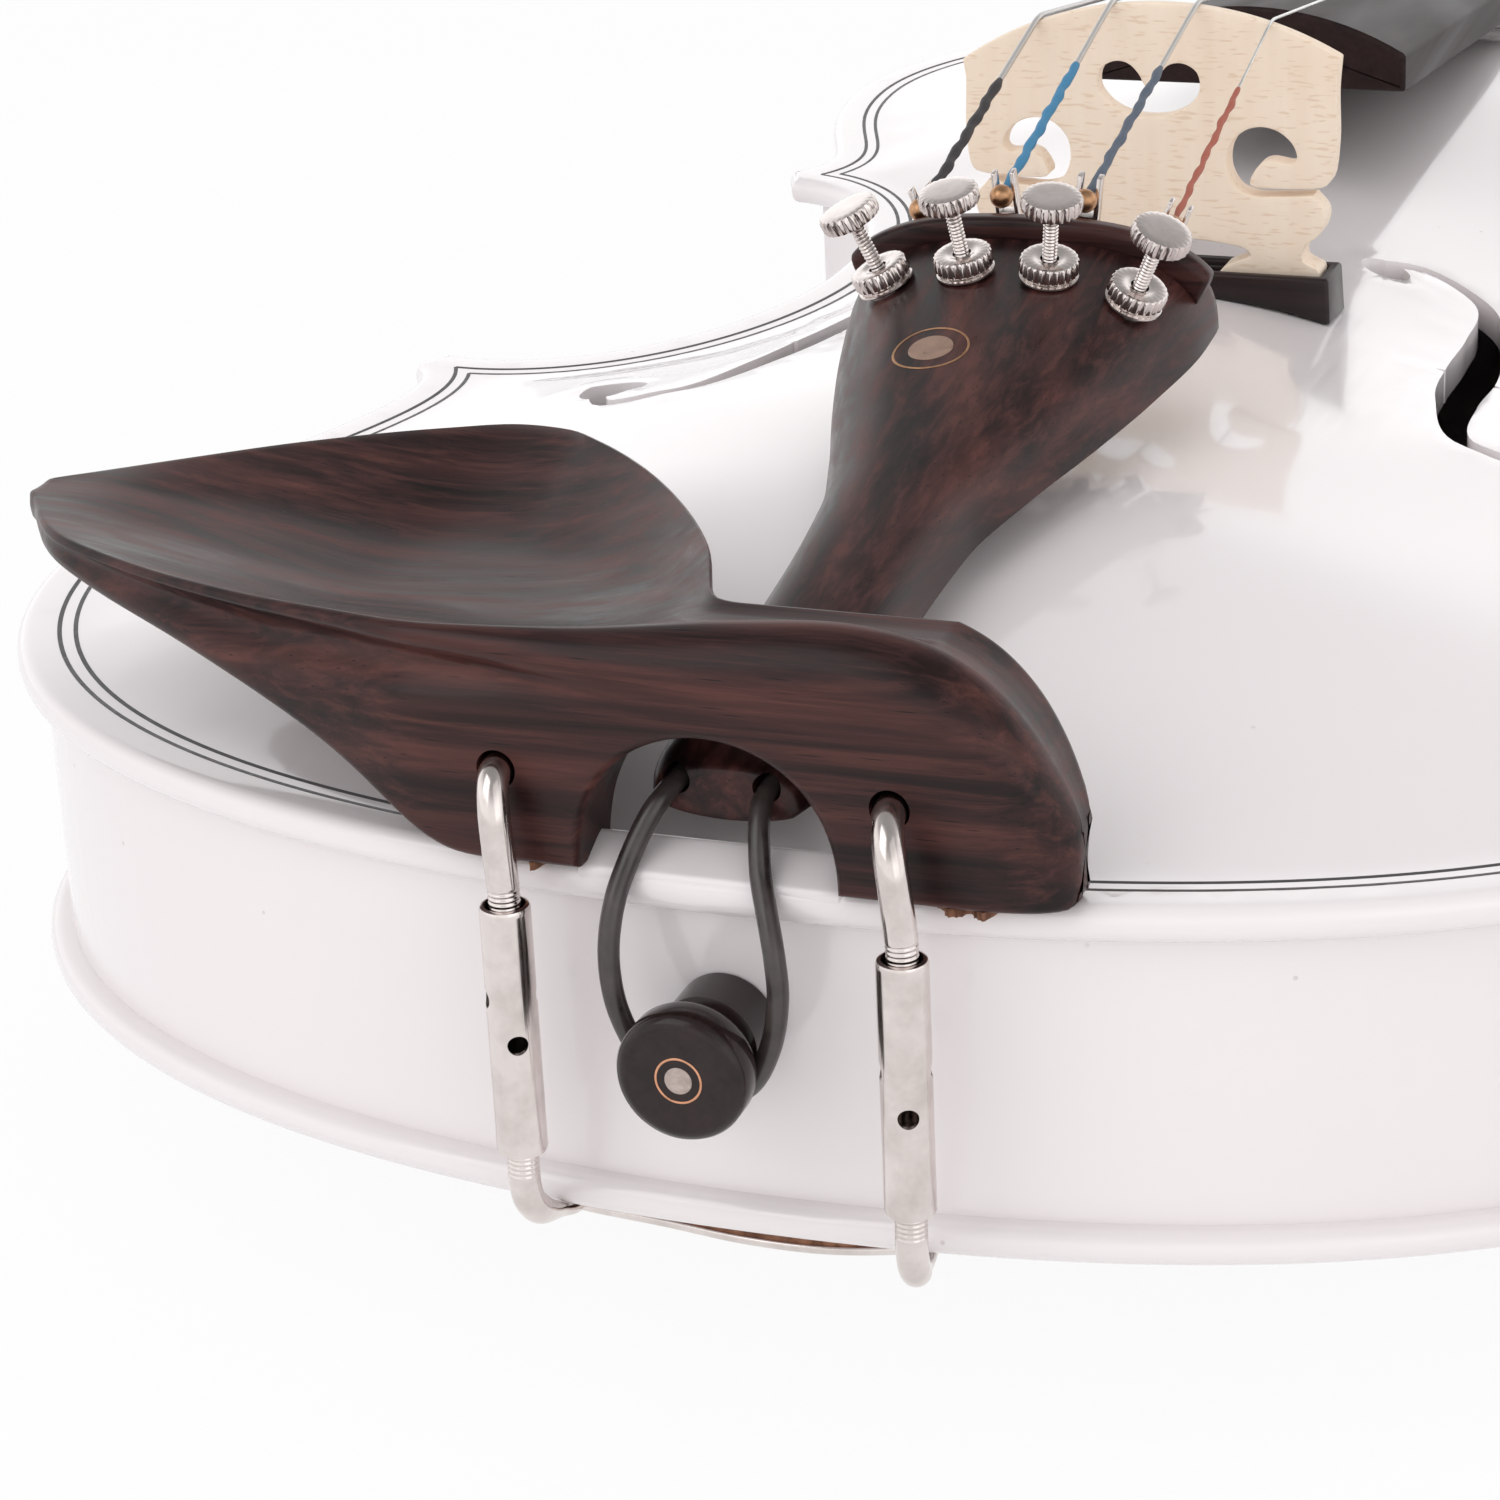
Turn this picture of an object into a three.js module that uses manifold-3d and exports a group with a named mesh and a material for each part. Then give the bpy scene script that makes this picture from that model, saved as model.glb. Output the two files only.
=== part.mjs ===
// A full-size violin with its fittings: body, neck, strings, tailpiece with four
// fine tuners, tail gut, end button, bridge on a slotted bar, and a clamped chinrest.
// Millimetres. While it is built, x runs to the treble side, y from the tail to the
// scroll, and z up from the upper face of the belly's edge at the tail.

import * as THREE from 'three';
import { mergeVertices } from 'three/addons/utils/BufferGeometryUtils.js';
import Module from 'manifold-3d';

const wasm = await Module();
wasm.setup();

// Driving dimensions

const bodyLength = 356;
const lowerBout = { half: 104.9, y: 74.1, rise: 25 };
const lowerCorner = { half: 94.6, y: 142.4, tipX: 2.5, tipY: 5, sweepX: 11.5, sweepY: 14, hook: 19 };
const waist = { half: 54.9, y: 195.4, rise: 25, fall: 24 };
const upperCorner = { half: 76.5, y: 237.1, tipX: 2, tipY: 5, sweepX: 10, sweepY: 1, hookX: 10, hookY: 12 };
const upperBout = { half: 85, y: 292.6, rise: 35, fall: 29 };
const tailShares = { flat: 0.635, rise: 0.4 };
const headFlatShare = 0.57;
const stringLine = 328.5;
const bridgeY = 157.5;
const fitGap = 0.3;
const restGap = 0.15;
const neckGap = 1;
const overrun = 1;
const weldDistance = 1e-4;

const belly = {
  edge: 3.8, thickness: 3, arch: 12.6, cornerRound: 0.9, edgeFlat: 2.2, margin: 7, glueMargin: 9,
};
const back = {
  edge: 3.5, thickness: 3.2, arch: 14, cornerRound: 0.9, edgeFlat: 2.2, margin: 7, glueMargin: 9,
};
const archFall = { centreY: 178, reach: 200 };
const archFallShare = 0.14;
const archFillShares = {
  tail: 0.95, lower: 0.93, lowerCorner: 1.25, upperCorner: 1.15, upper: 0.94, head: 0.72,
};
const rib = { height: 30, thickness: 1.2, overhang: 2.6, cornerSetback: 3.6 };
const lining = { height: 7, thickness: 2 };
const cornerBlock = { boutReach: 27, waistReach: 22 };
const endBlock = { half: 24, depth: 16 };
const backButton = { radius: 10.6 };
const bassBar = { x: -17, width: 5.5, start: 52, end: 304, endHeight: 3, height: 11 };
const soundPost = { x: 18, y: 151, radius: 3.1 };
const soundHole = {
  upperX: 24.1, upperY: 182, upperEye: 3.1, lowerX: 58.2, lowerY: 121.6, lowerEye: 4.2,
  stemHalf: 3, endHalf: 1, nick: 1.5,
};

const neck = {
  slopeDegrees: 7, overstand: 6, rootDepth: 5, rootHalf: 16.5, nutHalf: 12, nutDepth: 13.6,
  heelLength: 12, handleHalf: 14.6, handleDepth: 15,
};
const fingerboard = { endY: 206.5, endHalf: 21.2, edge: 5, radius: 42 };
const nut = { length: 5.5, rise: 1, stringSpan: 16.5 };
const pegbox = {
  slopeDegrees: 12, length: 72, depth: 20, endDepth: 24, half: 12.2, endHalf: 7.5, wall: 4.6, floor: 6,
  start: 6, startDrop: 1, hollowStart: 7, mouthRise: 4, outerDepth: 32,
};
const scroll = { eyeX: 87, eyeDrop: 14, radius: 18, eyeRadius: 3.4, eyeHalf: 20.5 };
const peg = {
  headRadius: 4, tipRadius: 3.3, depth: 9.5, collarRadius: 5.6, collarLength: 4, neckRadius: 3.2,
  neckLength: 6.8, headHalf: 11, headLength: 17, headThick: 7.5, standOff: 7, tipOut: 1.5,
};
const pegPlaces = [
  { name: 'g', side: -1, along: 16, lane: -5 },
  { name: 'd', side: -1, along: 43, lane: -2 },
  { name: 'a', side: 1, along: 56.5, lane: 2 },
  { name: 'e', side: 1, along: 29.5, lane: 5 },
];

const bridge = {
  footZ: 13.9, half: 23.6, height: 33.1, trebleCorner: 27.3, bassCorner: 25.4, footThick: 4.4, topThick: 1.6,
  crestX: 2,
};
const bridgeBar = { half: 24, topInset: 0.8, depth: 9.5, topDepth: 8, top: 14.9, slotDepth: 1 };
const stringLanes = [
  { name: 'g', bridgeX: -14, radius: 0.6 },
  { name: 'd', bridgeX: -4.6, radius: 0.55 },
  { name: 'a', bridgeX: 6, radius: 0.5 },
  { name: 'e', bridgeX: 15, radius: 0.45 },
];
const stringBend = 2;

const tailpiece = {
  start: 5, end: 110.5, headHalf: 21, tailEdgeZ: 5.6, headEdgeZ: 21.6, tailCrestZ: 9.2, crestRise: 24,
  wall: 4, belly: 1.8, hollowStart: 52, hollowFull: 90,
};
const fret = { y: 105.6, width: 3, rise: 2.1, sink: 1.2 };
const gut = { radius: 1.05, holeRadius: 1.4, holeDepth: 9 };
const endButton = {
  faceY: -10.6, z: -15.35, headRadius: 5.9, headLength: 4.6, headRound: 1, grooveRadius: 3.5,
  grooveLength: 2.8,
  collarRadius: 5, shankRadius: 3.6, shankTip: 3, shankDepth: 19,
};
const saddle = { half: 11.4, front: -0.5, depth: 7, top: 3.5, offset: -0.6 };

const tuner = {
  y: 96, pitchDegrees: 13, stemRadius: 1.9, stemBottom: 7.2, plateTop: 6.2, plateHalf: 2.6, plateStart: -3,
  plateEnd: 11.6, collarRadius: 3, collarLength: 2.4, collarRound: 0.4, shaftRadius: 0.85, boreRadius: 1.2,
  headRadius: 3.4, headStart: 8.4, headLength: 2, headRound: 0.55, tipZ: 8.6, pivotY: 10, pivotZ: 8.7,
  pinRadius: 0.6, cheek: 0.8, cheekHalfLength: 1.5, cheekBottom: 10,
};
const tunerPlaces = [
  { x: -13.6, leanDegrees: -22 },
  { x: -4.4, leanDegrees: -7 },
  { x: 5, leanDegrees: 7 },
  { x: 14.4, leanDegrees: 24 },
];
const lever = {
  half: 1.4, armTop: 8.9, armBottom: 10, armStart: -1.6, kneeY: 7.4, shoulderY: 8.8, shoulderZ: 7.6,
  frontY: 12.5, riseY: 14.9, riseZ: 6.4, heelY: 14.3, backY: 16.6, topY: 17.3, topZ: 3.5, post: 1.3,
  forkHalf: 0.85, forkReach: 4, forkDepth: 4.4, stringZ: 1.6,
};

const chinrest = {
  tipX: 85, rearY: -1, tipSweep: 29, reach: 58.6, footZ: 1.5, rimZ: 23, ridgeZ: 25, dishDepth: 6.8,
  wallThick: 8, dishThick: 4.4, ridgeBack: 3.4, ridgeRound: 2, wallBulge: 0.2, rimRound: 1.2,
  rimDrop: 4.8, underLip: 0.4, solidStart: -4, archX: -0.1, archHalf: 12.7, archTop: 14.5,
  archDepth: 60, hookHole: 1.95, hookHoleDepth: 7,
};
const clampPosts = [
  { name: 'bass', holeX: -20.4, x: -18.8, y: -4.9 },
  { name: 'treble', holeX: 18.2, x: 20.8, y: -6.6 },
];
const clamp = {
  holeZ: 9.8, rodRadius: 1.55, bend: 2.6, barrelTop: -2.1, barrelLength: 25.9, barrelRadius: 2.45,
  boreRadius: 1.95, chamfer: 0.4, rodInBarrel: 6, keyRadius: 1, keyLow: 15, keyHigh: 11.2,
  keyTurnDegrees: -21, hookEndGap: 0.9,
  footDrop: 1.5, footThick: 1.3, footHalf: 24, footStart: 1.2, footEnd: 12,
};
const cork = { depth: 8, bassStart: -27, trebleEnd: 34, archInset: 1.2, footHalf: 14.4, footSetback: 2 };

const sides = { rod: 8, cord: 8, string: 6, button: 20, turned: 14, bore: 12, pin: 8 };
const steps = { hook: 12, leg: 12, gut: 40 };

// Finishes: colour, roughness and metalness of each kind of surface

const finishes = {
  lacquer: { color: 0xe9e5e6, roughness: 0.18, metalness: 0 },
  spruce: { color: 0xd9b98a, roughness: 0.7, metalness: 0 },
  maple: { color: 0xe8cfae, roughness: 0.6, metalness: 0 },
  rosewood: { color: 0x3a2420, roughness: 0.4, metalness: 0 },
  ebony: { color: 0x1d1a1a, roughness: 0.45, metalness: 0 },
  nickel: { color: 0xc9c7c4, roughness: 0.2, metalness: 1 },
  plastic: { color: 0x2a2422, roughness: 0.35, metalness: 0 },
  steel: { color: 0xb8b6b2, roughness: 0.3, metalness: 1 },
  cork: { color: 0xa86a44, roughness: 0.9, metalness: 0 },
};

// Places worked out from the driving dimensions

const radians = THREE.MathUtils.degToRad;
const ribTop = -belly.edge;
const ribBottom = ribTop - rib.height;
const backBottom = ribBottom - back.edge;
const nutY = bridgeY + stringLine;
const neckSlope = Math.tan(radians(neck.slopeDegrees));
const glueLine = (y) => neck.overstand - (y - bodyLength) * neckSlope;

// Mesh helpers

// Only positions, shared corners, no collapsed triangles and faces that point out
function weld(geometry) {
  const plain = new THREE.BufferGeometry();
  plain.setAttribute('position', geometry.getAttribute('position').clone());
  if (geometry.index) plain.setIndex(geometry.index.clone());
  const merged = mergeVertices(plain, weldDistance);
  const corners = merged.index.array;
  const at = (i) => new THREE.Vector3().fromBufferAttribute(merged.attributes.position, i);
  const kept = [];
  let volume = 0;
  for (let i = 0; i < corners.length; i += 3) {
    const [a, b, c] = [corners[i], corners[i + 1], corners[i + 2]];
    if (a === b || b === c || c === a) continue;
    kept.push(a, b, c);
    volume += at(a).dot(at(b).cross(at(c)));
  }
  if (volume < 0) kept.reverse();
  merged.setIndex(kept);
  return merged;
}

function toSolid(geometry) {
  const clean = weld(geometry);
  const mesh = new wasm.Mesh({
    numProp: 3,
    vertProperties: new Float32Array(clean.attributes.position.array),
    triVerts: new Uint32Array(clean.index.array),
  });
  return new wasm.Manifold(mesh);
}

function toGeometry(solid) {
  const mesh = solid.getMesh();
  const geometry = new THREE.BufferGeometry();
  geometry.setAttribute('position', new THREE.BufferAttribute(new Float32Array(mesh.vertProperties), 3));
  geometry.setIndex(new THREE.BufferAttribute(new Uint32Array(mesh.triVerts), 1));
  return geometry;
}

const join = (first, ...others) => (
  toGeometry(others.reduce((sum, g) => sum.add(toSolid(g)), toSolid(first))));
const cut = (first, ...others) => (
  toGeometry(others.reduce((rest, g) => rest.subtract(toSolid(g)), toSolid(first))));
const common = (first, second) => toGeometry(toSolid(first).intersect(toSolid(second)));
const moved = (geometry, x, y, z) => geometry.clone().translate(x, y, z);

// Triangles across a flat ring, wound the way the ring runs
function capTriangles(ring) {
  const normal = new THREE.Vector3();
  ring.forEach((p, i) => normal.add(p.clone().cross(ring[(i + 1) % ring.length])));
  normal.normalize();
  const u = new THREE.Vector3(0, 0, 1).cross(normal);
  if (u.length() < 0.5) u.set(1, 0, 0);
  u.normalize();
  const v = normal.clone().cross(u);
  const flat = ring.map((p) => new THREE.Vector2(p.dot(u), p.dot(v)));
  const triangles = THREE.ShapeUtils.triangulateShape(flat, []);
  const area = triangles.reduce((sum, t) => sum + THREE.ShapeUtils.area(t.map((i) => flat[i])), 0);
  return area * THREE.ShapeUtils.area(flat) < 0 ? triangles.map((t) => t.slice().reverse()) : triangles;
}

// A closed skin through rings of equally many points; a looped one has no ends
function loft(rings, looped = false) {
  const count = rings[0].length;
  const places = rings.flat().flatMap((p) => [p.x, p.y, p.z]);
  const index = [];
  const spans = looped ? rings.length : rings.length - 1;
  for (let i = 0; i < spans; i += 1) {
    const next = (i + 1) % rings.length;
    for (let j = 0; j < count; j += 1) {
      const k = (j + 1) % count;
      const [a, b, c, d] = [i * count + j, i * count + k, next * count + k, next * count + j];
      index.push(a, b, c, a, c, d);
    }
  }
  if (!looped) {
    const last = (rings.length - 1) * count;
    capTriangles(rings[0]).forEach(([a, b, c]) => index.push(c, b, a));
    capTriangles(rings[rings.length - 1]).forEach(([a, b, c]) => index.push(last + a, last + b, last + c));
  }
  const geometry = new THREE.BufferGeometry();
  geometry.setAttribute('position', new THREE.Float32BufferAttribute(places, 3));
  geometry.setIndex(index);
  return geometry;
}

// A ring drawn in to its own middle, which closes a loft with a fan
function middleOf(ring) {
  const centre = ring.reduce((sum, p) => sum.add(p), new THREE.Vector3()).divideScalar(ring.length);
  return ring.map(() => centre.clone());
}

function box(lowX, highX, lowY, highY, lowZ, highZ) {
  const size = [highX - lowX, highY - lowY, highZ - lowZ];
  return new THREE.BoxGeometry(...size).translate(lowX + size[0] / 2, lowY + size[1] / 2, lowZ + size[2] / 2);
}

// A rod along y or z or x, between two places on its axis
function rod(axis, radius, low, high, count = sides.bore) {
  const geometry = new THREE.CylinderGeometry(radius, radius, high - low, count);
  geometry.translate(0, (low + high) / 2, 0);
  if (axis === 'z') geometry.rotateX(Math.PI / 2);
  if (axis === 'x') geometry.rotateZ(-Math.PI / 2);
  return geometry;
}

// A turned piece about z from a profile of [radius, height] pairs
function turned(profile, count) {
  const points = profile.map(([r, h]) => new THREE.Vector2(r, h));
  return new THREE.LatheGeometry(points, count).rotateX(Math.PI / 2);
}

function shapeOf(pairs) {
  return new THREE.Shape(pairs.map(([x, y]) => new THREE.Vector2(x, y)));
}

function extruded(shape, depth) {
  return new THREE.ExtrudeGeometry(shape, { depth, steps: 1, bevelEnabled: false });
}

// A slab drawn in the y-z plane and centred across x
function sideSlab(pairs, half) {
  return extruded(shapeOf(pairs), half * 2).translate(0, 0, -half).rotateY(Math.PI / 2).rotateX(Math.PI / 2);
}

// A round cord along a smooth curve through chosen points
function cord(points, radius, steps, count) {
  const curve = new THREE.CatmullRomCurve3(points.map((p) => new THREE.Vector3(...p)), false, 'centripetal');
  const ring = Array.from({ length: count }, (_, i) => {
    const turn = (i / count) * Math.PI * 2;
    return [radius * Math.cos(turn), radius * Math.sin(turn)];
  });
  return new THREE.ExtrudeGeometry(shapeOf(ring), { steps, bevelEnabled: false, extrudePath: curve });
}

// A value read along a table of [place, value] pairs, straight between them
function along(table, place) {
  if (place <= table[0][0]) return table[0][1];
  for (let i = 1; i < table.length; i += 1) {
    const [x0, v0] = table[i - 1];
    const [x1, v1] = table[i];
    if (place <= x1) return v0 + ((v1 - v0) * (place - x0)) / (x1 - x0);
  }
  return table[table.length - 1][1];
}

const violin = new THREE.Group();

function piece(name, geometry, finish, parent = violin) {
  const mesh = new THREE.Mesh(weld(geometry), new THREE.MeshStandardMaterial(finishes[finish]));
  mesh.name = name;
  parent.add(mesh);
  return mesh;
}

// Body outline: the treble half, tail to head, as joined curves

const point = (x, y) => new THREE.Vector2(x, y);
const bend = (...points) => new THREE.CubicBezierCurve(...points);

const tailEnd = point(0, 0);
const lowerSide = point(lowerBout.half, lowerBout.y);
const lowerHorn = point(lowerCorner.half, lowerCorner.y);
const lowerHornTop = point(lowerCorner.half - lowerCorner.tipX, lowerCorner.y + lowerCorner.tipY);
const waistSide = point(waist.half, waist.y);
const upperHorn = point(upperCorner.half, upperCorner.y);
const upperHornTop = point(upperCorner.half + upperCorner.tipX, upperCorner.y + upperCorner.tipY);
const upperSide = point(upperBout.half, upperBout.y);
const headEnd = point(0, bodyLength);

const lowerCurves = [
  bend(tailEnd, point(lowerBout.half * tailShares.flat, 0),
    point(lowerBout.half, lowerBout.y * tailShares.rise), lowerSide),
  bend(lowerSide, point(lowerBout.half, lowerBout.y + lowerBout.rise),
    point(lowerCorner.half - lowerCorner.sweepX, lowerCorner.y - lowerCorner.sweepY), lowerHorn),
];
const waistCurves = [
  bend(lowerHornTop, point(lowerHornTop.x - lowerCorner.hook, lowerHornTop.y - lowerCorner.tipY),
    point(waist.half, lowerCorner.y + waist.fall), waistSide),
  bend(waistSide, point(waist.half, waist.y + waist.rise),
    point(upperCorner.half - upperCorner.sweepX, upperCorner.y - upperCorner.sweepY), upperHorn),
];
const upperCurves = [
  bend(upperHornTop, point(upperHornTop.x - upperCorner.hookX, upperHornTop.y + upperCorner.hookY),
    point(upperBout.half, upperBout.y - upperBout.fall), upperSide),
  bend(upperSide, point(upperBout.half, upperBout.y + upperBout.rise),
    point(upperBout.half * headFlatShare, bodyLength), headEnd),
];

// Each run: its curve, its steps, and where the spine that it looks to starts and ends
const spineShares = { tail: 0.95, side: 1.15, lowerHorn: 0.8, upperHorn: 1.11, upperSide: 0.975 };
const spineStops = {
  tail: lowerBout.y * spineShares.tail,
  side: lowerBout.y * spineShares.side,
  lowerHorn: lowerCorner.y * spineShares.lowerHorn,
  waist: waist.y,
  upperHorn: upperCorner.y * spineShares.upperHorn,
  upperSide: upperBout.y * spineShares.upperSide,
  head: upperBout.y,
};
const lowerHornEnd = spineStops.lowerHorn + lowerCorner.tipY;
const upperHornEnd = spineStops.upperHorn + upperCorner.tipY;
const outlineRuns = [
  [lowerCurves[0], 6, spineStops.tail, spineStops.side],
  [lowerCurves[1], 5, spineStops.side, spineStops.lowerHorn],
  [new THREE.LineCurve(lowerHorn, lowerHornTop), 1, spineStops.lowerHorn, lowerHornEnd],
  [waistCurves[0], 5, lowerHornEnd, spineStops.waist],
  [waistCurves[1], 4, spineStops.waist, spineStops.upperHorn],
  [new THREE.LineCurve(upperHorn, upperHornTop), 1, spineStops.upperHorn, upperHornEnd],
  [upperCurves[0], 4, upperHornEnd, spineStops.upperSide],
  [upperCurves[1], 6, spineStops.upperSide, spineStops.head],
];

// The whole outline, treble side up and bass side down, each point with its spine place
function outlineStations() {
  const half = [];
  outlineRuns.forEach(([curve, steps, spineStart, spineEnd]) => {
    for (let i = 0; i < steps; i += 1) {
      const share = i / steps;
      half.push({ edge: curve.getPoint(share), spine: spineStart + (spineEnd - spineStart) * share });
    }
  });
  half.push({ edge: headEnd, spine: spineStops.head });
  const bass = half.slice(1, -1).reverse();
  return half.concat(bass.map(({ edge, spine }) => ({ edge: point(-edge.x, edge.y), spine })));
}
const stations = outlineStations();

// How far a place lies inside the outline
function edgeDistance(x, y) {
  let nearest = Infinity;
  stations.forEach(({ edge }, i) => {
    const next = stations[(i + 1) % stations.length].edge;
    const run = next.clone().sub(edge);
    const share = THREE.MathUtils.clamp(point(x, y).sub(edge).dot(run) / run.lengthSq(), 0, 1);
    nearest = Math.min(nearest, point(x, y).distanceTo(edge.clone().addScaledVector(run, share)));
  });
  return nearest;
}

// Half width that the cross arch fills at each height of the body
const archHalf = [
  [0, lowerBout.y * archFillShares.tail],
  [lowerBout.y, lowerBout.half * archFillShares.lower],
  [lowerCorner.y, waist.half * archFillShares.lowerCorner],
  [waist.y, waist.half],
  [upperCorner.y, waist.half * archFillShares.upperCorner],
  [upperBout.y, upperBout.half * archFillShares.upper],
  [bodyLength, upperBout.half * archFillShares.head],
];
const archCurvePower = 1.35;

// Arch height over the edge: a rounded rise from the margin, falling off to both ends
function archRise(plate, x, y) {
  const inward = edgeDistance(x, y) - plate.margin;
  if (inward <= 0) return 0;
  const share = Math.min(1, inward / (along(archHalf, y) - plate.margin));
  const lengthwise = 1 - archFallShare * ((y - archFall.centreY) / archFall.reach) ** 2;
  return plate.arch * lengthwise * Math.sin((share * Math.PI) / 2) ** archCurvePower;
}
const bellyTop = (x, y) => archRise(belly, x, y);
const bellyInside = (x, y) => {
  const rise = archRise(belly, x, y) - belly.thickness;
  return Math.max(ribTop - fitGap, rise);
};
const backInside = (x, y) => Math.min(ribBottom + fitGap, backBottom - archRise(back, x, y) + back.thickness);

// A ring of the outline drawn in by a distance or, past it, by a share of the way left
function insetRing(inset, share, height) {
  return stations.map(({ edge, spine }) => {
    const centre = point(0, spine);
    const start = edge.clone().lerp(centre, inset / edge.distanceTo(centre));
    const place = start.lerp(centre, share);
    return new THREE.Vector3(place.x, place.y, height(place.x, place.y));
  });
}

// A solid between a flat base and a domed face, open at neither side
function dome(edgeRings, shares, surface, base) {
  const rings = [insetRing(edgeRings[0].inset, 1, () => base)];
  edgeRings.forEach(({ inset, z }) => rings.push(insetRing(inset, 0, () => z)));
  const last = edgeRings[edgeRings.length - 1].inset;
  shares.forEach((share) => rings.push(insetRing(last, share, surface)));
  return loft(rings);
}

const domeShares = [0.12, 0.27, 0.48, 0.74, 1];

function plateBlank(plate, face, outerFace, surface) {
  const toward = Math.sign(outerFace - face);
  const edgeRings = [
    { inset: plate.cornerRound, z: face },
    { inset: 0, z: face + toward * plate.cornerRound },
    { inset: 0, z: outerFace - toward * plate.cornerRound },
    { inset: plate.edgeFlat, z: outerFace },
  ];
  return dome(edgeRings, domeShares, surface, face);
}

function cavityDome(plate, face, surface, toward) {
  const edgeRings = [
    { inset: plate.glueMargin, z: face - toward * overrun },
    { inset: plate.glueMargin, z: face - toward * fitGap },
  ];
  return dome(edgeRings, domeShares, surface, face - toward * overrun);
}

const bellyBlank = plateBlank(belly, ribTop, 0, bellyTop);
const backBlank = plateBlank(back, ribBottom, backBottom, (x, y) => backBottom - archRise(back, x, y));
const bellyHollow = cavityDome(belly, ribTop, bellyInside, 1);
const backHollow = cavityDome(back, ribBottom, backInside, -1);

// Ribs, linings and blocks

function joinedPath(curves) {
  const path = new THREE.CurvePath();
  curves.forEach((curve) => path.add(curve));
  return path;
}

// Points at a distance inside a path, from one trimmed end to the other
function insidePoints(curves, inset, trimStart, trimEnd, steps) {
  const path = joinedPath(curves);
  const length = path.getLength();
  const from = trimStart / length;
  const to = 1 - trimEnd / length;
  return Array.from({ length: steps + 1 }, (_, i) => {
    const share = from + ((to - from) * i) / steps;
    const direction = path.getTangent(share);
    return path.getPoint(share).add(point(-direction.y, direction.x).multiplyScalar(inset));
  });
}

const sideways = (points, side) => points.map((p) => point(p.x * side, p.y));

// A standing wall between an outer and an inner line
function wall(outer, inner, low, high, looped = false) {
  const rings = outer.map((p, i) => [
    new THREE.Vector3(p.x, p.y, low),
    new THREE.Vector3(p.x, p.y, high),
    new THREE.Vector3(inner[i].x, inner[i].y, high),
    new THREE.Vector3(inner[i].x, inner[i].y, low),
  ]);
  return loft(rings, looped);
}

const ribRuns = {
  lower: {
    curves: lowerCurves, start: restGap, end: rib.cornerSetback, steps: 14, skipStart: 1, skipEnd: 1,
  },
  waist: {
    curves: waistCurves, start: rib.cornerSetback, end: rib.cornerSetback, steps: 12,
    skipStart: 1, skipEnd: 1,
  },
  upper: {
    curves: upperCurves, start: rib.cornerSetback, end: neck.rootHalf + neckGap, steps: 12,
    skipStart: 1, skipEnd: 0,
  },
};

function ribWall(run, side) {
  const { curves, start, end, steps } = ribRuns[run];
  const outer = sideways(insidePoints(curves, rib.overhang, start, end, steps), side);
  const inner = sideways(insidePoints(curves, rib.overhang + rib.thickness, start, end, steps), side);
  return wall(outer, inner, ribBottom, ribTop);
}

// The linings follow the ribs from station to station and leave the corners out
function liningLine(inset) {
  const half = Object.values(ribRuns).flatMap(({ curves, start, end, steps, skipStart, skipEnd }) => (
    insidePoints(curves, inset, start, end, steps).slice(skipStart, steps + 1 - skipEnd)));
  const tail = point(0, half[0].y);
  const head = point(0, bodyLength - inset);
  return [tail, ...half, head, ...sideways([...half].reverse(), -1)];
}

const insideRibs = rib.overhang + rib.thickness + fitGap;
const liningRing = (low, high, grow) => wall(
  liningLine(insideRibs - grow), liningLine(insideRibs + lining.thickness + grow), low, high, true);
const topLiningCut = liningRing(ribTop - lining.height - fitGap, ribTop + overrun, fitGap);
const backLiningCut = liningRing(ribBottom - overrun, ribBottom + lining.height + fitGap, fitGap);

function blockSolid(points) {
  const slab = extruded(new THREE.Shape(points), rib.height).translate(0, 0, ribBottom);
  return cut(slab, topLiningCut, backLiningCut);
}

function cornerBlockSolid(before, after, beforeReach, afterReach, side) {
  const beforeLength = joinedPath(before).getLength();
  const afterLength = joinedPath(after).getLength();
  const setback = rib.cornerSetback;
  const points = [
    ...insidePoints(before, insideRibs, beforeLength - beforeReach, setback, 3),
    ...insidePoints(after, insideRibs, setback, afterLength - afterReach, 3),
  ];
  return blockSolid(sideways(points, side));
}

function endBlockSolid(curves, atStart) {
  const length = joinedPath(curves).getLength();
  const rest = length - endBlock.half;
  const half = insidePoints(curves, insideRibs, atStart ? 0 : rest, atStart ? rest : 0, 3);
  const inner = atStart ? insideRibs + endBlock.depth : bodyLength - insideRibs - endBlock.depth;
  const curve = atStart ? half : half.reverse();
  const corners = [point(curve[3].x, inner), point(-curve[3].x, inner)];
  return blockSolid([...curve, ...corners, ...sideways(curve.slice(1).reverse(), -1)]);
}

// Sound holes: a swept f between its two eyes

const soundHoleShares = [
  [0.13, 0.09], [0.36, 0.02], [0.46, -0.25], [0.5, -0.5], [0.54, -0.78], [0.68, -1.08], [0.94, -1.12],
];
const eyeJoinShare = 0.4;

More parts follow.
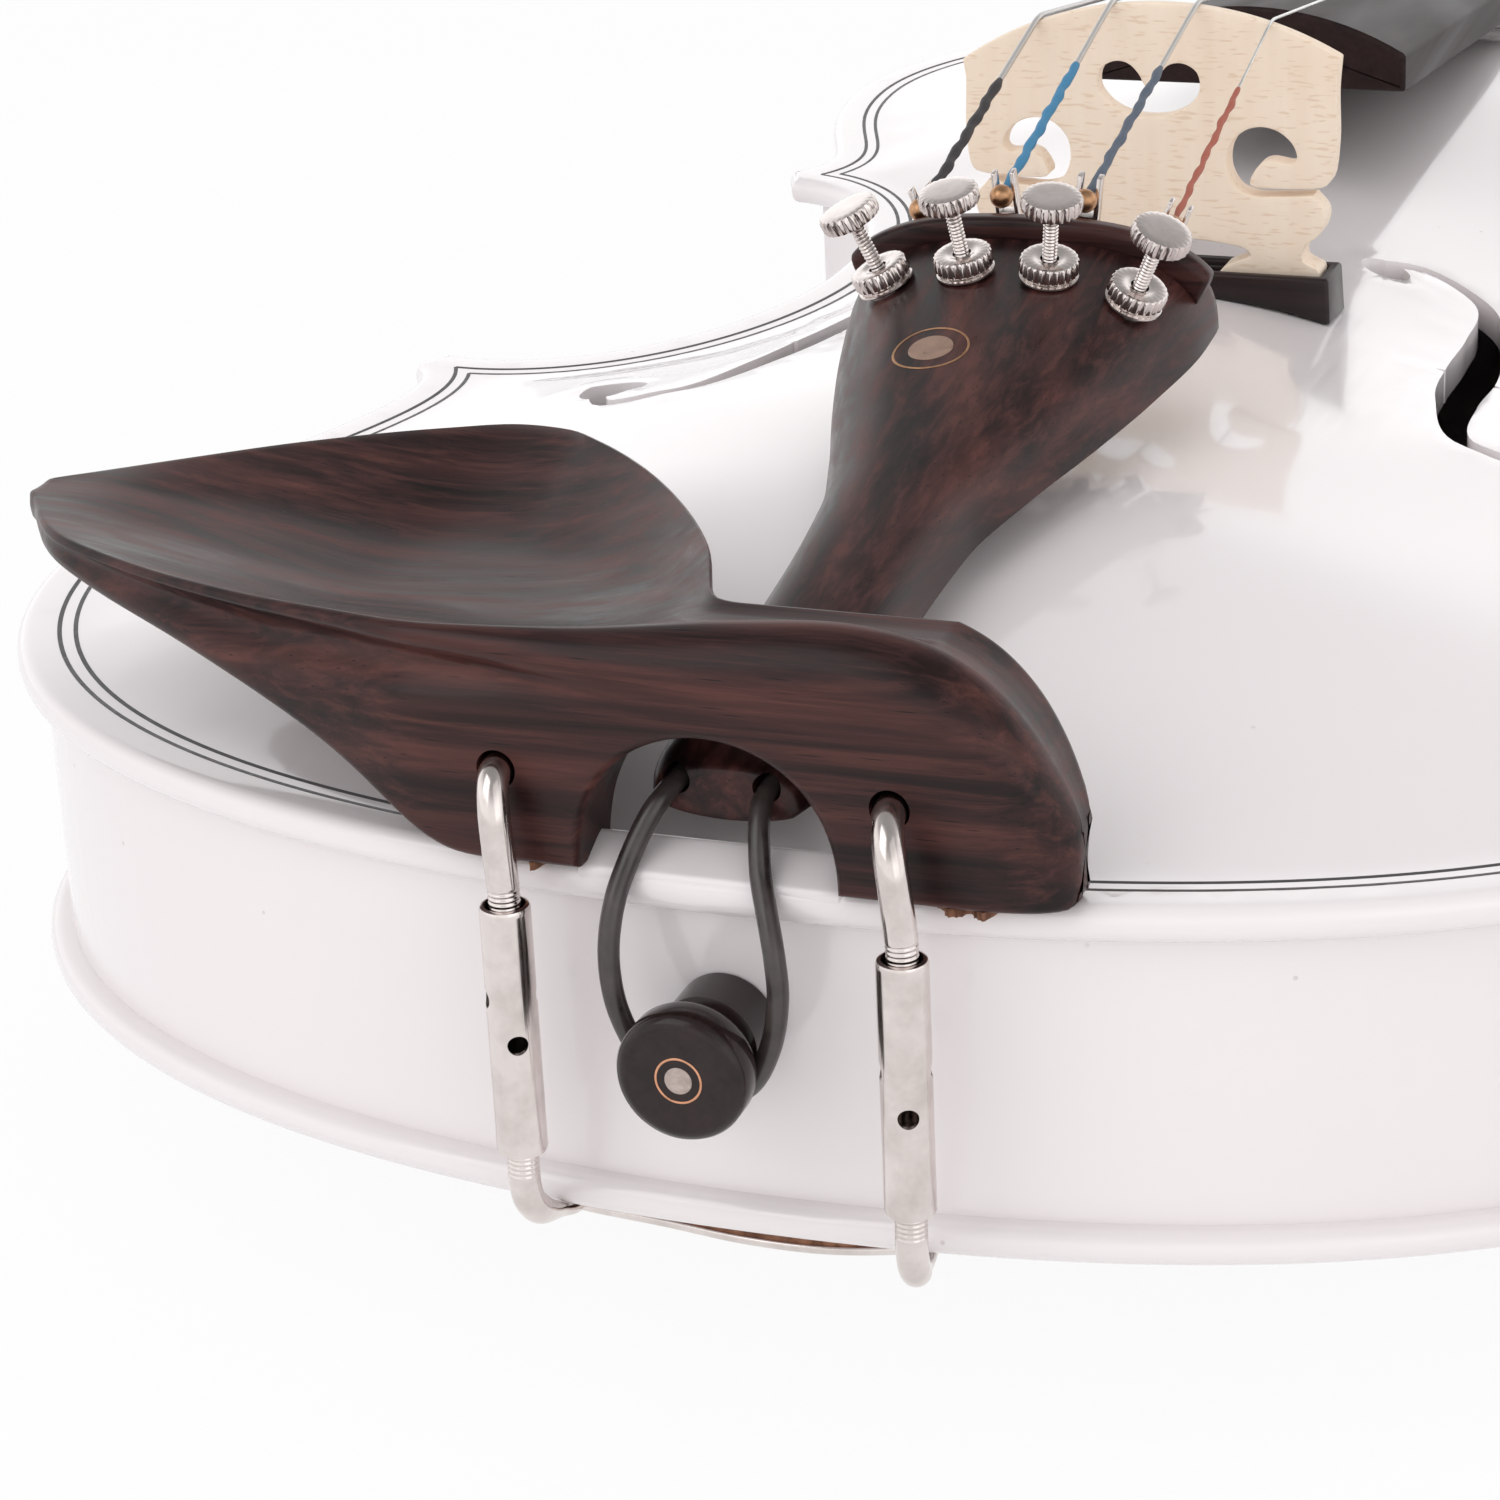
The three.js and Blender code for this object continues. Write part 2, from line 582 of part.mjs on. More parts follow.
function soundHoleCut(side) {
  const { upperX, upperY, upperEye, lowerX, lowerY, lowerEye } = soundHole;
  const places = [
    [upperX - upperEye * eyeJoinShare, upperY + upperEye * eyeJoinShare],
    ...soundHoleShares.map(([x, y]) => [upperX + (lowerX - upperX) * x, upperY + (upperY - lowerY) * y]),
    [lowerX + lowerEye * eyeJoinShare, lowerY - lowerEye * eyeJoinShare],
  ];
  const centreLine = new THREE.CatmullRomCurve3(places.map(([x, y]) => new THREE.Vector3(x * side, y, 0)));
  const stemSteps = 22;
  const left = [];
  const right = [];
  for (let i = 0; i <= stemSteps; i += 1) {
    const share = i / stemSteps;
    const place = centreLine.getPointAt(share);
    const direction = centreLine.getTangentAt(share);
    const swell = Math.sin(share * Math.PI) ** 3;
    const half = soundHole.endHalf + (soundHole.stemHalf - soundHole.endHalf) * swell;
    left.push(point(place.x - direction.y * half, place.y + direction.x * half));
    right.push(point(place.x + direction.y * half, place.y - direction.x * half));
  }
  const low = ribTop - overrun;
  const depth = belly.arch - low + overrun;
  const slot = extruded(new THREE.Shape(left.concat(right.reverse())), depth).translate(0, 0, low);
  const eye = (x, y, r) => rod('z', r, low, low + depth).translate(x * side, y, 0);
  const middle = centreLine.getPointAt(0.5);
  const nick = new THREE.CylinderGeometry(soundHole.nick, soundHole.nick, depth, 3);
  const nicks = [-1, 1].map((way) => nick.clone().rotateX(Math.PI / 2)
    .translate(middle.x + way * soundHole.stemHalf, middle.y, low + depth / 2));
  return join(slot, eye(upperX, upperY, upperEye), eye(lowerX, lowerY, lowerEye), ...nicks);
}

// Neck: handle and heel, pegbox and scroll in one piece

// Heel stations: shares of the heel's length, of the root's half width and of the
// handle's depth, and the power that rounds the section
const heelShares = [
  [0.4, 0.98, 0, 0.55], [1, 0.96, 0.07, 0.65], [1.4, 0.95, 0.4, 0.8], [2, 0.93, 0.75, 0.95],
];
const rootRoundShare = 0.5;
const handleStartShare = 3;
const handleRingSteps = 8;

const neckStations = [
  [bodyLength - neck.rootDepth, neck.rootHalf, 0, rootRoundShare],
  ...heelShares.map(([y, half, depth, round]) => (
    [bodyLength + neck.heelLength * y, neck.rootHalf * half, depth, round])),
  [bodyLength + neck.heelLength * handleStartShare, neck.handleHalf, 1, 1],
  [nutY - neck.heelLength, neck.nutHalf, 1, 1],
  [nutY + pegbox.start, neck.nutHalf, 1, 1],
];

// A neck section, flat on top and rounded below
function neckRing([y, half, handleShare, roundShare]) {
  const top = glueLine(y);
  const heelDepth = top - ribBottom - fitGap;
  const handleDepth = THREE.MathUtils.mapLinear(y, bodyLength, nutY, neck.handleDepth, neck.nutDepth);
  const depth = THREE.MathUtils.lerp(heelDepth, handleDepth, handleShare);
  return Array.from({ length: handleRingSteps + 1 }, (_, i) => {
    const turn = (i / handleRingSteps) * Math.PI;
    const across = Math.sign(Math.cos(turn)) * Math.abs(Math.cos(turn)) ** roundShare;
    return new THREE.Vector3(half * across, y, top - depth * Math.sin(turn) ** roundShare);
  });
}

// Pegbox frame: u along it from the nut, v up from its top edge
const pegboxSlope = radians(pegbox.slopeDegrees);
const pegboxPoint = (u, v) => [
  nutY + u * Math.cos(pegboxSlope) + v * Math.sin(pegboxSlope),
  glueLine(nutY) - u * Math.sin(pegboxSlope) + v * Math.cos(pegboxSlope),
];

function pegboxHalfAt(u) {
  return THREE.MathUtils.mapLinear(u, 0, pegbox.length, pegbox.half, pegbox.endHalf);
}

// The underside of the pegbox: shares of its length and of its outer depth
const pegboxUnderShares = [[1.12, 1], [0.92, 0.94], [0.7, 0.8], [0.35, 0.68], [0, 0.6]];

function pegboxSolid() {
  const under = pegboxUnderShares.map(([u, v]) => [pegbox.length * u, -pegbox.outerDepth * v]);
  const outline = [
    [-pegbox.start, -pegbox.startDrop], [0, 0], [pegbox.length, 0], ...under, [-pegbox.start, -neck.nutDepth],
  ];
  const ring = (side) => outline.map(([u, v]) => {
    const [y, z] = pegboxPoint(u, v);
    return new THREE.Vector3(side * pegboxHalfAt(Math.max(0, Math.min(u, pegbox.length))), y, z);
  });
  return loft([ring(-1), ring(1)]);
}

const hollowEndShare = 0.93;

function pegboxHollow() {
  const ring = (u) => {
    const half = pegboxHalfAt(u) - pegbox.wall * (pegboxHalfAt(u) / pegbox.half);
    const floor = THREE.MathUtils.mapLinear(u, 0, pegbox.length, pegbox.depth, pegbox.endDepth) - pegbox.floor;
    const corners = [[-half, pegbox.mouthRise], [half, pegbox.mouthRise], [half, -floor], [-half, -floor]];
    return corners.map(([x, v]) => {
      const [y, z] = pegboxPoint(u, v);
      return new THREE.Vector3(x, y, z);
    });
  };
  return loft([ring(pegbox.hollowStart), ring(pegbox.length * hollowEndShare)]);
}

// One level of the scroll: all that lies inside one turn of its spiral
const scrollTurnSteps = 18;
const scrollTurnShare = 0.605;
const scrollWidthShares = [0.62, 0.82];

function scrollLevel(startTurn, half) {
  const [eyeY, eyeZ] = pegboxPoint(scroll.eyeX, -scroll.eyeDrop);
  const pairs = Array.from({ length: scrollTurnSteps }, (_, i) => {
    const turn = startTurn + i / scrollTurnSteps;
    const radius = scroll.radius * scrollTurnShare ** turn;
    const angle = turn * Math.PI * 2 - Math.PI / 2 - pegboxSlope;
    return [eyeY + radius * Math.cos(angle), eyeZ + radius * Math.sin(angle)];
  });
  return sideSlab(pairs, half);
}

function neckSolid() {
  const handle = loft(neckStations.map(neckRing));
  const [eyeY, eyeZ] = pegboxPoint(scroll.eyeX, -scroll.eyeDrop);
  const eye = rod('x', scroll.eyeRadius, -scroll.eyeHalf, scroll.eyeHalf, sides.bore).translate(0, eyeY, eyeZ);
  const levels = scrollWidthShares.map((share, i) => scrollLevel(i + 1, scroll.eyeHalf * share));
  const head = join(handle, pegboxSolid(), scrollLevel(0, pegbox.endHalf), ...levels, eye);
  return cut(head, pegboxHollow(), ...pegPlaces.flatMap(pegHoles));
}

// Pegs: a tapered shaft across the pegbox with a flat oval head

const pegRadius = (x) => (
  THREE.MathUtils.mapLinear(x, -pegbox.half, pegbox.half, peg.tipRadius, peg.headRadius));

// Faceted bores are drawn out to clear the round pin that turns in them
const roundClear = 1 / Math.cos(Math.PI / sides.turned);

function pegHoles({ side, along: u }) {
  const [y, z] = pegboxPoint(u, -peg.depth);
  return [-1, 1].map((cheek) => {
    const place = cheek * (pegboxHalfAt(u) - pegbox.wall / 2);
    const radius = (pegRadius(place * side + pegbox.wall) + fitGap) * roundClear;
    return rod('x', radius, place - pegbox.wall, place + pegbox.wall, sides.turned).translate(0, y, z);
  });
}

const pegCollarShare = 0.6;

function pegSolid({ side, along: u }) {
  const collar = pegboxHalfAt(u) + peg.standOff;
  const tip = -pegboxHalfAt(u) - peg.tipOut;
  const collarEnd = collar + peg.collarLength;
  const shaft = turned([
    [0, tip], [pegRadius(tip), tip], [pegRadius(collar), collar], [peg.collarRadius, collar],
    [peg.collarRadius, collar + peg.collarLength * pegCollarShare], [peg.neckRadius, collarEnd],
    [peg.neckRadius, collarEnd + peg.neckLength], [0, collarEnd + peg.neckLength],
  ], sides.turned);
  const oval = new THREE.SphereGeometry(1, 12, 7);
  oval.scale(peg.headThick / 2, peg.headHalf, peg.headLength / 2);
  oval.translate(0, 0, collarEnd + peg.headLength / 2);
  return join(shaft, oval).rotateY((side * Math.PI) / 2);
}

// Fingerboard and nut

const boardRingSteps = 8;
const boardHalf = (y) => (
  THREE.MathUtils.mapLinear(y, fingerboard.endY, nutY, fingerboard.endHalf, neck.nutHalf));
const boardTop = (x, y, half, rise) => {
  const sag = Math.sqrt(fingerboard.radius ** 2 - x ** 2) - Math.sqrt(fingerboard.radius ** 2 - half ** 2);
  return glueLine(y) + fitGap + fingerboard.edge + rise + sag;
};

function boardRing(y, half, rise) {
  const low = glueLine(y) + fitGap;
  const top = Array.from({ length: boardRingSteps + 1 }, (_, i) => {
    const x = half * (1 - (2 * i) / boardRingSteps);
    return new THREE.Vector3(x, y, boardTop(x, y, half, rise));
  });
  return [new THREE.Vector3(-half, y, low), new THREE.Vector3(half, y, low), ...top];
}

// Bridge: one half of its outline in shares of its half width and height

const bridgeArchShares = [[0.16, 0.125], [0.3, 0.06]];
const bridgeFootShares = [
  [0.377, 0], [0.915, 0], [0.907, 0.039], [0.81, 0.079], [0.83, 0.12], [0.924, 0.178], [0.935, 0.281],
  [0.87, 0.314],
];
const kidneyShares = [
  [0.5, 0.312], [0.4, 0.36], [0.355, 0.45], [0.43, 0.52], [0.56, 0.535], [0.68, 0.5], [0.74, 0.42],
  [0.7, 0.345],
];
const bridgeWingShares = [[0.87, 0.34], [0.955, 0.35], [0.99, 0.5]];
const heartShares = [
  [0, 0.61], [0.14, 0.59], [0.26, 0.63], [0.285, 0.7], [0.22, 0.76], [0.1, 0.77], [0.05, 0.71], [0, 0.68],
];
const bridgeTopSteps = 10;

// The circle through three points
function circleThrough(a, b, c) {
  const [ab, bc] = [b.clone().sub(a), c.clone().sub(b)];
  const [first, second] = [a.clone().add(b).divideScalar(2), b.clone().add(c).divideScalar(2)];
  const along = second.clone().sub(first).dot(bc) / (bc.x * -ab.y + bc.y * ab.x);
  const centre = point(first.x - ab.y * along, first.y + ab.x * along);
  return { centre, radius: centre.distanceTo(b) };
}
const bridgeArc = circleThrough(
  point(-bridge.half, bridge.bassCorner),
  point(bridge.crestX, bridge.height),
  point(bridge.half, bridge.trebleCorner));
const bridgeTop = (x) => bridgeArc.centre.y + Math.sqrt(bridgeArc.radius ** 2 - (x - bridgeArc.centre.x) ** 2);

function bridgeSolid() {
  const scaled = (shares, side) => shares.map(([x, z]) => [x * bridge.half * side, z * bridge.height]);
  const halfOutline = [...bridgeArchShares, ...bridgeFootShares, ...kidneyShares, ...bridgeWingShares];
  const top = Array.from({ length: bridgeTopSteps + 1 }, (_, i) => {
    const x = bridge.half * (1 - (2 * i) / bridgeTopSteps);
    return [x, bridgeTop(x)];
  });
  const shape = shapeOf([...scaled(halfOutline, 1), ...top, ...scaled(halfOutline, -1).reverse()]);
  const heart = [...scaled(heartShares, 1), ...scaled(heartShares.slice(1, -1), -1).reverse()];
  shape.holes.push(new THREE.Path(heart.map(([x, z]) => point(x, z))));
  const slab = extruded(shape, 1).translate(0, 0, -1 / 2);
  const places = slab.getAttribute('position');
  for (let i = 0; i < places.count; i += 1) {
    const share = places.getY(i) / bridge.height;
    places.setZ(i, places.getZ(i) * THREE.MathUtils.lerp(bridge.footThick, bridge.topThick, share));
  }
  return slab.rotateX(Math.PI / 2).translate(0, bridgeY, bridge.footZ);
}

function bridgeBarSolid() {
  const { half, topInset, depth, topDepth, top, slotDepth } = bridgeBar;
  const ring = (z, halfX, halfY) => [[-1, -1], [1, -1], [1, 1], [-1, 1]]
    .map(([x, y]) => new THREE.Vector3(x * halfX, bridgeY + y * halfY, z));
  const block = loft([ring(0, half, depth / 2), ring(top, half - topInset, topDepth / 2)]);
  const slotHalf = bridge.footThick / 2 + fitGap;
  const slotX = bridge.half * Math.max(...bridgeFootShares.slice(0, 2).map(([x]) => x)) + fitGap;
  const slot = box(
    -slotX, slotX, bridgeY - slotHalf, bridgeY + slotHalf, top - slotDepth - fitGap, top + overrun);
  return cut(block, moved(bellyBlank, 0, 0, fitGap), slot);
}

// Tailpiece: shares of its length, of its half width and of its crest's rise

const tailpieceShares = [
  [0, 0.34, 0], [0.03, 0.4, 0.06], [0.14, 0.375, 0.17], [0.33, 0.355, 0.36], [0.47, 0.39, 0.49],
  [0.59, 0.53, 0.61], [0.7, 0.7, 0.73], [0.82, 0.86, 0.85], [0.94, 0.97, 0.96], [1, 0.98, 1],
];
const crownPower = 2.6;
const tailpieceRingSteps = 8;
const undersideShares = [-0.86, -0.5, 0, 0.5, 0.86];
const tailpieceLength = tailpiece.end - tailpiece.start;
const tailpieceShare = (y) => (y - tailpiece.start) / tailpieceLength;
const tailpieceHalf = (y) => {
  const halfShares = tailpieceShares.map(([place, half]) => [place, half]);
  return tailpiece.headHalf * along(halfShares, tailpieceShare(y));
};
const tailpieceCrest = (y) => {
  const crestShares = tailpieceShares.map(([place, , crest]) => [place, crest]);
  return tailpiece.tailCrestZ + tailpiece.crestRise * along(crestShares, tailpieceShare(y));
};
const tailpieceEdge = (y) => THREE.MathUtils.lerp(tailpiece.tailEdgeZ, tailpiece.headEdgeZ, tailpieceShare(y));

// Height across the crown: full in the middle and rounded off at the sides
const crownShare = (share) => (1 - Math.abs(share) ** crownPower) ** (1 / crownPower);
const tailpieceTop = (x, y) => {
  const edge = tailpieceEdge(y);
  return edge + (tailpieceCrest(y) - edge) * crownShare(x / tailpieceHalf(y));
};

function tailpieceRing(y) {
  const half = tailpieceHalf(y);
  const edge = tailpieceEdge(y);
  const crest = tailpieceCrest(y) - edge;
  const hollowShare = THREE.MathUtils.clamp(
    (y - tailpiece.hollowStart) / (tailpiece.hollowFull - tailpiece.hollowStart), 0, 1);
  const top = Array.from({ length: tailpieceRingSteps + 1 }, (_, i) => {
    const share = Math.cos((i / tailpieceRingSteps) * Math.PI);
    return new THREE.Vector3(half * share, y, edge + crest * crownShare(share));
  });
  const under = undersideShares.map((share) => {
    const hollowed = edge + crest * crownShare(share) - tailpiece.wall;
    const solid = edge - tailpiece.belly * Math.sqrt(1 - share ** 2);
    return new THREE.Vector3(half * share, y, THREE.MathUtils.lerp(solid, hollowed, hollowShare));
  });
  return [...top, ...under];
}

// The raised fret across the head, grown by a gap for the groove that holds it
const fretSteps = 10;
const fretReachShare = 0.93;
const fretLeanShare = 0.35;

function fretSolid(grow) {
  const half = tailpieceHalf(fret.y);
  const rings = Array.from({ length: fretSteps + 1 }, (_, i) => {
    const share = Math.cos((i / fretSteps) * Math.PI) * (1 + grow / half);
    const crown = tailpieceTop(half * share * fretReachShare, fret.y);
    const outer = (half + fret.rise * fretLeanShare) * share;
    const inner = (half - fret.sink) * share;
    const [low, high] = [crown - fret.sink - grow, crown + fret.rise + grow];
    return [[inner, -1, low], [outer, -1, high], [outer, 1, high], [inner, 1, low]]
      .map(([x, way, z]) => new THREE.Vector3(x, fret.y + way * (fret.width / 2 + grow), z));
  });
  return loft(rings);
}

// Tuners: a fan of four, each drawn in its own frame, z along its screw

const tunerFrames = tunerPlaces.map(({ x, leanDegrees }) => {
  const frame = new THREE.Group();
  frame.position.set(x, tuner.y, tailpieceTop(x, tuner.y));
  frame.rotation.set(radians(tuner.pitchDegrees), radians(leanDegrees), 0);
  violin.add(frame);
  frame.updateMatrixWorld(true);
  return frame;
});

function tunerBodySolid() {
  const { collarRadius, collarLength, collarRound, plateHalf, plateTop, stemBottom } = tuner;
  const stem = turned([
    [0, -stemBottom], [tuner.stemRadius, -stemBottom], [tuner.stemRadius, fitGap], [collarRadius, fitGap],
    [collarRadius, collarLength], [collarRadius - collarRound, collarLength + collarRound],
    [0, collarLength + collarRound],
  ], sides.turned);
  const plate = box(-plateHalf, plateHalf, tuner.plateStart, tuner.plateEnd, -stemBottom, -plateTop);
  const cheeks = [-plateHalf, plateHalf - tuner.cheek].map((low) => box(
    low, low + tuner.cheek, tuner.pivotY - tuner.cheekHalfLength, tuner.pivotY + tuner.cheekHalfLength,
    -tuner.cheekBottom, -plateTop));
  const pin = rod('x', tuner.pinRadius, -plateHalf, plateHalf, sides.pin)
    .translate(0, tuner.pivotY, -tuner.pivotZ);
  const bore = rod('z', tuner.boreRadius, -stemBottom - overrun, collarLength + overrun, sides.bore);
  return cut(join(stem, plate, ...cheeks, pin), bore);
}

function tunerScrewSolid() {
  const { shaftRadius, headRadius, headStart, headLength, headRound, tipZ } = tuner;
  const headEnd = headStart + headLength;
  return turned([
    [0, -tipZ], [shaftRadius, -tipZ], [shaftRadius, headStart], [headRadius - headRound, headStart],
    [headRadius, headStart + headRound], [headRadius, headEnd - headRound], [headRadius - headRound, headEnd],
    [0, headEnd],
  ], sides.turned);
}

function tunerLeverSolid() {
  const l = lever;
  const bar = sideSlab([
    [l.armStart, -l.armTop], [l.kneeY, -l.armTop], [l.shoulderY, -l.shoulderZ], [l.frontY, -l.shoulderZ],
    [l.riseY, -l.riseZ], [l.topY, l.topZ], [l.topY + l.post, l.topZ], [l.backY, -l.shoulderZ],
    [l.heelY, -l.armBottom], [l.armStart, -l.armBottom],
  ], l.half);
  const eye = rod('x', tuner.pinRadius + fitGap, -l.half - overrun, l.half + overrun, sides.pin)
    .translate(0, tuner.pivotY, -tuner.pivotZ);
  const fork = box(-l.forkHalf, l.forkHalf, l.topY - l.forkReach, l.topY + l.forkReach,
    l.topZ - l.forkDepth, l.topZ + overrun);
  return cut(bar, eye, fork);
}

// Strings: each from its lever's fork, over the bridge and the nut, to its peg

function stringStops({ name, bridgeX, radius }, order) {
  const fork = new THREE.Vector3(0, lever.topY - lever.post / 2, lever.stringZ)
    .applyMatrix4(tunerFrames[order].matrixWorld);
  const nutX = nut.stringSpan * (order / (stringLanes.length - 1) - 1 / 2);
  const nutEnd = nutY + nut.length;
  const place = pegPlaces.find((candidate) => candidate.name === name);
  const [pegY, pegZ] = pegboxPoint(place.along, -peg.depth);
  return [
    fork,
    new THREE.Vector3(bridgeX, bridgeY, bridge.footZ + bridgeTop(bridgeX) + radius + restGap),
    new THREE.Vector3(nutX, nutEnd, boardTop(nutX, nutEnd, neck.nutHalf, nut.rise) + radius + fitGap),
    new THREE.Vector3(place.lane, pegY, pegZ + pegRadius(0) + radius + fitGap),
  ];
}

// A string runs straight between its stops, with a short bend over each
function stringSolid(lane, order) {
  const stops = stringStops(lane, order);
  const heading = (a, b) => b.clone().sub(a).normalize();
  const ringAt = (place, direction) => {
    const across = new THREE.Vector3(1, 0, 0).addScaledVector(direction, -direction.x).normalize();
    const up = across.clone().cross(direction);
    return Array.from({ length: sides.string }, (_, i) => {
      const turn = ((i + 1 / 2) / sides.string) * Math.PI * 2;
      return place.clone().addScaledVector(across, lane.radius * Math.cos(turn))
        .addScaledVector(up, lane.radius * Math.sin(turn));
    });
  };
  const rings = [ringAt(stops[0], heading(stops[0], stops[1]))];
  for (let i = 1; i < stops.length - 1; i += 1) {
    const into = heading(stops[i - 1], stops[i]);
    const out = heading(stops[i], stops[i + 1]);
    const mean = into.clone().add(out).normalize();
    const early = stops[i].clone().addScaledVector(into, -stringBend);
    rings.push(ringAt(early, into.clone().add(mean).normalize()));
    rings.push(ringAt(stops[i], mean));
    rings.push(ringAt(stops[i].clone().addScaledVector(out, stringBend), out.clone().add(mean).normalize()));
  }
  const [before, last] = stops.slice(-2);
  rings.push(ringAt(last, heading(before, last)));
  return loft(rings);
}

// End button, saddle and tail gut

function endButtonSolid() {
  const b = endButton;
  const grooveFront = b.headLength;
  const grooveBack = grooveFront + b.grooveLength;
  const ribFace = rib.overhang - b.faceY - fitGap;
  return turned([
    [0, 0], [b.headRadius - b.headRound, 0], [b.headRadius, b.headRound],
    [b.headRadius, grooveFront - b.headRound], [b.headRadius - b.headRound, grooveFront],
    [b.grooveRadius, grooveFront + fitGap],
    [b.grooveRadius, grooveBack - fitGap], [b.collarRadius, grooveBack], [b.collarRadius, ribFace],
    [b.shankRadius, ribFace], [b.shankTip, ribFace + b.shankDepth], [0, ribFace + b.shankDepth],
  ], sides.button).rotateX(-Math.PI / 2).translate(0, b.faceY, b.z);
}

// The saddle's section: shares of its depth and of its height over the edge
const saddleShares = [[0, 0.6], [0.08, 0.88], [0.2, 1], [0.42, 1], [0.7, 0.45], [1, 0]];

function saddleSolid() {
  const { half, front, depth, top } = saddle;
  const profile = saddleShares.map(([y, z]) => [front + depth * y, top * z]);
  return sideSlab([[front, ribTop], ...profile, [front + depth, ribTop]], half).translate(saddle.offset, 0, 0);
}

const gutRoute = [
  [-4.9, 13.2, 7.8], [-4.9, 8, 7.8], [-5, 5, 7.6], [-5.7, 2, 6.4], [-7, -1.9, 3], [-7.9, -3.5, -1.5],
  [-7.7, -4.2, -6.5], [-6.1, -4.6, -11], [-4.75, -4.6, -15.4], [-3.4, -4.6, -18.8], [0, -4.6, -20.2],
  [3.4, -4.6, -18.8], [4.75, -4.6, -15.4], [6.3, -4.6, -11], [7.9, -4.2, -6.5], [7.6, -3.5, -1.5],
  [6, -1.9, 3], [4.8, 2, 6.4], [4.2, 5, 7.6], [4.1, 8, 7.8], [4.1, 13.2, 7.8],
];

// Chinrest: sections across its depth, from the tip on the bass side to the treble
// end. Places along it are shares of the tip's distance from the middle

const rearShares = [
  [-1, 1], [-0.94, 0.75], [-0.82, 0.52], [-0.65, 0.28], [-0.47, 0.1], [-0.32, 0], [0.3, 0], [0.39, 0.045],
  [0.424, 0.14],
];
const farShares = [
  [-1, 0.512], [-0.982, 0.589], [-0.929, 0.657], [-0.753, 0.85], [-0.588, 0.966], [-0.5, 1], [-0.424, 0.978],
  [-0.371, 0.925], [-0.282, 0.809], [-0.194, 0.657], [-0.118, 0.486], [-0.085, 0.391], [-0.054, 0.273],
  [-0.035, 0.213], [0, 0.196], [0.282, 0.196], [0.388, 0.171], [0.424, 0.128],
];
const ridgeShares = [
  [-1, 0.83], [-0.824, 0.872], [-0.353, 0.872], [-0.176, 0.885], [-0.059, 0.932], [0.024, 0.974], [0.141, 1],
  [0.224, 0.966], [0.294, 0.872], [0.353, 0.702], [0.4, 0.489], [0.424, 0.319],
];
const bottomShares = [
  [-1, 0.833], [-0.941, 0.786], [-0.824, 0.656], [-0.612, 0.488], [-0.447, 0.237], [-0.359, 0.033],
  [-0.329, 0],
];
const dishShares = [
  [-1, 0.044], [-0.894, 0.38], [-0.729, 0.79], [-0.529, 1], [-0.353, 0.97], [-0.212, 0.735], [-0.118, 0.44],
  [-0.059, 0.147], [-0.024, 0.059],
];
const chinStationShares = [
  -1, -0.965, -0.894, -0.776, -0.635, -0.506, -0.412, -0.329, -0.247, -0.176, -0.118, -0.076, -0.047, -0.012,
  0.071, 0.153, 0.235, 0.306, 0.365, 0.405, 0.424,
];
const wallShare = 0.55;
const edgeShare = 0.15;
const bulgeShare = 0.4;
const crestShare = 0.2;
const dishSpanShares = [[0.2, 0.62], [0.42, 1], [0.66, 0.9], [0.86, 0.42]];
const underShares = [0.6, 0.15];

function chinRing(share) {
  const c = chinrest;
  const x = share * c.tipX;
  const near = c.rearY + c.tipSweep * along(rearShares, share);
  const far = c.reach * along(farShares, share);
  const low = c.footZ + (c.rimZ - c.footZ) * along(bottomShares, share);
  const ridge = c.footZ + (c.ridgeZ - c.footZ) * along(ridgeShares, share);
  const rim = Math.min(ridge, c.rimZ);
  const dish = c.dishDepth * along(dishShares, share);
  const span = far - near;
  const wallBack = near + Math.min(c.wallThick, span * wallShare);
  const crest = near + Math.min(c.ridgeBack, span * crestShare);
  const round = Math.min(c.rimRound, span * edgeShare);
  const floor = x > c.solidStart ? low : Math.max(low + c.underLip, rim - dish - c.dishThick);
  const inDish = dishSpanShares.map(([place, depth], i) => (
    [crest + (far - crest) * place, rim - dish * depth + (i === 0 ? (ridge - rim) / 2 : 0)]));
  const pairs = [
    [near, low], [near - c.wallBulge, low + (ridge - low) * bulgeShare],
    [near, ridge - Math.min(c.ridgeRound, (ridge - low) / 2)], [crest, ridge],
    ...inDish, [far - round, rim], [far, rim - round],
    [far - round / 2, Math.max(rim - c.rimDrop, floor + c.underLip)],
    ...underShares.map((place) => [wallBack + (far - wallBack) * place, floor]), [wallBack, low],
  ];
  return pairs.map(([y, z]) => new THREE.Vector3(x, y, z));
}

const chinArchSteps = 14;
const chinArchPower = 0.85;

function chinrestSolid() {
  const { archX, archHalf: half, archTop, footZ, rearY, hookHole, hookHoleDepth } = chinrest;
  const arch = Array.from({ length: chinArchSteps + 1 }, (_, i) => {
    const turn = (i / chinArchSteps) * Math.PI;
    return [archX + half * Math.cos(turn), footZ + (archTop - footZ) * Math.sin(turn) ** chinArchPower];
  });
  const outline = shapeOf([[archX - half, -overrun], [archX + half, -overrun], ...arch]);
  const opening = extruded(outline, chinrest.archDepth)
    .rotateX(Math.PI / 2).translate(0, chinrest.archDepth + rearY - overrun, 0);
  const holes = clampPosts.map(({ holeX }) => (
    rod('y', hookHole, rearY - overrun, rearY + hookHoleDepth, sides.bore).translate(holeX, 0, clamp.holeZ)));
  const rings = chinStationShares.map(chinRing);
  const blank = loft([middleOf(rings[0]), ...rings, middleOf(rings[rings.length - 1])]);
  return cut(blank, opening, ...holes);
}

// Chinrest clamp: a hook and a barrel on each side, and one bracket under the back

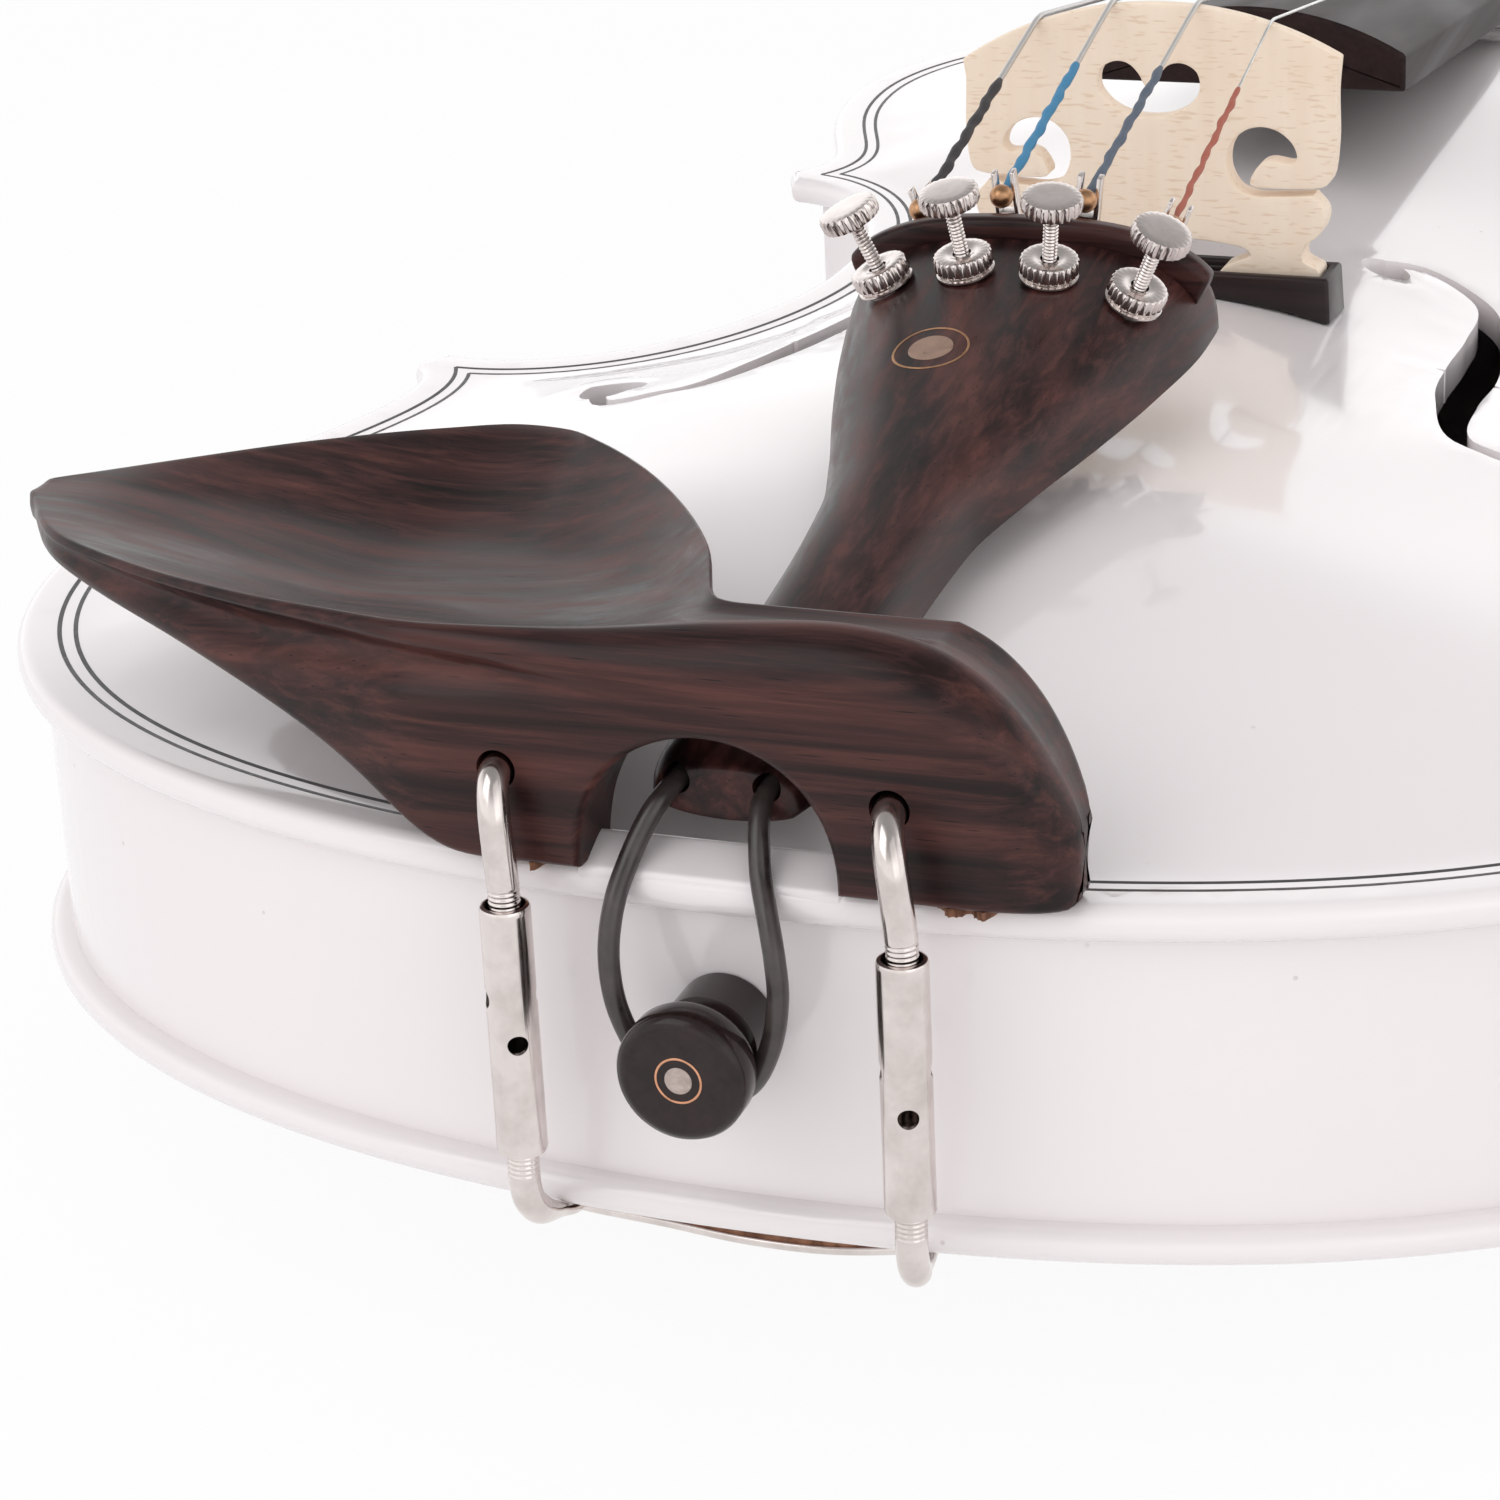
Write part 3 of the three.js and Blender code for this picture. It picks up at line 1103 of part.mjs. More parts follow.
const barrelBottom = clamp.barrelTop - clamp.barrelLength;
const footTop = backBottom - clamp.footDrop;
const footBottom = footTop - clamp.footThick;

// The bend of a hook: shares of the way across and out to the post, and drops in bends
const hookShares = [[0, 0, 0], [0.25, 0.55, 0.08], [0.6, 0.9, 1], [0.85, 1, 2.4]];

function hookSolid({ holeX, x, y }) {
  const { rearY } = chinrest;
  const end = clamp.barrelTop - clamp.rodInBarrel;
  const bends = hookShares.map(([across, out, drop]) => [
    THREE.MathUtils.lerp(holeX, x, across),
    THREE.MathUtils.lerp(rearY + overrun, y, out),
    clamp.holeZ - clamp.bend * drop,
  ]);
  return cord([
    [holeX, rearY + chinrest.hookHoleDepth - clamp.hookEndGap, clamp.holeZ], ...bends,
    [x, y, clamp.barrelTop + clamp.rodRadius], [x, y, end + clamp.rodRadius], [x, y, end],
  ], clamp.rodRadius, steps.hook, sides.rod);
}

function barrelSolid() {
  const { barrelRadius, boreRadius, barrelTop, chamfer, keyRadius } = clamp;
  const tube = turned([
    [boreRadius, barrelBottom], [barrelRadius - chamfer, barrelBottom], [barrelRadius, barrelBottom + chamfer],
    [barrelRadius, barrelTop - chamfer], [barrelRadius - chamfer, barrelTop], [boreRadius, barrelTop],
    [boreRadius, barrelBottom],
  ], sides.turned);
  const reach = barrelRadius + overrun;
  const key = (axis, depth) => rod(axis, keyRadius, -reach, reach, sides.pin)
    .rotateZ(radians(clamp.keyTurnDegrees)).translate(0, 0, -depth);
  return cut(tube, key('y', clamp.keyLow), key('x', clamp.keyHigh));
}

// The bend of a bracket leg: shares of the post's x, and bends along y and up z
const legShares = [[1, 0, 2], [0.99, 0.25, 0.8], [0.96, 1, 0.05]];
const legEndShare = 0.9;

function bracketSolid() {
  const { bend, footHalf, footStart, footEnd, rodRadius } = clamp;
  const level = (footTop + footBottom) / 2;
  const legs = clampPosts.map(({ x, y }) => cord([
    [x, y, barrelBottom + clamp.rodInBarrel], [x, y, barrelBottom],
    ...legShares.map(([out, inward, up]) => [x * out, y + bend * inward, level + bend * up]),
    [x * legEndShare, footStart + bend / 2, level], [x * legEndShare, footStart + bend, level],
  ], rodRadius, steps.leg, sides.rod));
  const plate = box(-footHalf, footHalf, footStart, footEnd, footBottom, footTop);
  const clear = box(-footHalf, footHalf, footStart - overrun, footEnd, footTop, backBottom);
  return cut(join(plate, ...legs), clear);
}

// Assembly: body

const tailHoleEnd = insideRibs + endBlock.depth + overrun;
const tailHole = rod('y', endButton.shankRadius + fitGap, 0, tailHoleEnd, sides.button)
  .translate(0, 0, endButton.z);
const neckRoot = box(
  -neck.rootHalf - fitGap, neck.rootHalf + fitGap, bodyLength - neck.rootDepth - fitGap, bodyLength + overrun,
  ribBottom, neck.overstand + overrun);
const saddleCut = box(
  saddle.offset - saddle.half - fitGap, saddle.offset + saddle.half + fitGap, -overrun,
  saddle.front + saddle.depth + fitGap, ribTop - overrun, saddle.top);
const buttonDisc = rod('z', backButton.radius, backBottom, ribBottom, sides.button)
  .translate(0, bodyLength, 0);

const soundHoles = [soundHoleCut(1), soundHoleCut(-1)];
piece('top_plate', cut(bellyBlank, bellyHollow, ...soundHoles, neckRoot, saddleCut), 'lacquer');
piece('back_plate', cut(join(backBlank, buttonDisc), backHollow), 'lacquer');
[['bass', -1], ['treble', 1]].forEach(([name, side]) => {
  const { boutReach, waistReach } = cornerBlock;
  piece(`lower_rib_${name}`, cut(ribWall('lower', side), tailHole), 'lacquer');
  piece(`waist_rib_${name}`, ribWall('waist', side), 'lacquer');
  piece(`upper_rib_${name}`, ribWall('upper', side), 'lacquer');
  const lowerBlock = cornerBlockSolid(lowerCurves, waistCurves, boutReach, waistReach, side);
  const upperBlock = cornerBlockSolid(waistCurves, upperCurves, waistReach, boutReach, side);
  piece(`lower_corner_block_${name}`, lowerBlock, 'spruce');
  piece(`upper_corner_block_${name}`, upperBlock, 'spruce');
});
piece('lower_block', cut(endBlockSolid(lowerCurves, true), tailHole), 'spruce');
piece('upper_block', cut(endBlockSolid(upperCurves, false), neckRoot), 'spruce');
piece('top_linings', cut(liningRing(ribTop - lining.height, ribTop, 0), neckRoot), 'spruce');
piece('back_linings', cut(liningRing(ribBottom, ribBottom + lining.height, 0), neckRoot), 'spruce');

// The space inside the body, a gap clear of both plates
function clearCavity() {
  const outline = insetRing(belly.glueMargin, 0, () => 0).map((p) => point(p.x, p.y));
  const core = extruded(new THREE.Shape(outline), rib.height - fitGap - fitGap)
    .translate(0, 0, ribBottom + fitGap);
  return join(core, moved(bellyHollow, 0, 0, -fitGap), moved(backHollow, 0, 0, fitGap));
}
const cavity = clearCavity();
const postBlank = rod('z', soundPost.radius, backBottom - back.arch, belly.arch, sides.turned);
piece('sound_post', common(postBlank.translate(soundPost.x, soundPost.y, 0), cavity), 'spruce');

const bassBarShares = [0, 0.2, 0.4, 0.6, 0.8, 1];

function bassBarSolid() {
  const { x, width, start, end, endHeight, height } = bassBar;
  const under = bassBarShares.map((share) => {
    const y = THREE.MathUtils.lerp(start, end, share);
    const depth = THREE.MathUtils.lerp(endHeight, height, Math.sin(share * Math.PI));
    return [y, bellyInside(x, y) - depth];
  });
  const slab = sideSlab([...under, [end, belly.arch], [start, belly.arch]], width / 2);
  return common(slab.translate(x, 0, 0), cavity);
}
piece('bass_bar', bassBarSolid(), 'spruce');

// Assembly: neck, fingerboard, nut and pegs

piece('neck', neckSolid(), 'lacquer');
const boardRings = [fingerboard.endY, bodyLength, nutY - fitGap].map((y) => boardRing(y, boardHalf(y), 0));
piece('fingerboard', loft(boardRings), 'ebony');
piece('nut', loft([nutY, nutY + nut.length].map((y) => boardRing(y, neck.nutHalf, nut.rise))), 'ebony');
pegPlaces.forEach((place) => {
  const [y, z] = pegboxPoint(place.along, -peg.depth);
  piece(`peg_${place.name}`, pegSolid(place), 'rosewood').position.set(0, y, z);
});

// Assembly: bridge, tailpiece, tuners and strings

piece('bridge', bridgeSolid(), 'maple');
piece('bridge_bar', bridgeBarSolid(), 'ebony');
const tunerHoles = tunerFrames.map((frame) => (
  rod('z', tuner.stemRadius + fitGap, -tuner.stemBottom - overrun, overrun, sides.turned)
    .applyMatrix4(frame.matrixWorld)));
const gutHoles = [gutRoute[0], gutRoute[gutRoute.length - 1]].map(([x, , z]) => (
  rod('y', gut.holeRadius, tailpiece.start - overrun, tailpiece.start + gut.holeDepth, sides.bore)
    .translate(x, 0, z)));
const tailpieceRings = tailpieceShares.map(([share]) => (
  tailpieceRing(tailpiece.start + share * tailpieceLength)));
piece('tailpiece', cut(loft(tailpieceRings), fretSolid(fitGap), ...tunerHoles, ...gutHoles), 'rosewood');
piece('tailpiece_fret', fretSolid(0), 'ebony');
tunerFrames.forEach((frame, i) => {
  const { name } = stringLanes[i];
  piece(`tuner_body_${name}`, tunerBodySolid(), 'nickel', frame);
  piece(`tuner_screw_${name}`, tunerScrewSolid(), 'nickel', frame);
  piece(`tuner_lever_${name}`, tunerLeverSolid(), 'nickel', frame);
});
stringLanes.forEach((lane, order) => piece(`string_${lane.name}`, stringSolid(lane, order), 'steel'));

// Assembly: end button, saddle and tail gut

piece('end_button', endButtonSolid(), 'ebony');
piece('saddle', saddleSolid(), 'lacquer');
piece('tail_gut', cord(gutRoute, gut.radius, steps.gut, sides.cord), 'plastic');

// Assembly: chinrest and its clamp

piece('chinrest', chinrestSolid(), 'rosewood');
const corkPlaces = [
  ['bass', cork.bassStart, chinrest.archX - chinrest.archHalf - cork.archInset],
  ['treble', chinrest.archX + chinrest.archHalf + cork.archInset, cork.trebleEnd],
];
corkPlaces.forEach(([name, low, high]) => {
  const { rearY, footZ } = chinrest;
  const pad = box(low, high, rearY + fitGap, rearY + cork.depth, restGap, footZ - restGap);
  piece(`chinrest_cork_${name}`, cut(pad, moved(bellyBlank, 0, 0, restGap), saddleCut), 'cork');
});
clampPosts.forEach((post) => {
  piece(`clamp_hook_${post.name}`, hookSolid(post), 'nickel');
  piece(`clamp_barrel_${post.name}`, barrelSolid(), 'nickel').position.set(post.x, post.y, 0);
});
piece('clamp_bracket', bracketSolid(), 'nickel');
const footPad = box(
  -cork.footHalf, cork.footHalf, clamp.footStart + cork.footSetback, clamp.footEnd,
  footTop, backBottom - restGap);
piece('clamp_cork', cut(footPad, moved(backBlank, 0, 0, -restGap)), 'cork');

// The finished part stands with its origin under the middle of its box
const extent = new THREE.Box3().setFromObject(violin, true);
const centre = extent.getCenter(new THREE.Vector3());
violin.position.set(-centre.x, -centre.y, -extent.min.z);

export default violin;
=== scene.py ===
"""Looks of a white full-size violin with dark fittings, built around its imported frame.

Every sub-assembly is a class whose fields are its sizes in millimetres, in the violin's
own drawing frame: x to the treble side, y from the tail to the scroll, z up from the
upper face of the belly's edge at the tail. Finished pieces are placed in the row frame.
"""

import logging
import math
from dataclasses import dataclass, field
from enum import Enum
from typing import Callable, Optional, Sequence

import bmesh
import bpy
import numpy as np
from mathutils import Matrix, Vector, geometry


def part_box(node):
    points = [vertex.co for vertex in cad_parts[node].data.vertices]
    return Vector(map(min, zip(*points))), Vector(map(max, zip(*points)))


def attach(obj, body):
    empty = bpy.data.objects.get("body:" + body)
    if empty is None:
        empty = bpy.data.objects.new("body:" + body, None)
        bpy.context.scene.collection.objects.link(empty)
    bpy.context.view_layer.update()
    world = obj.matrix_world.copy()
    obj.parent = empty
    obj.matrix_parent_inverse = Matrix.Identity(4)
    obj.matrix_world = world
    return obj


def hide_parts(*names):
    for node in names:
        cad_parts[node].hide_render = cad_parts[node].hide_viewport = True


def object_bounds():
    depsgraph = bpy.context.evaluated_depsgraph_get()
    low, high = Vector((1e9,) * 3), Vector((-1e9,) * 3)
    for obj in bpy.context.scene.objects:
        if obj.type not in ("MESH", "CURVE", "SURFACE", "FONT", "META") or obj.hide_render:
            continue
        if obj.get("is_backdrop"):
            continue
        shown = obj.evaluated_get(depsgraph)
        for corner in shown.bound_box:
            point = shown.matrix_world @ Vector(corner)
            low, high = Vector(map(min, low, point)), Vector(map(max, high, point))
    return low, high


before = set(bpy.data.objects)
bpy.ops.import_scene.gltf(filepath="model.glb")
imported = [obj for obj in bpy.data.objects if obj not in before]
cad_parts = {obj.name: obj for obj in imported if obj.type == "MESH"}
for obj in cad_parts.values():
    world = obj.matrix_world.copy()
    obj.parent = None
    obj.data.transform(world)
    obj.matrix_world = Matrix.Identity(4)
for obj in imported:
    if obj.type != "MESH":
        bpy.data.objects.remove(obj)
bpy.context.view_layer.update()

Array = np.ndarray
Number = float | Array
Table = Sequence[Sequence[float]]
Height = Callable[[Array], Array]
Material = bpy.types.Material
Object = bpy.types.Object
Socket = bpy.types.NodeSocket
Wardrobe = dict[str, Material]
LOG = logging.getLogger("violin")
MM = 0.001
MAIN_BODY = "violin_body"

BELLY_EDGE = 3.8
RIB_HEIGHT = 30.0
RIB_TOP = -BELLY_EDGE
RIB_BOTTOM = RIB_TOP - RIB_HEIGHT
BACK_EDGE = 3.5
BACK_BOTTOM = RIB_BOTTOM - BACK_EDGE
BODY_LENGTH = 356.0
BRIDGE_Y = 157.5
NUT_Y = 486.0
GAP = 0.3
BATCH = 1500
READINGS = 7
SPANS = 24
MOST_OF_LEG = 0.45
CLEAR_SHARE = 0.55


def drawing_origin() -> Array:
    """The drawing frame's origin in the row frame, in millimetres."""
    plate_low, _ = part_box("top_plate")
    _, rib_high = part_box("lower_rib_bass")
    return np.array([0.0, plate_low.y / MM, rib_high.z / MM - RIB_TOP])


ORIGIN = drawing_origin()


# Curves and tables


def turns(count: int) -> Array:
    """Angles spread evenly round a circle."""
    return np.linspace(0, 2 * np.pi, count, endpoint=False)


def unit(rows: Array) -> Array:
    """Rows scaled to a length of one."""
    return rows / np.linalg.norm(rows, axis=-1, keepdims=True)


def lefts(line: Array) -> Array:
    """Normals of an open flat line, to the left of its travel."""
    ahead = unit(np.gradient(line, axis=0))
    return np.stack([-ahead[:, 1], ahead[:, 0]], 1)


def travelled(line: Array) -> Array:
    """How far along a line each of its places is."""
    return np.concatenate([[0], np.cumsum(np.linalg.norm(np.diff(line, axis=0), axis=1))])


def read_at(stops: Array, length: Array, line: Array) -> Array:
    """The places of a line at some lengths along it."""
    return np.stack([np.interp(stops, length, column) for column in line.T], 1)


def cubic(t: Array, start: Number, out: Number, end: Number, into: Number) -> Array:
    """A cubic by its two ends and the slopes at them, for t from 0 to 1."""
    first = (2 * t**3 - 3 * t**2 + 1) * start + (t**3 - 2 * t**2 + t) * out
    return first + (3 * t**2 - 2 * t**3) * end + (t**3 - t**2) * into


def quadratic(t: Array, start: Array, corner: Array, end: Array) -> Array:
    """A curve drawn to a corner: three points weighted (1-t)^2, 2t(1-t) and t^2."""
    return (1 - t) ** 2 * start + 2 * t * (1 - t) * corner + t**2 * end


def smooth_along(table: Table, place: Number, blur: float = 0.0) -> Array:
    """Reads a table of (place, value) pairs along a smooth line that never overshoots.

    The line is a cubic between each two pairs, whose slopes are the harmonic means of
    the slopes at both sides. With a blur, seven readings around each place are averaged.

    Args:
        table: the pairs, by rising place.
        place: where to read it.
        blur: how far to each side the averaged readings reach.

    Returns:
        The values, in the shape of place.
    """
    x, y = np.asarray(table, float).T
    step, rise = np.diff(x), np.diff(y)
    slope = rise / step
    before, after = slope[:-1], slope[1:]
    turn = before * after > 0
    safe_before, safe_after = np.where(turn, before, 1), np.where(turn, after, 1)
    heavy, light = 2 * step[1:] + step[:-1], step[1:] + 2 * step[:-1]
    inner = np.where(turn, (heavy + light) / (heavy / safe_before + light / safe_after), 0)
    slopes = np.concatenate([slope[:1], inner, slope[-1:]])
    shifts = np.linspace(-blur, blur, READINGS) if blur else np.zeros(1)
    at = np.clip(np.asarray(place, float)[..., None] + shifts, x[0], x[-1])
    i = np.clip(np.searchsorted(x, at) - 1, 0, len(step) - 1)
    t = (at - x[i]) / step[i]
    return cubic(t, y[i], step[i] * slopes[i], y[i + 1], step[i] * slopes[i + 1]).mean(-1)


def through(points: Table, samples: int, closed: bool = False) -> Array:
    """A smooth line through points: cubics whose tangents weigh both neighbours by chord.

    Args:
        points: the points, of any dimension.
        samples: how many places the line is read at, evenly by its own length.
        closed: whether the line comes back to its first point.

    Returns:
        The places, one row each; a closed line doesn't repeat its first place.
    """
    p = np.asarray(points, float)
    if closed:
        p = np.concatenate([p[-2:], p, p[:3]])
    chord = np.sqrt(np.linalg.norm(np.diff(p, axis=0), axis=1))
    pace = np.diff(p, axis=0) / chord[:, None]
    weight = (chord[:-1] / (chord[:-1] + chord[1:]))[:, None]
    inner = pace[:-1] * (1 - weight) + pace[1:] * weight
    tangents = np.concatenate([pace[:1], inner, pace[-1:]])[:, None]
    t = np.linspace(0, 1, SPANS, endpoint=False)[None, :, None]
    run = chord[:, None, None]
    line = cubic(t, p[:-1, None], run * tangents[:-1], p[1:, None], run * tangents[1:])
    if closed:
        line = line[2:-2]
    line = np.concatenate([line.reshape(-1, p.shape[1]), p[2:3] if closed else p[-1:]])
    length = travelled(line)
    return read_at(np.linspace(0, length[-1], samples, endpoint=not closed), length, line)


def bezier(corners: Sequence[Sequence[float]], steps: int) -> Array:
    """Evenly stepped places on a cubic Bezier curve, without its last end."""
    t = np.linspace(0, 1, steps, endpoint=False)[:, None]
    a, b, c, d = (np.asarray(corner, float) for corner in corners)
    return (1 - t) ** 3 * a + 3 * (1 - t) ** 2 * t * b + 3 * (1 - t) * t**2 * c + t**3 * d


def ease(share: Number) -> Array:
    """A share from 0 to 1 that starts and ends gently."""
    share = np.clip(share, 0, 1)
    return share * share * (3 - 2 * share)


def circle(x: float, y: float, radius: float, count: int = 40) -> Array:
    """A round loop, counter-clockwise."""
    turn = turns(count)
    return np.stack([x + radius * np.cos(turn), y + radius * np.sin(turn)], 1)


def rounded(corners: Table, radius: float, steps: int, closed: bool = True) -> Array:
    """A loop or an open profile whose corners are rounded.

    Each corner is replaced by a curve that leaves one leg and meets the other at most a
    radius away.

    Args:
        corners: the corners, flat.
        radius: how far from a corner the rounding starts.
        steps: spans of each curve.
        closed: whether it is a loop; a profile keeps its two ends.

    Returns:
        The rounded line's places.
    """
    p = np.asarray(corners, float)
    starts, ends = (
        p + leg * np.minimum(radius / np.linalg.norm(leg, axis=1), MOST_OF_LEG)[:, None]
        for leg in (np.roll(p, 1, 0) - p, np.roll(p, -1, 0) - p)
    )
    t = np.linspace(0, 1, steps + 1)[None, :, None]
    curves = quadratic(t, starts[:, None], p[:, None], ends[:, None])
    if closed:
        return curves.reshape(-1, 2)
    return np.concatenate([p[:1], curves[1:-1].reshape(-1, 2), p[-1:]])


def loop_normals(loop: Array) -> Array:
    """Mitred normals of a closed loop, to the left of its travel, as long as the mitre."""
    ahead = unit(np.roll(loop, -1, 0) - loop)
    left = np.stack([-ahead[:, 1], ahead[:, 0]], 1)
    both = left + np.roll(left, 1, 0)
    return 2 * both / np.maximum((both**2).sum(1), 0.8)[:, None]


def inside(points: Array, loop: Array) -> Array:
    """Whether each point lies in a closed loop, by how often a ray crosses it."""
    x, y = points[:, 0][:, None], points[:, 1][:, None]
    (x0, y0), (x1, y1) = loop.T, np.roll(loop, -1, 0).T
    spans = (y0 > y) != (y1 > y)
    flat = np.where(y1 == y0, 1, y1 - y0)
    crossing = spans & (x < (x1 - x0) * (y - y0) / flat + x0)
    return crossing.sum(1) % 2 == 1


def distance(points: Array, others: Array, looped: bool = True) -> Array:
    """The distance from each point to the nearest place on a closed loop, or of its points."""
    run = (np.roll(others, -1, 0) - others) * float(looped)
    square = np.maximum((run**2).sum(1), 1e-12)
    nearest = []
    for batch in np.split(points, range(BATCH, len(points), BATCH)):
        offset = batch[:, None] - others
        share = np.clip((offset * run).sum(2) / square, 0, 1)
        nearest.append(np.sqrt(((offset - share[..., None] * run) ** 2).sum(2).min(1)))
    return np.concatenate(nearest)


# Meshes


@dataclass
class Shell:
    """A surface as points in drawing millimetres, with its four- and three-sided faces."""

    points: Array
    quads: Array = field(default_factory=lambda: np.zeros((0, 4), int))
    tris: Array = field(default_factory=lambda: np.zeros((0, 3), int))

    def plus(self, *others: "Shell") -> "Shell":
        """This shell and others as one."""
        every = [self, *others]
        starts = np.cumsum([0] + [len(shell.points) for shell in every])
        quads = [shell.quads + start for shell, start in zip(every, starts)]
        tris = [shell.tris + start for shell, start in zip(every, starts)]
        points = np.concatenate([shell.points for shell in every])
        return Shell(points, np.concatenate(quads), np.concatenate(tris))

    def at(self, points: Array) -> "Shell":
        """The same faces on other points."""
        return Shell(points, self.quads, self.tris)

    def moved(self, x: float, y: float, z: float) -> "Shell":
        """The shell carried along by an offset."""
        return self.at(self.points + [x, y, z])

    def placed(self, matrix: Array) -> "Shell":
        """The shell moved by a 4 x 4 matrix."""
        return self.at(self.points @ matrix[:3, :3].T + matrix[:3, 3])

    def reflected(self, scale: Sequence[float] = (-1, 1, 1), height: float = 0) -> "Shell":
        """The shell on the other side of the instrument, or turned over by another scale."""
        return Shell(self.points * scale + [0, 0, height], self.quads[:, ::-1], self.tris[:, ::-1])


def skin(grid: Array, looped: bool = False, ends: Optional[tuple[Array, Array]] = None) -> Shell:
    """A closed skin through rings of points.

    Args:
        grid: rings x points x 3.
        looped: whether the last ring joins the first.
        ends: the two places that close the ends as fans, or None for the rings' middles.

    Returns:
        The shell.
    """
    rows, cols = grid.shape[:2]
    points = grid.reshape(-1, 3)
    turn = np.arange(cols)
    after = (turn + 1) % cols
    ring = np.arange(rows if looped else rows - 1)[:, None]
    below = (ring + 1) % rows * cols
    corners = [ring * cols + turn, ring * cols + after, below + after, below + turn]
    quads = np.stack(corners, -1).reshape(-1, 4)
    if looped:
        return Shell(points, quads)
    low, high = ends if ends is not None else (grid[0].mean(0), grid[-1].mean(0))
    last = (rows - 1) * cols
    near = np.stack([np.full(cols, len(points)), after, turn], 1)
    far = np.stack([np.full(cols, len(points) + 1), last + turn, last + after], 1)
    return Shell(np.concatenate([points, [low, high]]), quads, np.concatenate([near, far]))


def spun(profile: Table, sides: int, teeth: int = 0, cuts: Sequence[float] = (0,)) -> Array:
    """Rings of points about local z, one for each (radius, height) pair.

    A knurled row's radius is drawn in by its cut times the upper half of a cosine wave,
    which goes round the piece once a tooth.

    Args:
        profile: the pairs.
        sides: points in a ring.
        teeth: waves round the axis.
        cuts: how deep the wave is at each row.

    Returns:
        The rings, rows x sides x 3.
    """
    radius, height = np.asarray(profile, float).T[:, :, None]
    turn = turns(sides)
    radius = radius - np.reshape(cuts, (-1, 1)) * (0.5 - 0.5 * np.cos(teeth * turn))
    return np.stack([radius * np.cos(turn), radius * np.sin(turn), height + 0 * turn], -1)


def revolved(rings: Array) -> Shell:
    """A turned piece from rings whose first and last lie on the axis."""
    return skin(rings[1:-1], ends=(rings[0, 0], rings[-1, 0]))


def tube(path: Table, radius: Number, across: Table = (1, 0, 0), sides: int = 20) -> Shell:
    """A round tube along a path.

    Each ring lies square to the path: its first axis is the path's direction crossed
    with a chosen vector that never runs along it, its second is square to both.

    Args:
        path: places x 3.
        radius: one radius, or one for each place.
        across: the chosen vector, or one for each place.
        sides: points in a ring.

    Returns:
        The closed shell.
    """
    path = np.asarray(path, float)
    ahead = unit(np.gradient(path, axis=0))
    first = unit(np.cross(ahead, np.broadcast_to(across, path.shape)))
    second = np.cross(ahead, first)
    turn = turns(sides)[None, :, None]
    size = np.broadcast_to(radius, len(path))[:, None, None]
    return skin(path[:, None] + size * (np.cos(turn) * first[:, None] + np.sin(turn) * second[:, None]))


def block(x: tuple, y: tuple, z: tuple) -> Shell:
    """A plain box between pairs of limits."""
    ring = [(x[0], y[0]), (x[1], y[0]), (x[1], y[1]), (x[0], y[1])]
    return skin(np.array([[(a, b, level) for a, b in ring] for level in z], float))


def rod_along_y(x: float, z: float, radius: float, low: float, high: float, sides: int = 48) -> Shell:
    """A plain round rod along y."""
    return tube([[x, low, z], [x, high, z]], radius, sides=sides)


def lofted(
    section: Callable[[float], Array], stops: Array, rounding: float | tuple, across: bool = False
) -> Shell:
    """A solid through sections, with its two end rims rounded.

    At a rim the section is drawn in by r(1 - sin a) while it moves out by r(1 - cos a),
    for a from 0 on the end face to a right angle.

    Args:
        section: gives the section at a stop, a counter-clockwise flat loop.
        stops: where the sections stand.
        rounding: r, the rims' radius, or one for each end.
        across: whether the stops run along x, with sections in y and z; otherwise the
            stops run along y, with sections in x and z.

    Returns:
        The closed shell.
    """
    rims, places = [], []
    radii = rounding if isinstance(rounding, tuple) else (rounding, rounding)
    for end, way, radius in ((stops[0], 1, radii[0]), (stops[-1], -1, radii[1])):
        rim = []
        for turn in np.linspace(0, np.pi / 2, 5)[:-1]:
            place = end + way * radius * (1 - math.cos(turn))
            loop = section(place)
            rim.append((place, loop + loop_normals(loop) * radius * (1 - math.sin(turn))))
        rims.append(rim)
    inner = [stop for stop in stops if stops[0] + radii[0] <= stop <= stops[-1] - radii[1]]
    for place, loop in rims[0] + [(stop, section(stop)) for stop in inner] + rims[1][::-1]:
        level = np.full(len(loop), place)
        columns = (level, loop[:, 0], loop[:, 1]) if across else (loop[:, 0], level, loop[:, 1])
        places.append(np.column_stack(columns))
    return skin(np.stack(places))


def on_surface(
    x: float, y: float, inner: float, outer: float, top: Height, proud: float, depth: float
) -> Shell:
    """A disc or ring let into a surface: round in plan, and as high as the surface round it.

    Args:
        x: place of its middle across.
        y: place of its middle along.
        inner: inner radius, zero for a disc.
        outer: outer radius.
        top: the surface's height over flat points.
        proud: how far it stands over the surface.
        depth: how far it reaches below.

    Returns:
        The closed shell.
    """
    bevel = proud * 0.6
    rows = [(outer, -depth), (outer, proud - bevel), (outer - bevel, proud)]
    if inner:
        rows += [(inner + bevel, proud), (inner, proud - bevel), (inner, -depth)]
    else:
        rows += [(outer * share, proud) for share in (0.75, 0.5, 0.25, 0.04)]
    flats = [circle(x, y, radius, 72) for radius, _ in rows]
    rings = [np.column_stack([flat, top(flat) + lift]) for flat, (_, lift) in zip(flats, rows)]
    return skin(np.stack(rings), looped=bool(inner))


def level_at(height: float) -> Height:
    """A flat height field."""
    return lambda places: np.full(len(places), height)


def joined_ids(loops: Sequence[Array]) -> list[Array]:
    """The numbers of each loop's points once all loops are joined into one list."""
    starts = np.cumsum([0] + [len(loop) for loop in loops])
    return [start + np.arange(len(loop)) for start, loop in zip(starts, loops)]


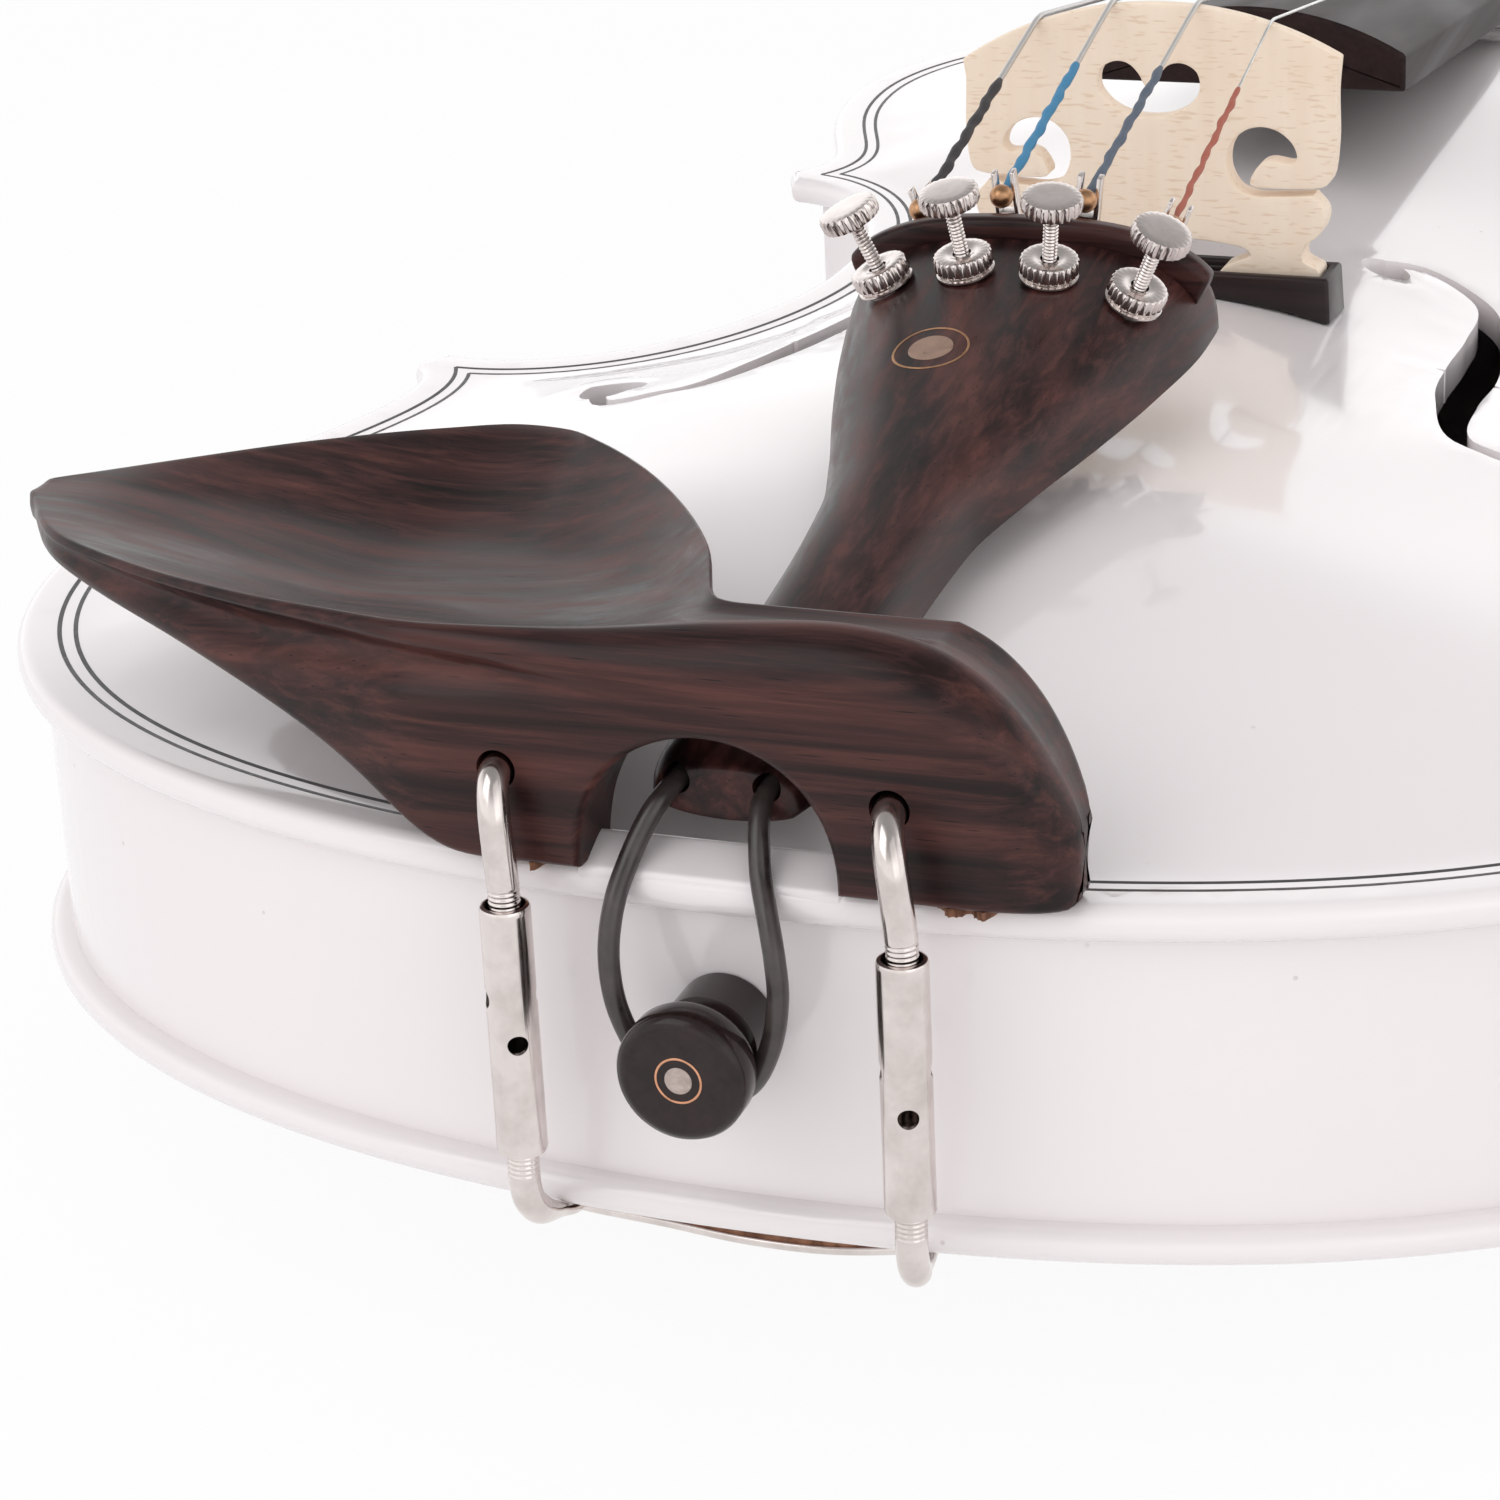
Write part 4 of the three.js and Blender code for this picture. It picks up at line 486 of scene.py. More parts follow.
def triangulated(points: Array, ids: Sequence[Array]) -> tuple[Array, Array]:
    """Points and triangles of a flat region in which loops of edges are kept."""
    edges = np.concatenate([np.stack([i, np.roll(i, -1)], 1) for i in ids]).tolist()
    found = geometry.delaunay_2d_cdt(list(map(Vector, points.tolist())), edges, [], 0, 1e-6)
    return np.array([tuple(v) for v in found[0]]), np.array(found[2], int)


def triangle_sides(tris: Array) -> Array:
    """The three directed sides of every triangle."""
    return np.concatenate([tris[:, [0, 1]], tris[:, [1, 2]], tris[:, [2, 0]]])


def merged_outline(loops: Sequence[Array]) -> Array:
    """The outline of overlapping closed loops taken as one area, counter-clockwise."""
    points, tris = triangulated(np.concatenate(loops), joined_ids(loops))
    middle = points[tris].mean(1)
    kept = tris[np.any([inside(middle, loop) for loop in loops], 0)]
    pairs = set(map(tuple, triangle_sides(kept).tolist()))
    following = {a: b for a, b in pairs if (b, a) not in pairs}
    order = [next(iter(following))]
    while following[order[-1]] != order[0]:
        order.append(following[order[-1]])
    return points[order]


def hexagonal(loop: Array, spacing: float) -> Array:
    """Points in rows that are shifted by half a spacing, over a loop's box."""
    low, high = loop.min(0), loop.max(0)
    rows = np.arange(low[1], high[1], spacing * math.sqrt(3) / 2)
    cols = np.arange(low[0], high[0], spacing)
    x = cols[None, :] + (np.arange(len(rows)) % 2)[:, None] * spacing / 2
    return np.stack([x.ravel(), np.repeat(rows, len(cols))], 1)


def rounded_slab(
    outer: Array, holes: Sequence[Array], top: Height, bottom: Height, rounding: float, spacing: float,
    settle: int = 0, seams: Optional[Array] = None
) -> Shell:
    """A slab with a flat outline, two height fields and rounded edges.

    At an edge, the inset from the outline is r(1 - cos a) and the drop from the height
    field r(1 - sin a), for a from 0 at the wall to a right angle on the face. Inside
    the last inset, both faces are triangles between evenly spaced points.

    Args:
        outer: the outline, counter-clockwise.
        holes: closed loops that are left open, counter-clockwise.
        top: height of the upper face over flat points.
        bottom: height of the lower face.
        rounding: r, the outer edge's radius; zero for a square edge, as the holes have.
        spacing: distance of the points within the faces.
        settle: how often the upper face's inner points move to their neighbours' mean.
        seams: flat places that both faces keep exactly, such as those under an inlay.

    Returns:
        The closed shell; its third axis is height.
    """
    loops = [outer] + [hole[::-1] for hole in holes]
    normal = loop_normals(outer)
    rims = [outer + normal * rounding, *loops[1:]]
    fill, clear = hexagonal(outer, spacing), spacing * CLEAR_SHARE
    fill = fill[inside(fill, rims[0])]
    for rim in rims:
        fill = fill[distance(fill, rim) > clear]
    for hole in holes:
        fill = fill[~inside(fill, hole)]
    kept = np.zeros((0, 2)) if seams is None else seams
    if len(kept):
        fill = fill[distance(fill, kept, looped=False) > clear]
    flat = np.concatenate([*rims, kept, fill])
    ids = joined_ids(rims)
    found, tris = triangulated(flat, ids)
    if len(found) != len(flat):
        raise ValueError("two points of a flat region meet")
    middle = flat[tris].mean(1)
    tris = tris[inside(middle, rims[0]) & ~np.any([inside(middle, rim) for rim in rims[1:]] or [False], 0)]
    high, low = top(flat), bottom(flat)
    if settle:
        high = settled(high, tris, np.arange(len(flat)) >= len(flat) - len(fill), settle)
    points = [np.column_stack([flat, high]), np.column_stack([flat, low])]
    quads, count = [], 2 * len(flat)
    rim_turns = [(a, True) for a in (67, 45, 22, 0)] + [(a, False) for a in (0, 22, 45, 67)]
    for number, (loop, rim_ids) in enumerate(zip(loops, ids)):
        rings = [rim_ids]
        for angle, upper in rim_turns if rounding and not number else ():
            turn = math.radians(angle)
            place = loop + normal * rounding * (1 - math.cos(turn))
            drop = rounding * (1 - math.sin(turn))
            points.append(np.column_stack([place, top(place) - drop if upper else bottom(place) + drop]))
            rings.append(count + np.arange(len(loop)))
            count += len(loop)
        rings.append(rim_ids + len(flat))
        for a, b in zip(rings, rings[1:]):
            quads.append(np.stack([a, b, np.roll(b, -1), np.roll(a, -1)], 1))
    both = np.concatenate([tris, tris[:, ::-1] + len(flat)])
    return Shell(np.concatenate(points), np.concatenate(quads), both)


def settled(values: Array, tris: Array, free: Array, rounds: int) -> Array:
    """Values on a triangle mesh after free ones moved to their neighbours' mean, repeatedly."""
    start, end = triangle_sides(tris).T
    count = np.maximum(np.bincount(start, minlength=len(values)), 1)
    for _ in range(rounds):
        mean = np.bincount(start, values[end], len(values)) / count
        values = np.where(free, mean, values)
    return values


# Objects


def linked(name: str, data: bpy.types.ID) -> Object:
    """A new object in the scene."""
    obj = bpy.data.objects.new(name, data)
    bpy.context.scene.collection.objects.link(obj)
    return obj


def new_object(name: str, shell: Shell) -> Object:
    """A mesh object at the origin, its place in its mesh, its faces turned outwards."""
    mesh = bpy.data.meshes.new(name)
    points = (shell.points + ORIGIN) * MM
    mesh.from_pydata(points.tolist(), [], shell.quads.tolist() + shell.tris.tolist())
    cleaned(mesh)
    return linked(name, mesh)


def cleaned(mesh: bpy.types.Mesh, merge: float = 1e-7, flat: float = 0.0) -> None:
    """Merges a mesh's doubles, turns its faces outwards and joins those that are as good as flat."""
    work = bmesh.new()
    work.from_mesh(mesh)
    bmesh.ops.remove_doubles(work, verts=work.verts, dist=merge)
    bmesh.ops.dissolve_degenerate(work, edges=work.edges, dist=merge)
    bmesh.ops.recalc_face_normals(work, faces=work.faces)
    if flat:
        bmesh.ops.dissolve_limit(work, angle_limit=flat, verts=work.verts, edges=work.edges)
    work.to_mesh(mesh)
    work.free()


def baked(obj: Object) -> None:
    """Puts an object's modifiers into its mesh."""
    bpy.context.view_layer.update()
    shaped = obj.evaluated_get(bpy.context.evaluated_depsgraph_get())
    mesh = bpy.data.meshes.new_from_object(shaped)
    obj.modifiers.clear()
    obj.data = mesh


def carve(obj: Object, *cutters: Shell) -> Object:
    """Cuts closed shells out of an object."""
    for number, shell in enumerate(cutters):
        cutter = new_object(f"cutter_{number}", shell)
        cut = obj.modifiers.new("cut", "BOOLEAN")
        cut.operation, cut.solver, cut.object = "DIFFERENCE", "MANIFOLD", cutter
        baked(obj)
        bpy.data.objects.remove(cutter)
    return obj


def softened(obj: Object, width: float, segments: int = 3, angle: float = 30.0) -> Object:
    """Rounds an object's edges that are sharper than an angle, by a width in millimetres."""
    bevel = obj.modifiers.new("edges", "BEVEL")
    bevel.width, bevel.segments, bevel.angle_limit = width * MM, segments, math.radians(angle)
    bevel.limit_method = "ANGLE"
    baked(obj)
    return obj


def refined(node: str, width: float, segments: int = 3) -> Object:
    """A copy of a plain node with merged corners, its edges rounded by a width in millimetres."""
    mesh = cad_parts[node].data.copy()
    mesh.materials.clear()
    cleaned(mesh, 1e-6, math.radians(1))
    return softened(linked(f"{node}_finished", mesh), width, segments)


def finish_piece(
    obj: Object, material: Material, node: str = "", slot: str = "", crease: float = 32.0,
    body: str = MAIN_BODY
) -> None:
    """Dresses a piece and ties it to the frame.

    Args:
        obj: the piece.
        material: its finish.
        node: the node that it stands for, if any.
        slot: a material slot name, where it isn't the finish's own name; not used.
        crease: edges sharper than this many degrees stay sharp.
        body: the body that it moves with.
    """
    obj.data.materials.clear()
    obj.data.materials.append(material)
    obj.data.shade_smooth()
    obj.data.set_sharp_from_angle(angle=math.radians(crease))
    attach(obj, body)
    slot or material.name.partition(".")[0]
    if node:
        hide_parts(node)
    LOG.info("%s: %d faces on %s", obj.name, len(obj.data.polygons), body)


def dress_node(node: str, material: Material) -> None:
    """Gives a node that stays its finish."""
    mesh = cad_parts[node].data
    mesh.materials.clear()
    mesh.materials.append(material)
    LOG.info("%s: dressed as %s", node, material.name)


# Finishes


class Axis(Enum):
    """The way that wood grain runs."""

    X = (0.045, 1.0, 1.0)
    Y = (1.0, 0.045, 1.0)
    Z = (1.0, 1.0, 0.045)


Value = Socket | float | Sequence[float]


class Nodes:
    """A node tree that is built up from nothing."""

    def __init__(self, tree: bpy.types.NodeTree) -> None:
        """Empties the tree."""
        self.tree = tree
        tree.nodes.clear()

    def add(self, kind: str, inputs: Optional[dict[str | int, Value]] = None) -> bpy.types.Node:
        """A new node of a kind, each input linked to a socket or set to a value."""
        node = self.tree.nodes.new("ShaderNode" + kind)
        self.fill(node, inputs or {})
        return node

    def fill(self, node: bpy.types.Node, inputs: dict[str | int, Value]) -> None:
        """Links a node's inputs to sockets, or sets them to values."""
        for name, value in inputs.items():
            if isinstance(value, Socket):
                self.tree.links.new(value, node.inputs[name])
            else:
                node.inputs[name].default_value = value

    def reckon(self, operation: str, first: Value, second: Value) -> Socket:
        """Two numbers combined."""
        node = self.add("Math", {0: first, 1: second})
        node.operation = operation
        return node.outputs[0]


class NodeBook(Nodes):
    """A material's node tree, with a short call for each kind of node that the finishes use."""

    def __init__(self, name: str) -> None:
        """Starts a material with its shader and output alone."""
        self.material = bpy.data.materials.new(name)
        self.material.use_nodes = True
        super().__init__(self.material.node_tree)
        self.shader = self.add("BsdfPrincipled")
        self.output = self.add("OutputMaterial", {0: self.shader.outputs[0]})
        self.place = self.add("TexCoord").outputs["Object"]

    def wear(self, colour: Socket, rough: Socket, normal: Socket, **values: float) -> None:
        """Feeds the shader, and sets its other sockets; an underscore stands for a space."""
        self.fill(self.shader, {"Base Color": colour, "Roughness": rough, "Normal": normal})
        self.fill(self.shader, {name.replace("_", " "): value for name, value in values.items()})

    def scaled(self, scale: Sequence[float], turn: Sequence[float] = (0, 0, 0)) -> Socket:
        """Object coordinates, stretched and turned."""
        return self.add("Mapping", {"Scale": scale, "Rotation": turn, "Vector": self.place}).outputs[0]

    def noise(
        self, at: Socket, scale: float, detail: float = 3, rough: float = 0.5, bend: float = 0
    ) -> Socket:
        """A noise value at a vector."""
        settings = {"Scale": scale, "Detail": detail, "Roughness": rough, "Distortion": bend}
        return self.add("TexNoise", {"Vector": at, **settings}).outputs["Fac"]

    def cells(self, at: Socket, scale: float, output: str = "Distance") -> Socket:
        """A cell pattern's distance or colour at a vector."""
        return self.add("TexVoronoi", {"Vector": at, "Scale": scale}).outputs[output]

    def bands(self, at: Socket, scale: float, axis: str, bend: float = 0, finer: float = 2) -> Socket:
        """Waves across an axis, bent by noise."""
        settings = {"Scale": scale, "Distortion": bend, "Detail": finer, "Detail Scale": 1.5}
        node = self.add("TexWave", {"Vector": at, **settings})
        node.bands_direction = axis
        return node.outputs["Fac"]

    def ramp(self, factor: Socket, *stops: float | tuple) -> Socket:
        """Colours along a factor, from places that are each followed by red, green and blue."""
        node = self.add("ValToRGB", {0: factor})
        elements = node.color_ramp.elements
        while len(elements) < len(stops) // 2:
            elements.new(0.5)
        for element, place, colour in zip(elements, stops[::2], stops[1::2]):
            element.position = place
            element.color = (*colour, 1)
        return node.outputs[0]

    def mixed(self, factor: Value, first: Value, second: Value, blend: str = "MIX") -> Socket:
        """Two colours mixed by a factor."""
        node = self.add("Mix")
        node.data_type, node.blend_type = "RGBA", blend
        self.fill(node, {0: factor, 6: first, 7: second})
        return node.outputs[2]

    def spread(self, value: Socket, low: float, high: float, start: float = 0.3, end: float = 0.7) -> Socket:
        """A value's span from start to end, mapped to low and high."""
        limits = {"From Min": start, "From Max": end, "To Min": low, "To Max": high}
        return self.add("MapRange", {0: value, **limits}).outputs[0]

    def relief(
        self, height: Socket, depth: float, strength: float, over: Optional[Socket] = None
    ) -> Socket:
        """A normal bent by a height whose full step is so many millimetres deep."""
        node = self.add("Bump", {"Strength": strength, "Distance": depth * MM, "Height": height})
        if over is not None:
            self.fill(node, {"Normal": over})
        return node.outputs[0]

    def direct_ray(self) -> Socket:
        """One for camera, mirror and see-through rays, and zero for all light."""
        path = self.add("LightPath")
        found = self.reckon("MAXIMUM", path.outputs["Is Camera Ray"], path.outputs["Is Glossy Ray"])
        return self.reckon("MAXIMUM", found, path.outputs["Is Transmission Ray"])


@dataclass(frozen=True)
class Finish:
    """A finish by its material's name."""

    name: str

    def wire(self, book: NodeBook) -> None:
        """Wires the finish's nodes."""
        raise NotImplementedError

    def material(self) -> Material:
        """The finish as a material."""
        book = NodeBook(self.name)
        self.wire(book)
        return book.material


@dataclass(frozen=True)
class Lacquer(Finish):
    """Thick polished white lacquer: long soft waves, fine orange peel, hairlines and dust."""

    name: str = "white_lacquer"
    pale: tuple = (0.850, 0.800, 0.808)
    deep: tuple = (0.825, 0.770, 0.780)
    dust: tuple = (0.62, 0.57, 0.55)

    def wire(self, book: NodeBook) -> None:
        """Clouded white with sparse specks, under a clear coat."""
        colour = book.ramp(book.noise(book.place, 14, 4), 0.3, self.deep, 0.7, self.pale)
        specks = book.spread(book.cells(book.place, 190), 1, 0, 0.035, 0.06)
        sparse = book.spread(book.noise(book.place, 60, 2), 0, 0.5, 0.56, 0.62)
        dust = book.ramp(specks, 0, (1, 1, 1), 1, self.dust)
        hairline = book.noise(book.scaled((900, 60, 300), (0, 0, 0.6)), 1, 3)
        waves = book.relief(book.noise(book.place, 38, 2), 0.10, 0.5)
        book.wear(
            book.mixed(sparse, colour, book.mixed(1.0, colour, dust, "MULTIPLY")),
            book.spread(hairline, 0.10, 0.20, 0.35, 0.75),
            book.relief(book.noise(book.place, 620, 2), 0.006, 0.6, waves),
            Coat_Weight=0.55, Coat_Roughness=0.05, Coat_IOR=1.5, IOR=1.5,
        )


@dataclass(frozen=True)
class Rosewood(Finish):
    """Oiled dark rosewood: wandering growth bands, thin black lines and short open pores."""

    name: str = "rosewood"
    grain: Axis = Axis.X
    black: tuple = (0.0085, 0.0040, 0.0040)
    brown: tuple = (0.038, 0.0138, 0.0130)
    red: tuple = (0.104, 0.0365, 0.0300)
    gloss: float = 0.32
    figure: float = 3.2

    def wire(self, book: NodeBook) -> None:
        """Three scales of figure mixed, then the pores."""
        along = book.scaled(self.grain.value)
        wander = book.noise(along, 150, 4, 0.6, 1.2)
        band = book.bands(along, 62, "DIAGONAL", self.figure, 3)
        fine = book.noise(along, 620, 5, 0.65, 0.4)
        body = book.ramp(wander, 0.38, self.black, 0.50, self.brown, 0.63, self.red)
        streak = book.ramp(band, 0.0, self.black, 0.40, self.black, 0.62, self.brown, 1.0, self.red)
        thread = book.ramp(fine, 0.42, self.black, 0.52, self.brown, 0.64, self.red)
        wood = book.mixed(0.46, book.mixed(0.45, body, streak), thread)
        pores = book.cells(book.scaled(tuple(2.2 * s for s in self.grain.value)), 900)
        grooves = book.relief(fine, 0.03, 0.35)
        book.wear(
            book.mixed(book.spread(pores, 1, 0, 0.05, 0.16), wood, (*self.black, 1)),
            book.spread(fine, self.gloss - 0.06, self.gloss + 0.14),
            book.relief(book.spread(pores, 0, 1, 0.04, 0.14), 0.02, 0.5, grooves),
            Coat_Weight=0.05, Coat_Roughness=0.10, IOR=1.31,
        )


@dataclass(frozen=True)
class Ebony(Finish):
    """Rubbed near-black wood with a faint straight grain."""

    name: str = "ebony"
    grain: Axis = Axis.Y
    dark: tuple = (0.012, 0.0070, 0.0070)
    lit: tuple = (0.037, 0.0200, 0.0195)
    gloss: float = 0.34
    index: float = 1.36

    def wire(self, book: NodeBook) -> None:
        """Fine grain over a broad one."""
        along = book.scaled(self.grain.value)
        fine = book.noise(along, 700, 5, 0.6, 0.3)
        broad = book.noise(along, 90, 3, 0.5, 0.8)
        tint = book.ramp(fine, 0.35, self.dark, 0.75, self.lit)
        shade = book.ramp(broad, 0.3, self.dark, 0.8, self.lit)
        book.wear(
            book.mixed(0.4, tint, shade), book.spread(broad, self.gloss - 0.05, self.gloss + 0.12),
            book.relief(fine, 0.02, 0.3), Coat_Weight=0.05, Coat_Roughness=0.15, IOR=self.index,
        )


@dataclass(frozen=True)
class PaleWood(Finish):
    """Bare pale wood: close grain, and the short shining flecks that cross it."""

    name: str = "maple"
    grain: Axis = Axis.Z
    pale: tuple = (0.91, 0.775, 0.640)
    warm: tuple = (0.845, 0.680, 0.530)
    fleck: tuple = (0.72, 0.52, 0.36)
    fleck_scale: tuple = (420.0, 1500.0, 2600.0)
    fleck_amount: float = 0.55

    def wire(self, book: NodeBook) -> None:
        """Fine grain and broad clouds in equal parts, then the flecks."""
        fine = book.noise(book.scaled(self.grain.value), 420, 4, 0.55, 0.3)
        close = book.ramp(fine, 0.3, self.warm, 0.7, self.pale)
        clouds = book.ramp(book.noise(book.place, 55, 3), 0.3, self.warm, 0.62, self.pale)
        flecks = book.noise(book.scaled(self.fleck_scale), 1, 1, 0.4, 0.2)
        mask = book.spread(flecks, 0, self.fleck_amount, 0.60, 0.70)
        colour = book.mixed(mask, book.mixed(0.5, close, clouds), (*self.fleck, 1))
        book.wear(colour, book.spread(fine, 0.48, 0.66), book.relief(fine, 0.03, 0.3), IOR=1.45)


@dataclass(frozen=True)
class Metal(Finish):
    """Plated or drawn metal: soft clouding, fine polishing lines and worn spots."""

    name: str = "nickel"
    bright: tuple = (0.75, 0.685, 0.660)
    dull: tuple = (0.60, 0.540, 0.515)
    rough: tuple = (0.09, 0.24)
    lines: tuple = (500.0, 500.0, 60.0)

    def wire(self, book: NodeBook) -> None:
        """Clouds for the colour, lines for the shine."""
        cloud = book.noise(book.place, 210, 4, 0.6)
        lines = book.noise(book.scaled(self.lines), 3, 4, 0.6)
        colour = book.ramp(cloud, 0.3, self.dull, 0.62, self.bright)
        book.wear(colour, book.spread(lines, *self.rough), book.relief(lines, 0.004, 0.35), Metallic=1.0)


@dataclass(frozen=True)
class Winding(Finish):
    """A wound string or a silk wrap: one turn of thread after another along y."""

    light: tuple
    dark: tuple
    pitch: float
    metallic: float = 0.0
    rough: float = 0.6

    def wire(self, book: NodeBook) -> None:
        """Turns, with painted shade darkening the groove between each two, and fray; the bands' scale is a
        turn's over the wave's own.
        """
        turn = book.bands(book.place, math.pi / (10 * self.pitch * MM), "Y", 0.0, 0)
        fray = book.noise(book.place, 2400, 3)
        # thread: painted shade, dark in the grooves between turns and light on their crowns, on the same
        # waves that the bump raises
        thread = book.ramp(turn, 0.0, self.dark, 0.6, self.light)
        worn = book.ramp(fray, 0.3, self.dark, 0.7, self.light)
        rough = book.spread(fray, self.rough - 0.08, self.rough + 0.1)
        book.wear(book.mixed(0.35, thread, worn), rough, book.relief(turn, 0.03, 0.5), Metallic=self.metallic)


@dataclass(frozen=True)
class Cord(Finish):
    """Smooth dark nylon with a faint lengthwise mottle."""

    name: str = "tail_cord"
    dark: tuple = (0.022, 0.016, 0.016)
    lit: tuple = (0.060, 0.046, 0.044)

    def wire(self, book: NodeBook) -> None:
        """One mottle for colour, shine and relief."""
        mottle = book.noise(book.place, 420, 3)
        book.wear(
            book.ramp(mottle, 0.3, self.dark, 0.75, self.lit), book.spread(mottle, 0.26, 0.42),
            book.relief(mottle, 0.01, 0.3), Coat_Weight=0.3, Coat_Roughness=0.2,
        )


@dataclass(frozen=True)
class Cork(Finish):
    """Pressed cork: tan grains of many sizes with dark seams between them."""

    name: str = "cork"
    tan: tuple = (0.30, 0.135, 0.075)
    brown: tuple = (0.11, 0.045, 0.025)

    def wire(self, book: NodeBook) -> None:
        """A tint for each grain, darker at the seams."""
        seams = book.cells(book.place, 900)
        tint = book.ramp(book.cells(book.place, 900, "Color"), 0.1, self.brown, 0.8, self.tan)
        seam = book.ramp(seams, 0.2, self.tan, 0.75, self.brown)
        book.wear(book.mixed(0.45, tint, seam), book.spread(seams, 0.75, 0.95), book.relief(seams, 0.15, 0.7))


@dataclass(frozen=True)
class Inlay(Finish):
    """A small inlaid piece of metal or shell, lightly clouded and polished."""

    light: tuple
    dark: tuple
    metallic: float = 0.0
    rough: float = 0.25
    scale: float = 500.0

    def wire(self, book: NodeBook) -> None:
        """One cloud for colour, shine and relief."""
        cloud = book.noise(book.place, self.scale, 4, 0.6, 1.5)
        colour = book.ramp(cloud, 0.3, self.dark, 0.7, self.light)
        rough = book.spread(cloud, self.rough - 0.05, self.rough + 0.12)
        book.wear(colour, rough, book.relief(cloud, 0.01, 0.2), Metallic=self.metallic)


def every_finish() -> Wardrobe:
    """Every finish, made once, by name."""
    finishes = [
        Lacquer(),
        Rosewood("rosewood_chinrest", Axis.X),
        Rosewood("rosewood_tailpiece", Axis.Y, figure=2.2),
        Rosewood("rosewood_pegs", Axis.X, figure=2.0),
        Ebony(gloss=0.46, index=1.2),
        Ebony("ebony_across", Axis.X),
        Ebony("ebony_button", Axis.Y, lit=(0.030, 0.0165, 0.0160), gloss=0.13),
        PaleWood(),
        PaleWood(
            "spruce", Axis.Y, (0.74, 0.52, 0.28), (0.60, 0.38, 0.17), (0.50, 0.30, 0.13), fleck_amount=0.2),
        Metal(),
        Metal("string_steel", (0.74, 0.73, 0.71), (0.52, 0.51, 0.49), (0.22, 0.36)),
        Winding("string_wound", (0.66, 0.64, 0.63), (0.54, 0.52, 0.51), 0.17, 1.0, 0.36),
        Winding("silk_black", (0.052, 0.044, 0.048), (0.018, 0.015, 0.017), 0.3),
        Winding("silk_blue", (0.060, 0.27, 0.46), (0.022, 0.13, 0.28), 0.3),
        Winding("silk_slate", (0.120, 0.150, 0.200), (0.050, 0.065, 0.095), 0.3),
        Winding("silk_rust", (0.46, 0.135, 0.090), (0.26, 0.060, 0.036), 0.3),
        Cord(),
        Cork(),
        Inlay("copper", (0.80, 0.42, 0.26), (0.58, 0.26, 0.15), 1.0, 0.28),
        Inlay("brass", (0.62, 0.36, 0.20), (0.40, 0.21, 0.11), 1.0, 0.32),
        Inlay("shell", (0.50, 0.41, 0.38), (0.32, 0.25, 0.22), 0.0, 0.22, 380),
        Inlay("bronze_shell", (0.32, 0.20, 0.145), (0.20, 0.115, 0.080), 0.0, 0.3, 320),
        Inlay("purfling", (0.030, 0.026, 0.027), (0.012, 0.010, 0.011), 0.0, 0.4),
    ]
    return {finish.name: finish.material() for finish in finishes}


# Body


RUNS = {
    "lower": (
        ((0, 0), (66.6115, 0), (104.9, 29.64), (104.9, 74.1)),
        ((104.9, 74.1), (104.9, 99.1), (83.1, 128.4), (94.6, 142.4)),
    ),
    "waist": (
        ((92.1, 147.4), (73.1, 142.4), (54.9, 166.4), (54.9, 195.4)),
        ((54.9, 195.4), (54.9, 220.4), (66.5, 236.1), (76.5, 237.1)),
    ),
    "upper": (
        ((78.5, 242.1), (68.5, 254.1), (85, 263.6), (85, 292.6)),
        ((85, 292.6), (85, 327.6), (48.45, 356), (0, 356)),
    ),
}


def outline_run(name: str, steps: int = 56) -> Array:
    """One run of the treble half's outline, of two Bezier curves, both ends included."""
    curves = RUNS[name]
    return np.concatenate([*(bezier(curve, steps) for curve in curves), [curves[1][3]]])


def outline_inset(name: str, inset: float, trim: tuple = (0.0, 0.0), count: int = 160) -> Array:
    """A run drawn in by a distance square to it, trimmed at both ends by length."""
    line = outline_run(name, 200)
    length = travelled(line)
    stops = np.linspace(trim[0], length[-1] - trim[1], count)
    return read_at(stops, length, line + inset * lefts(line))


def outline_loop() -> Array:
    """The whole outline, counter-clockwise from the tail."""
    treble = np.concatenate([outline_run(name) for name in RUNS])
    return np.concatenate([treble, treble[1:-1][::-1] * [-1, 1]])


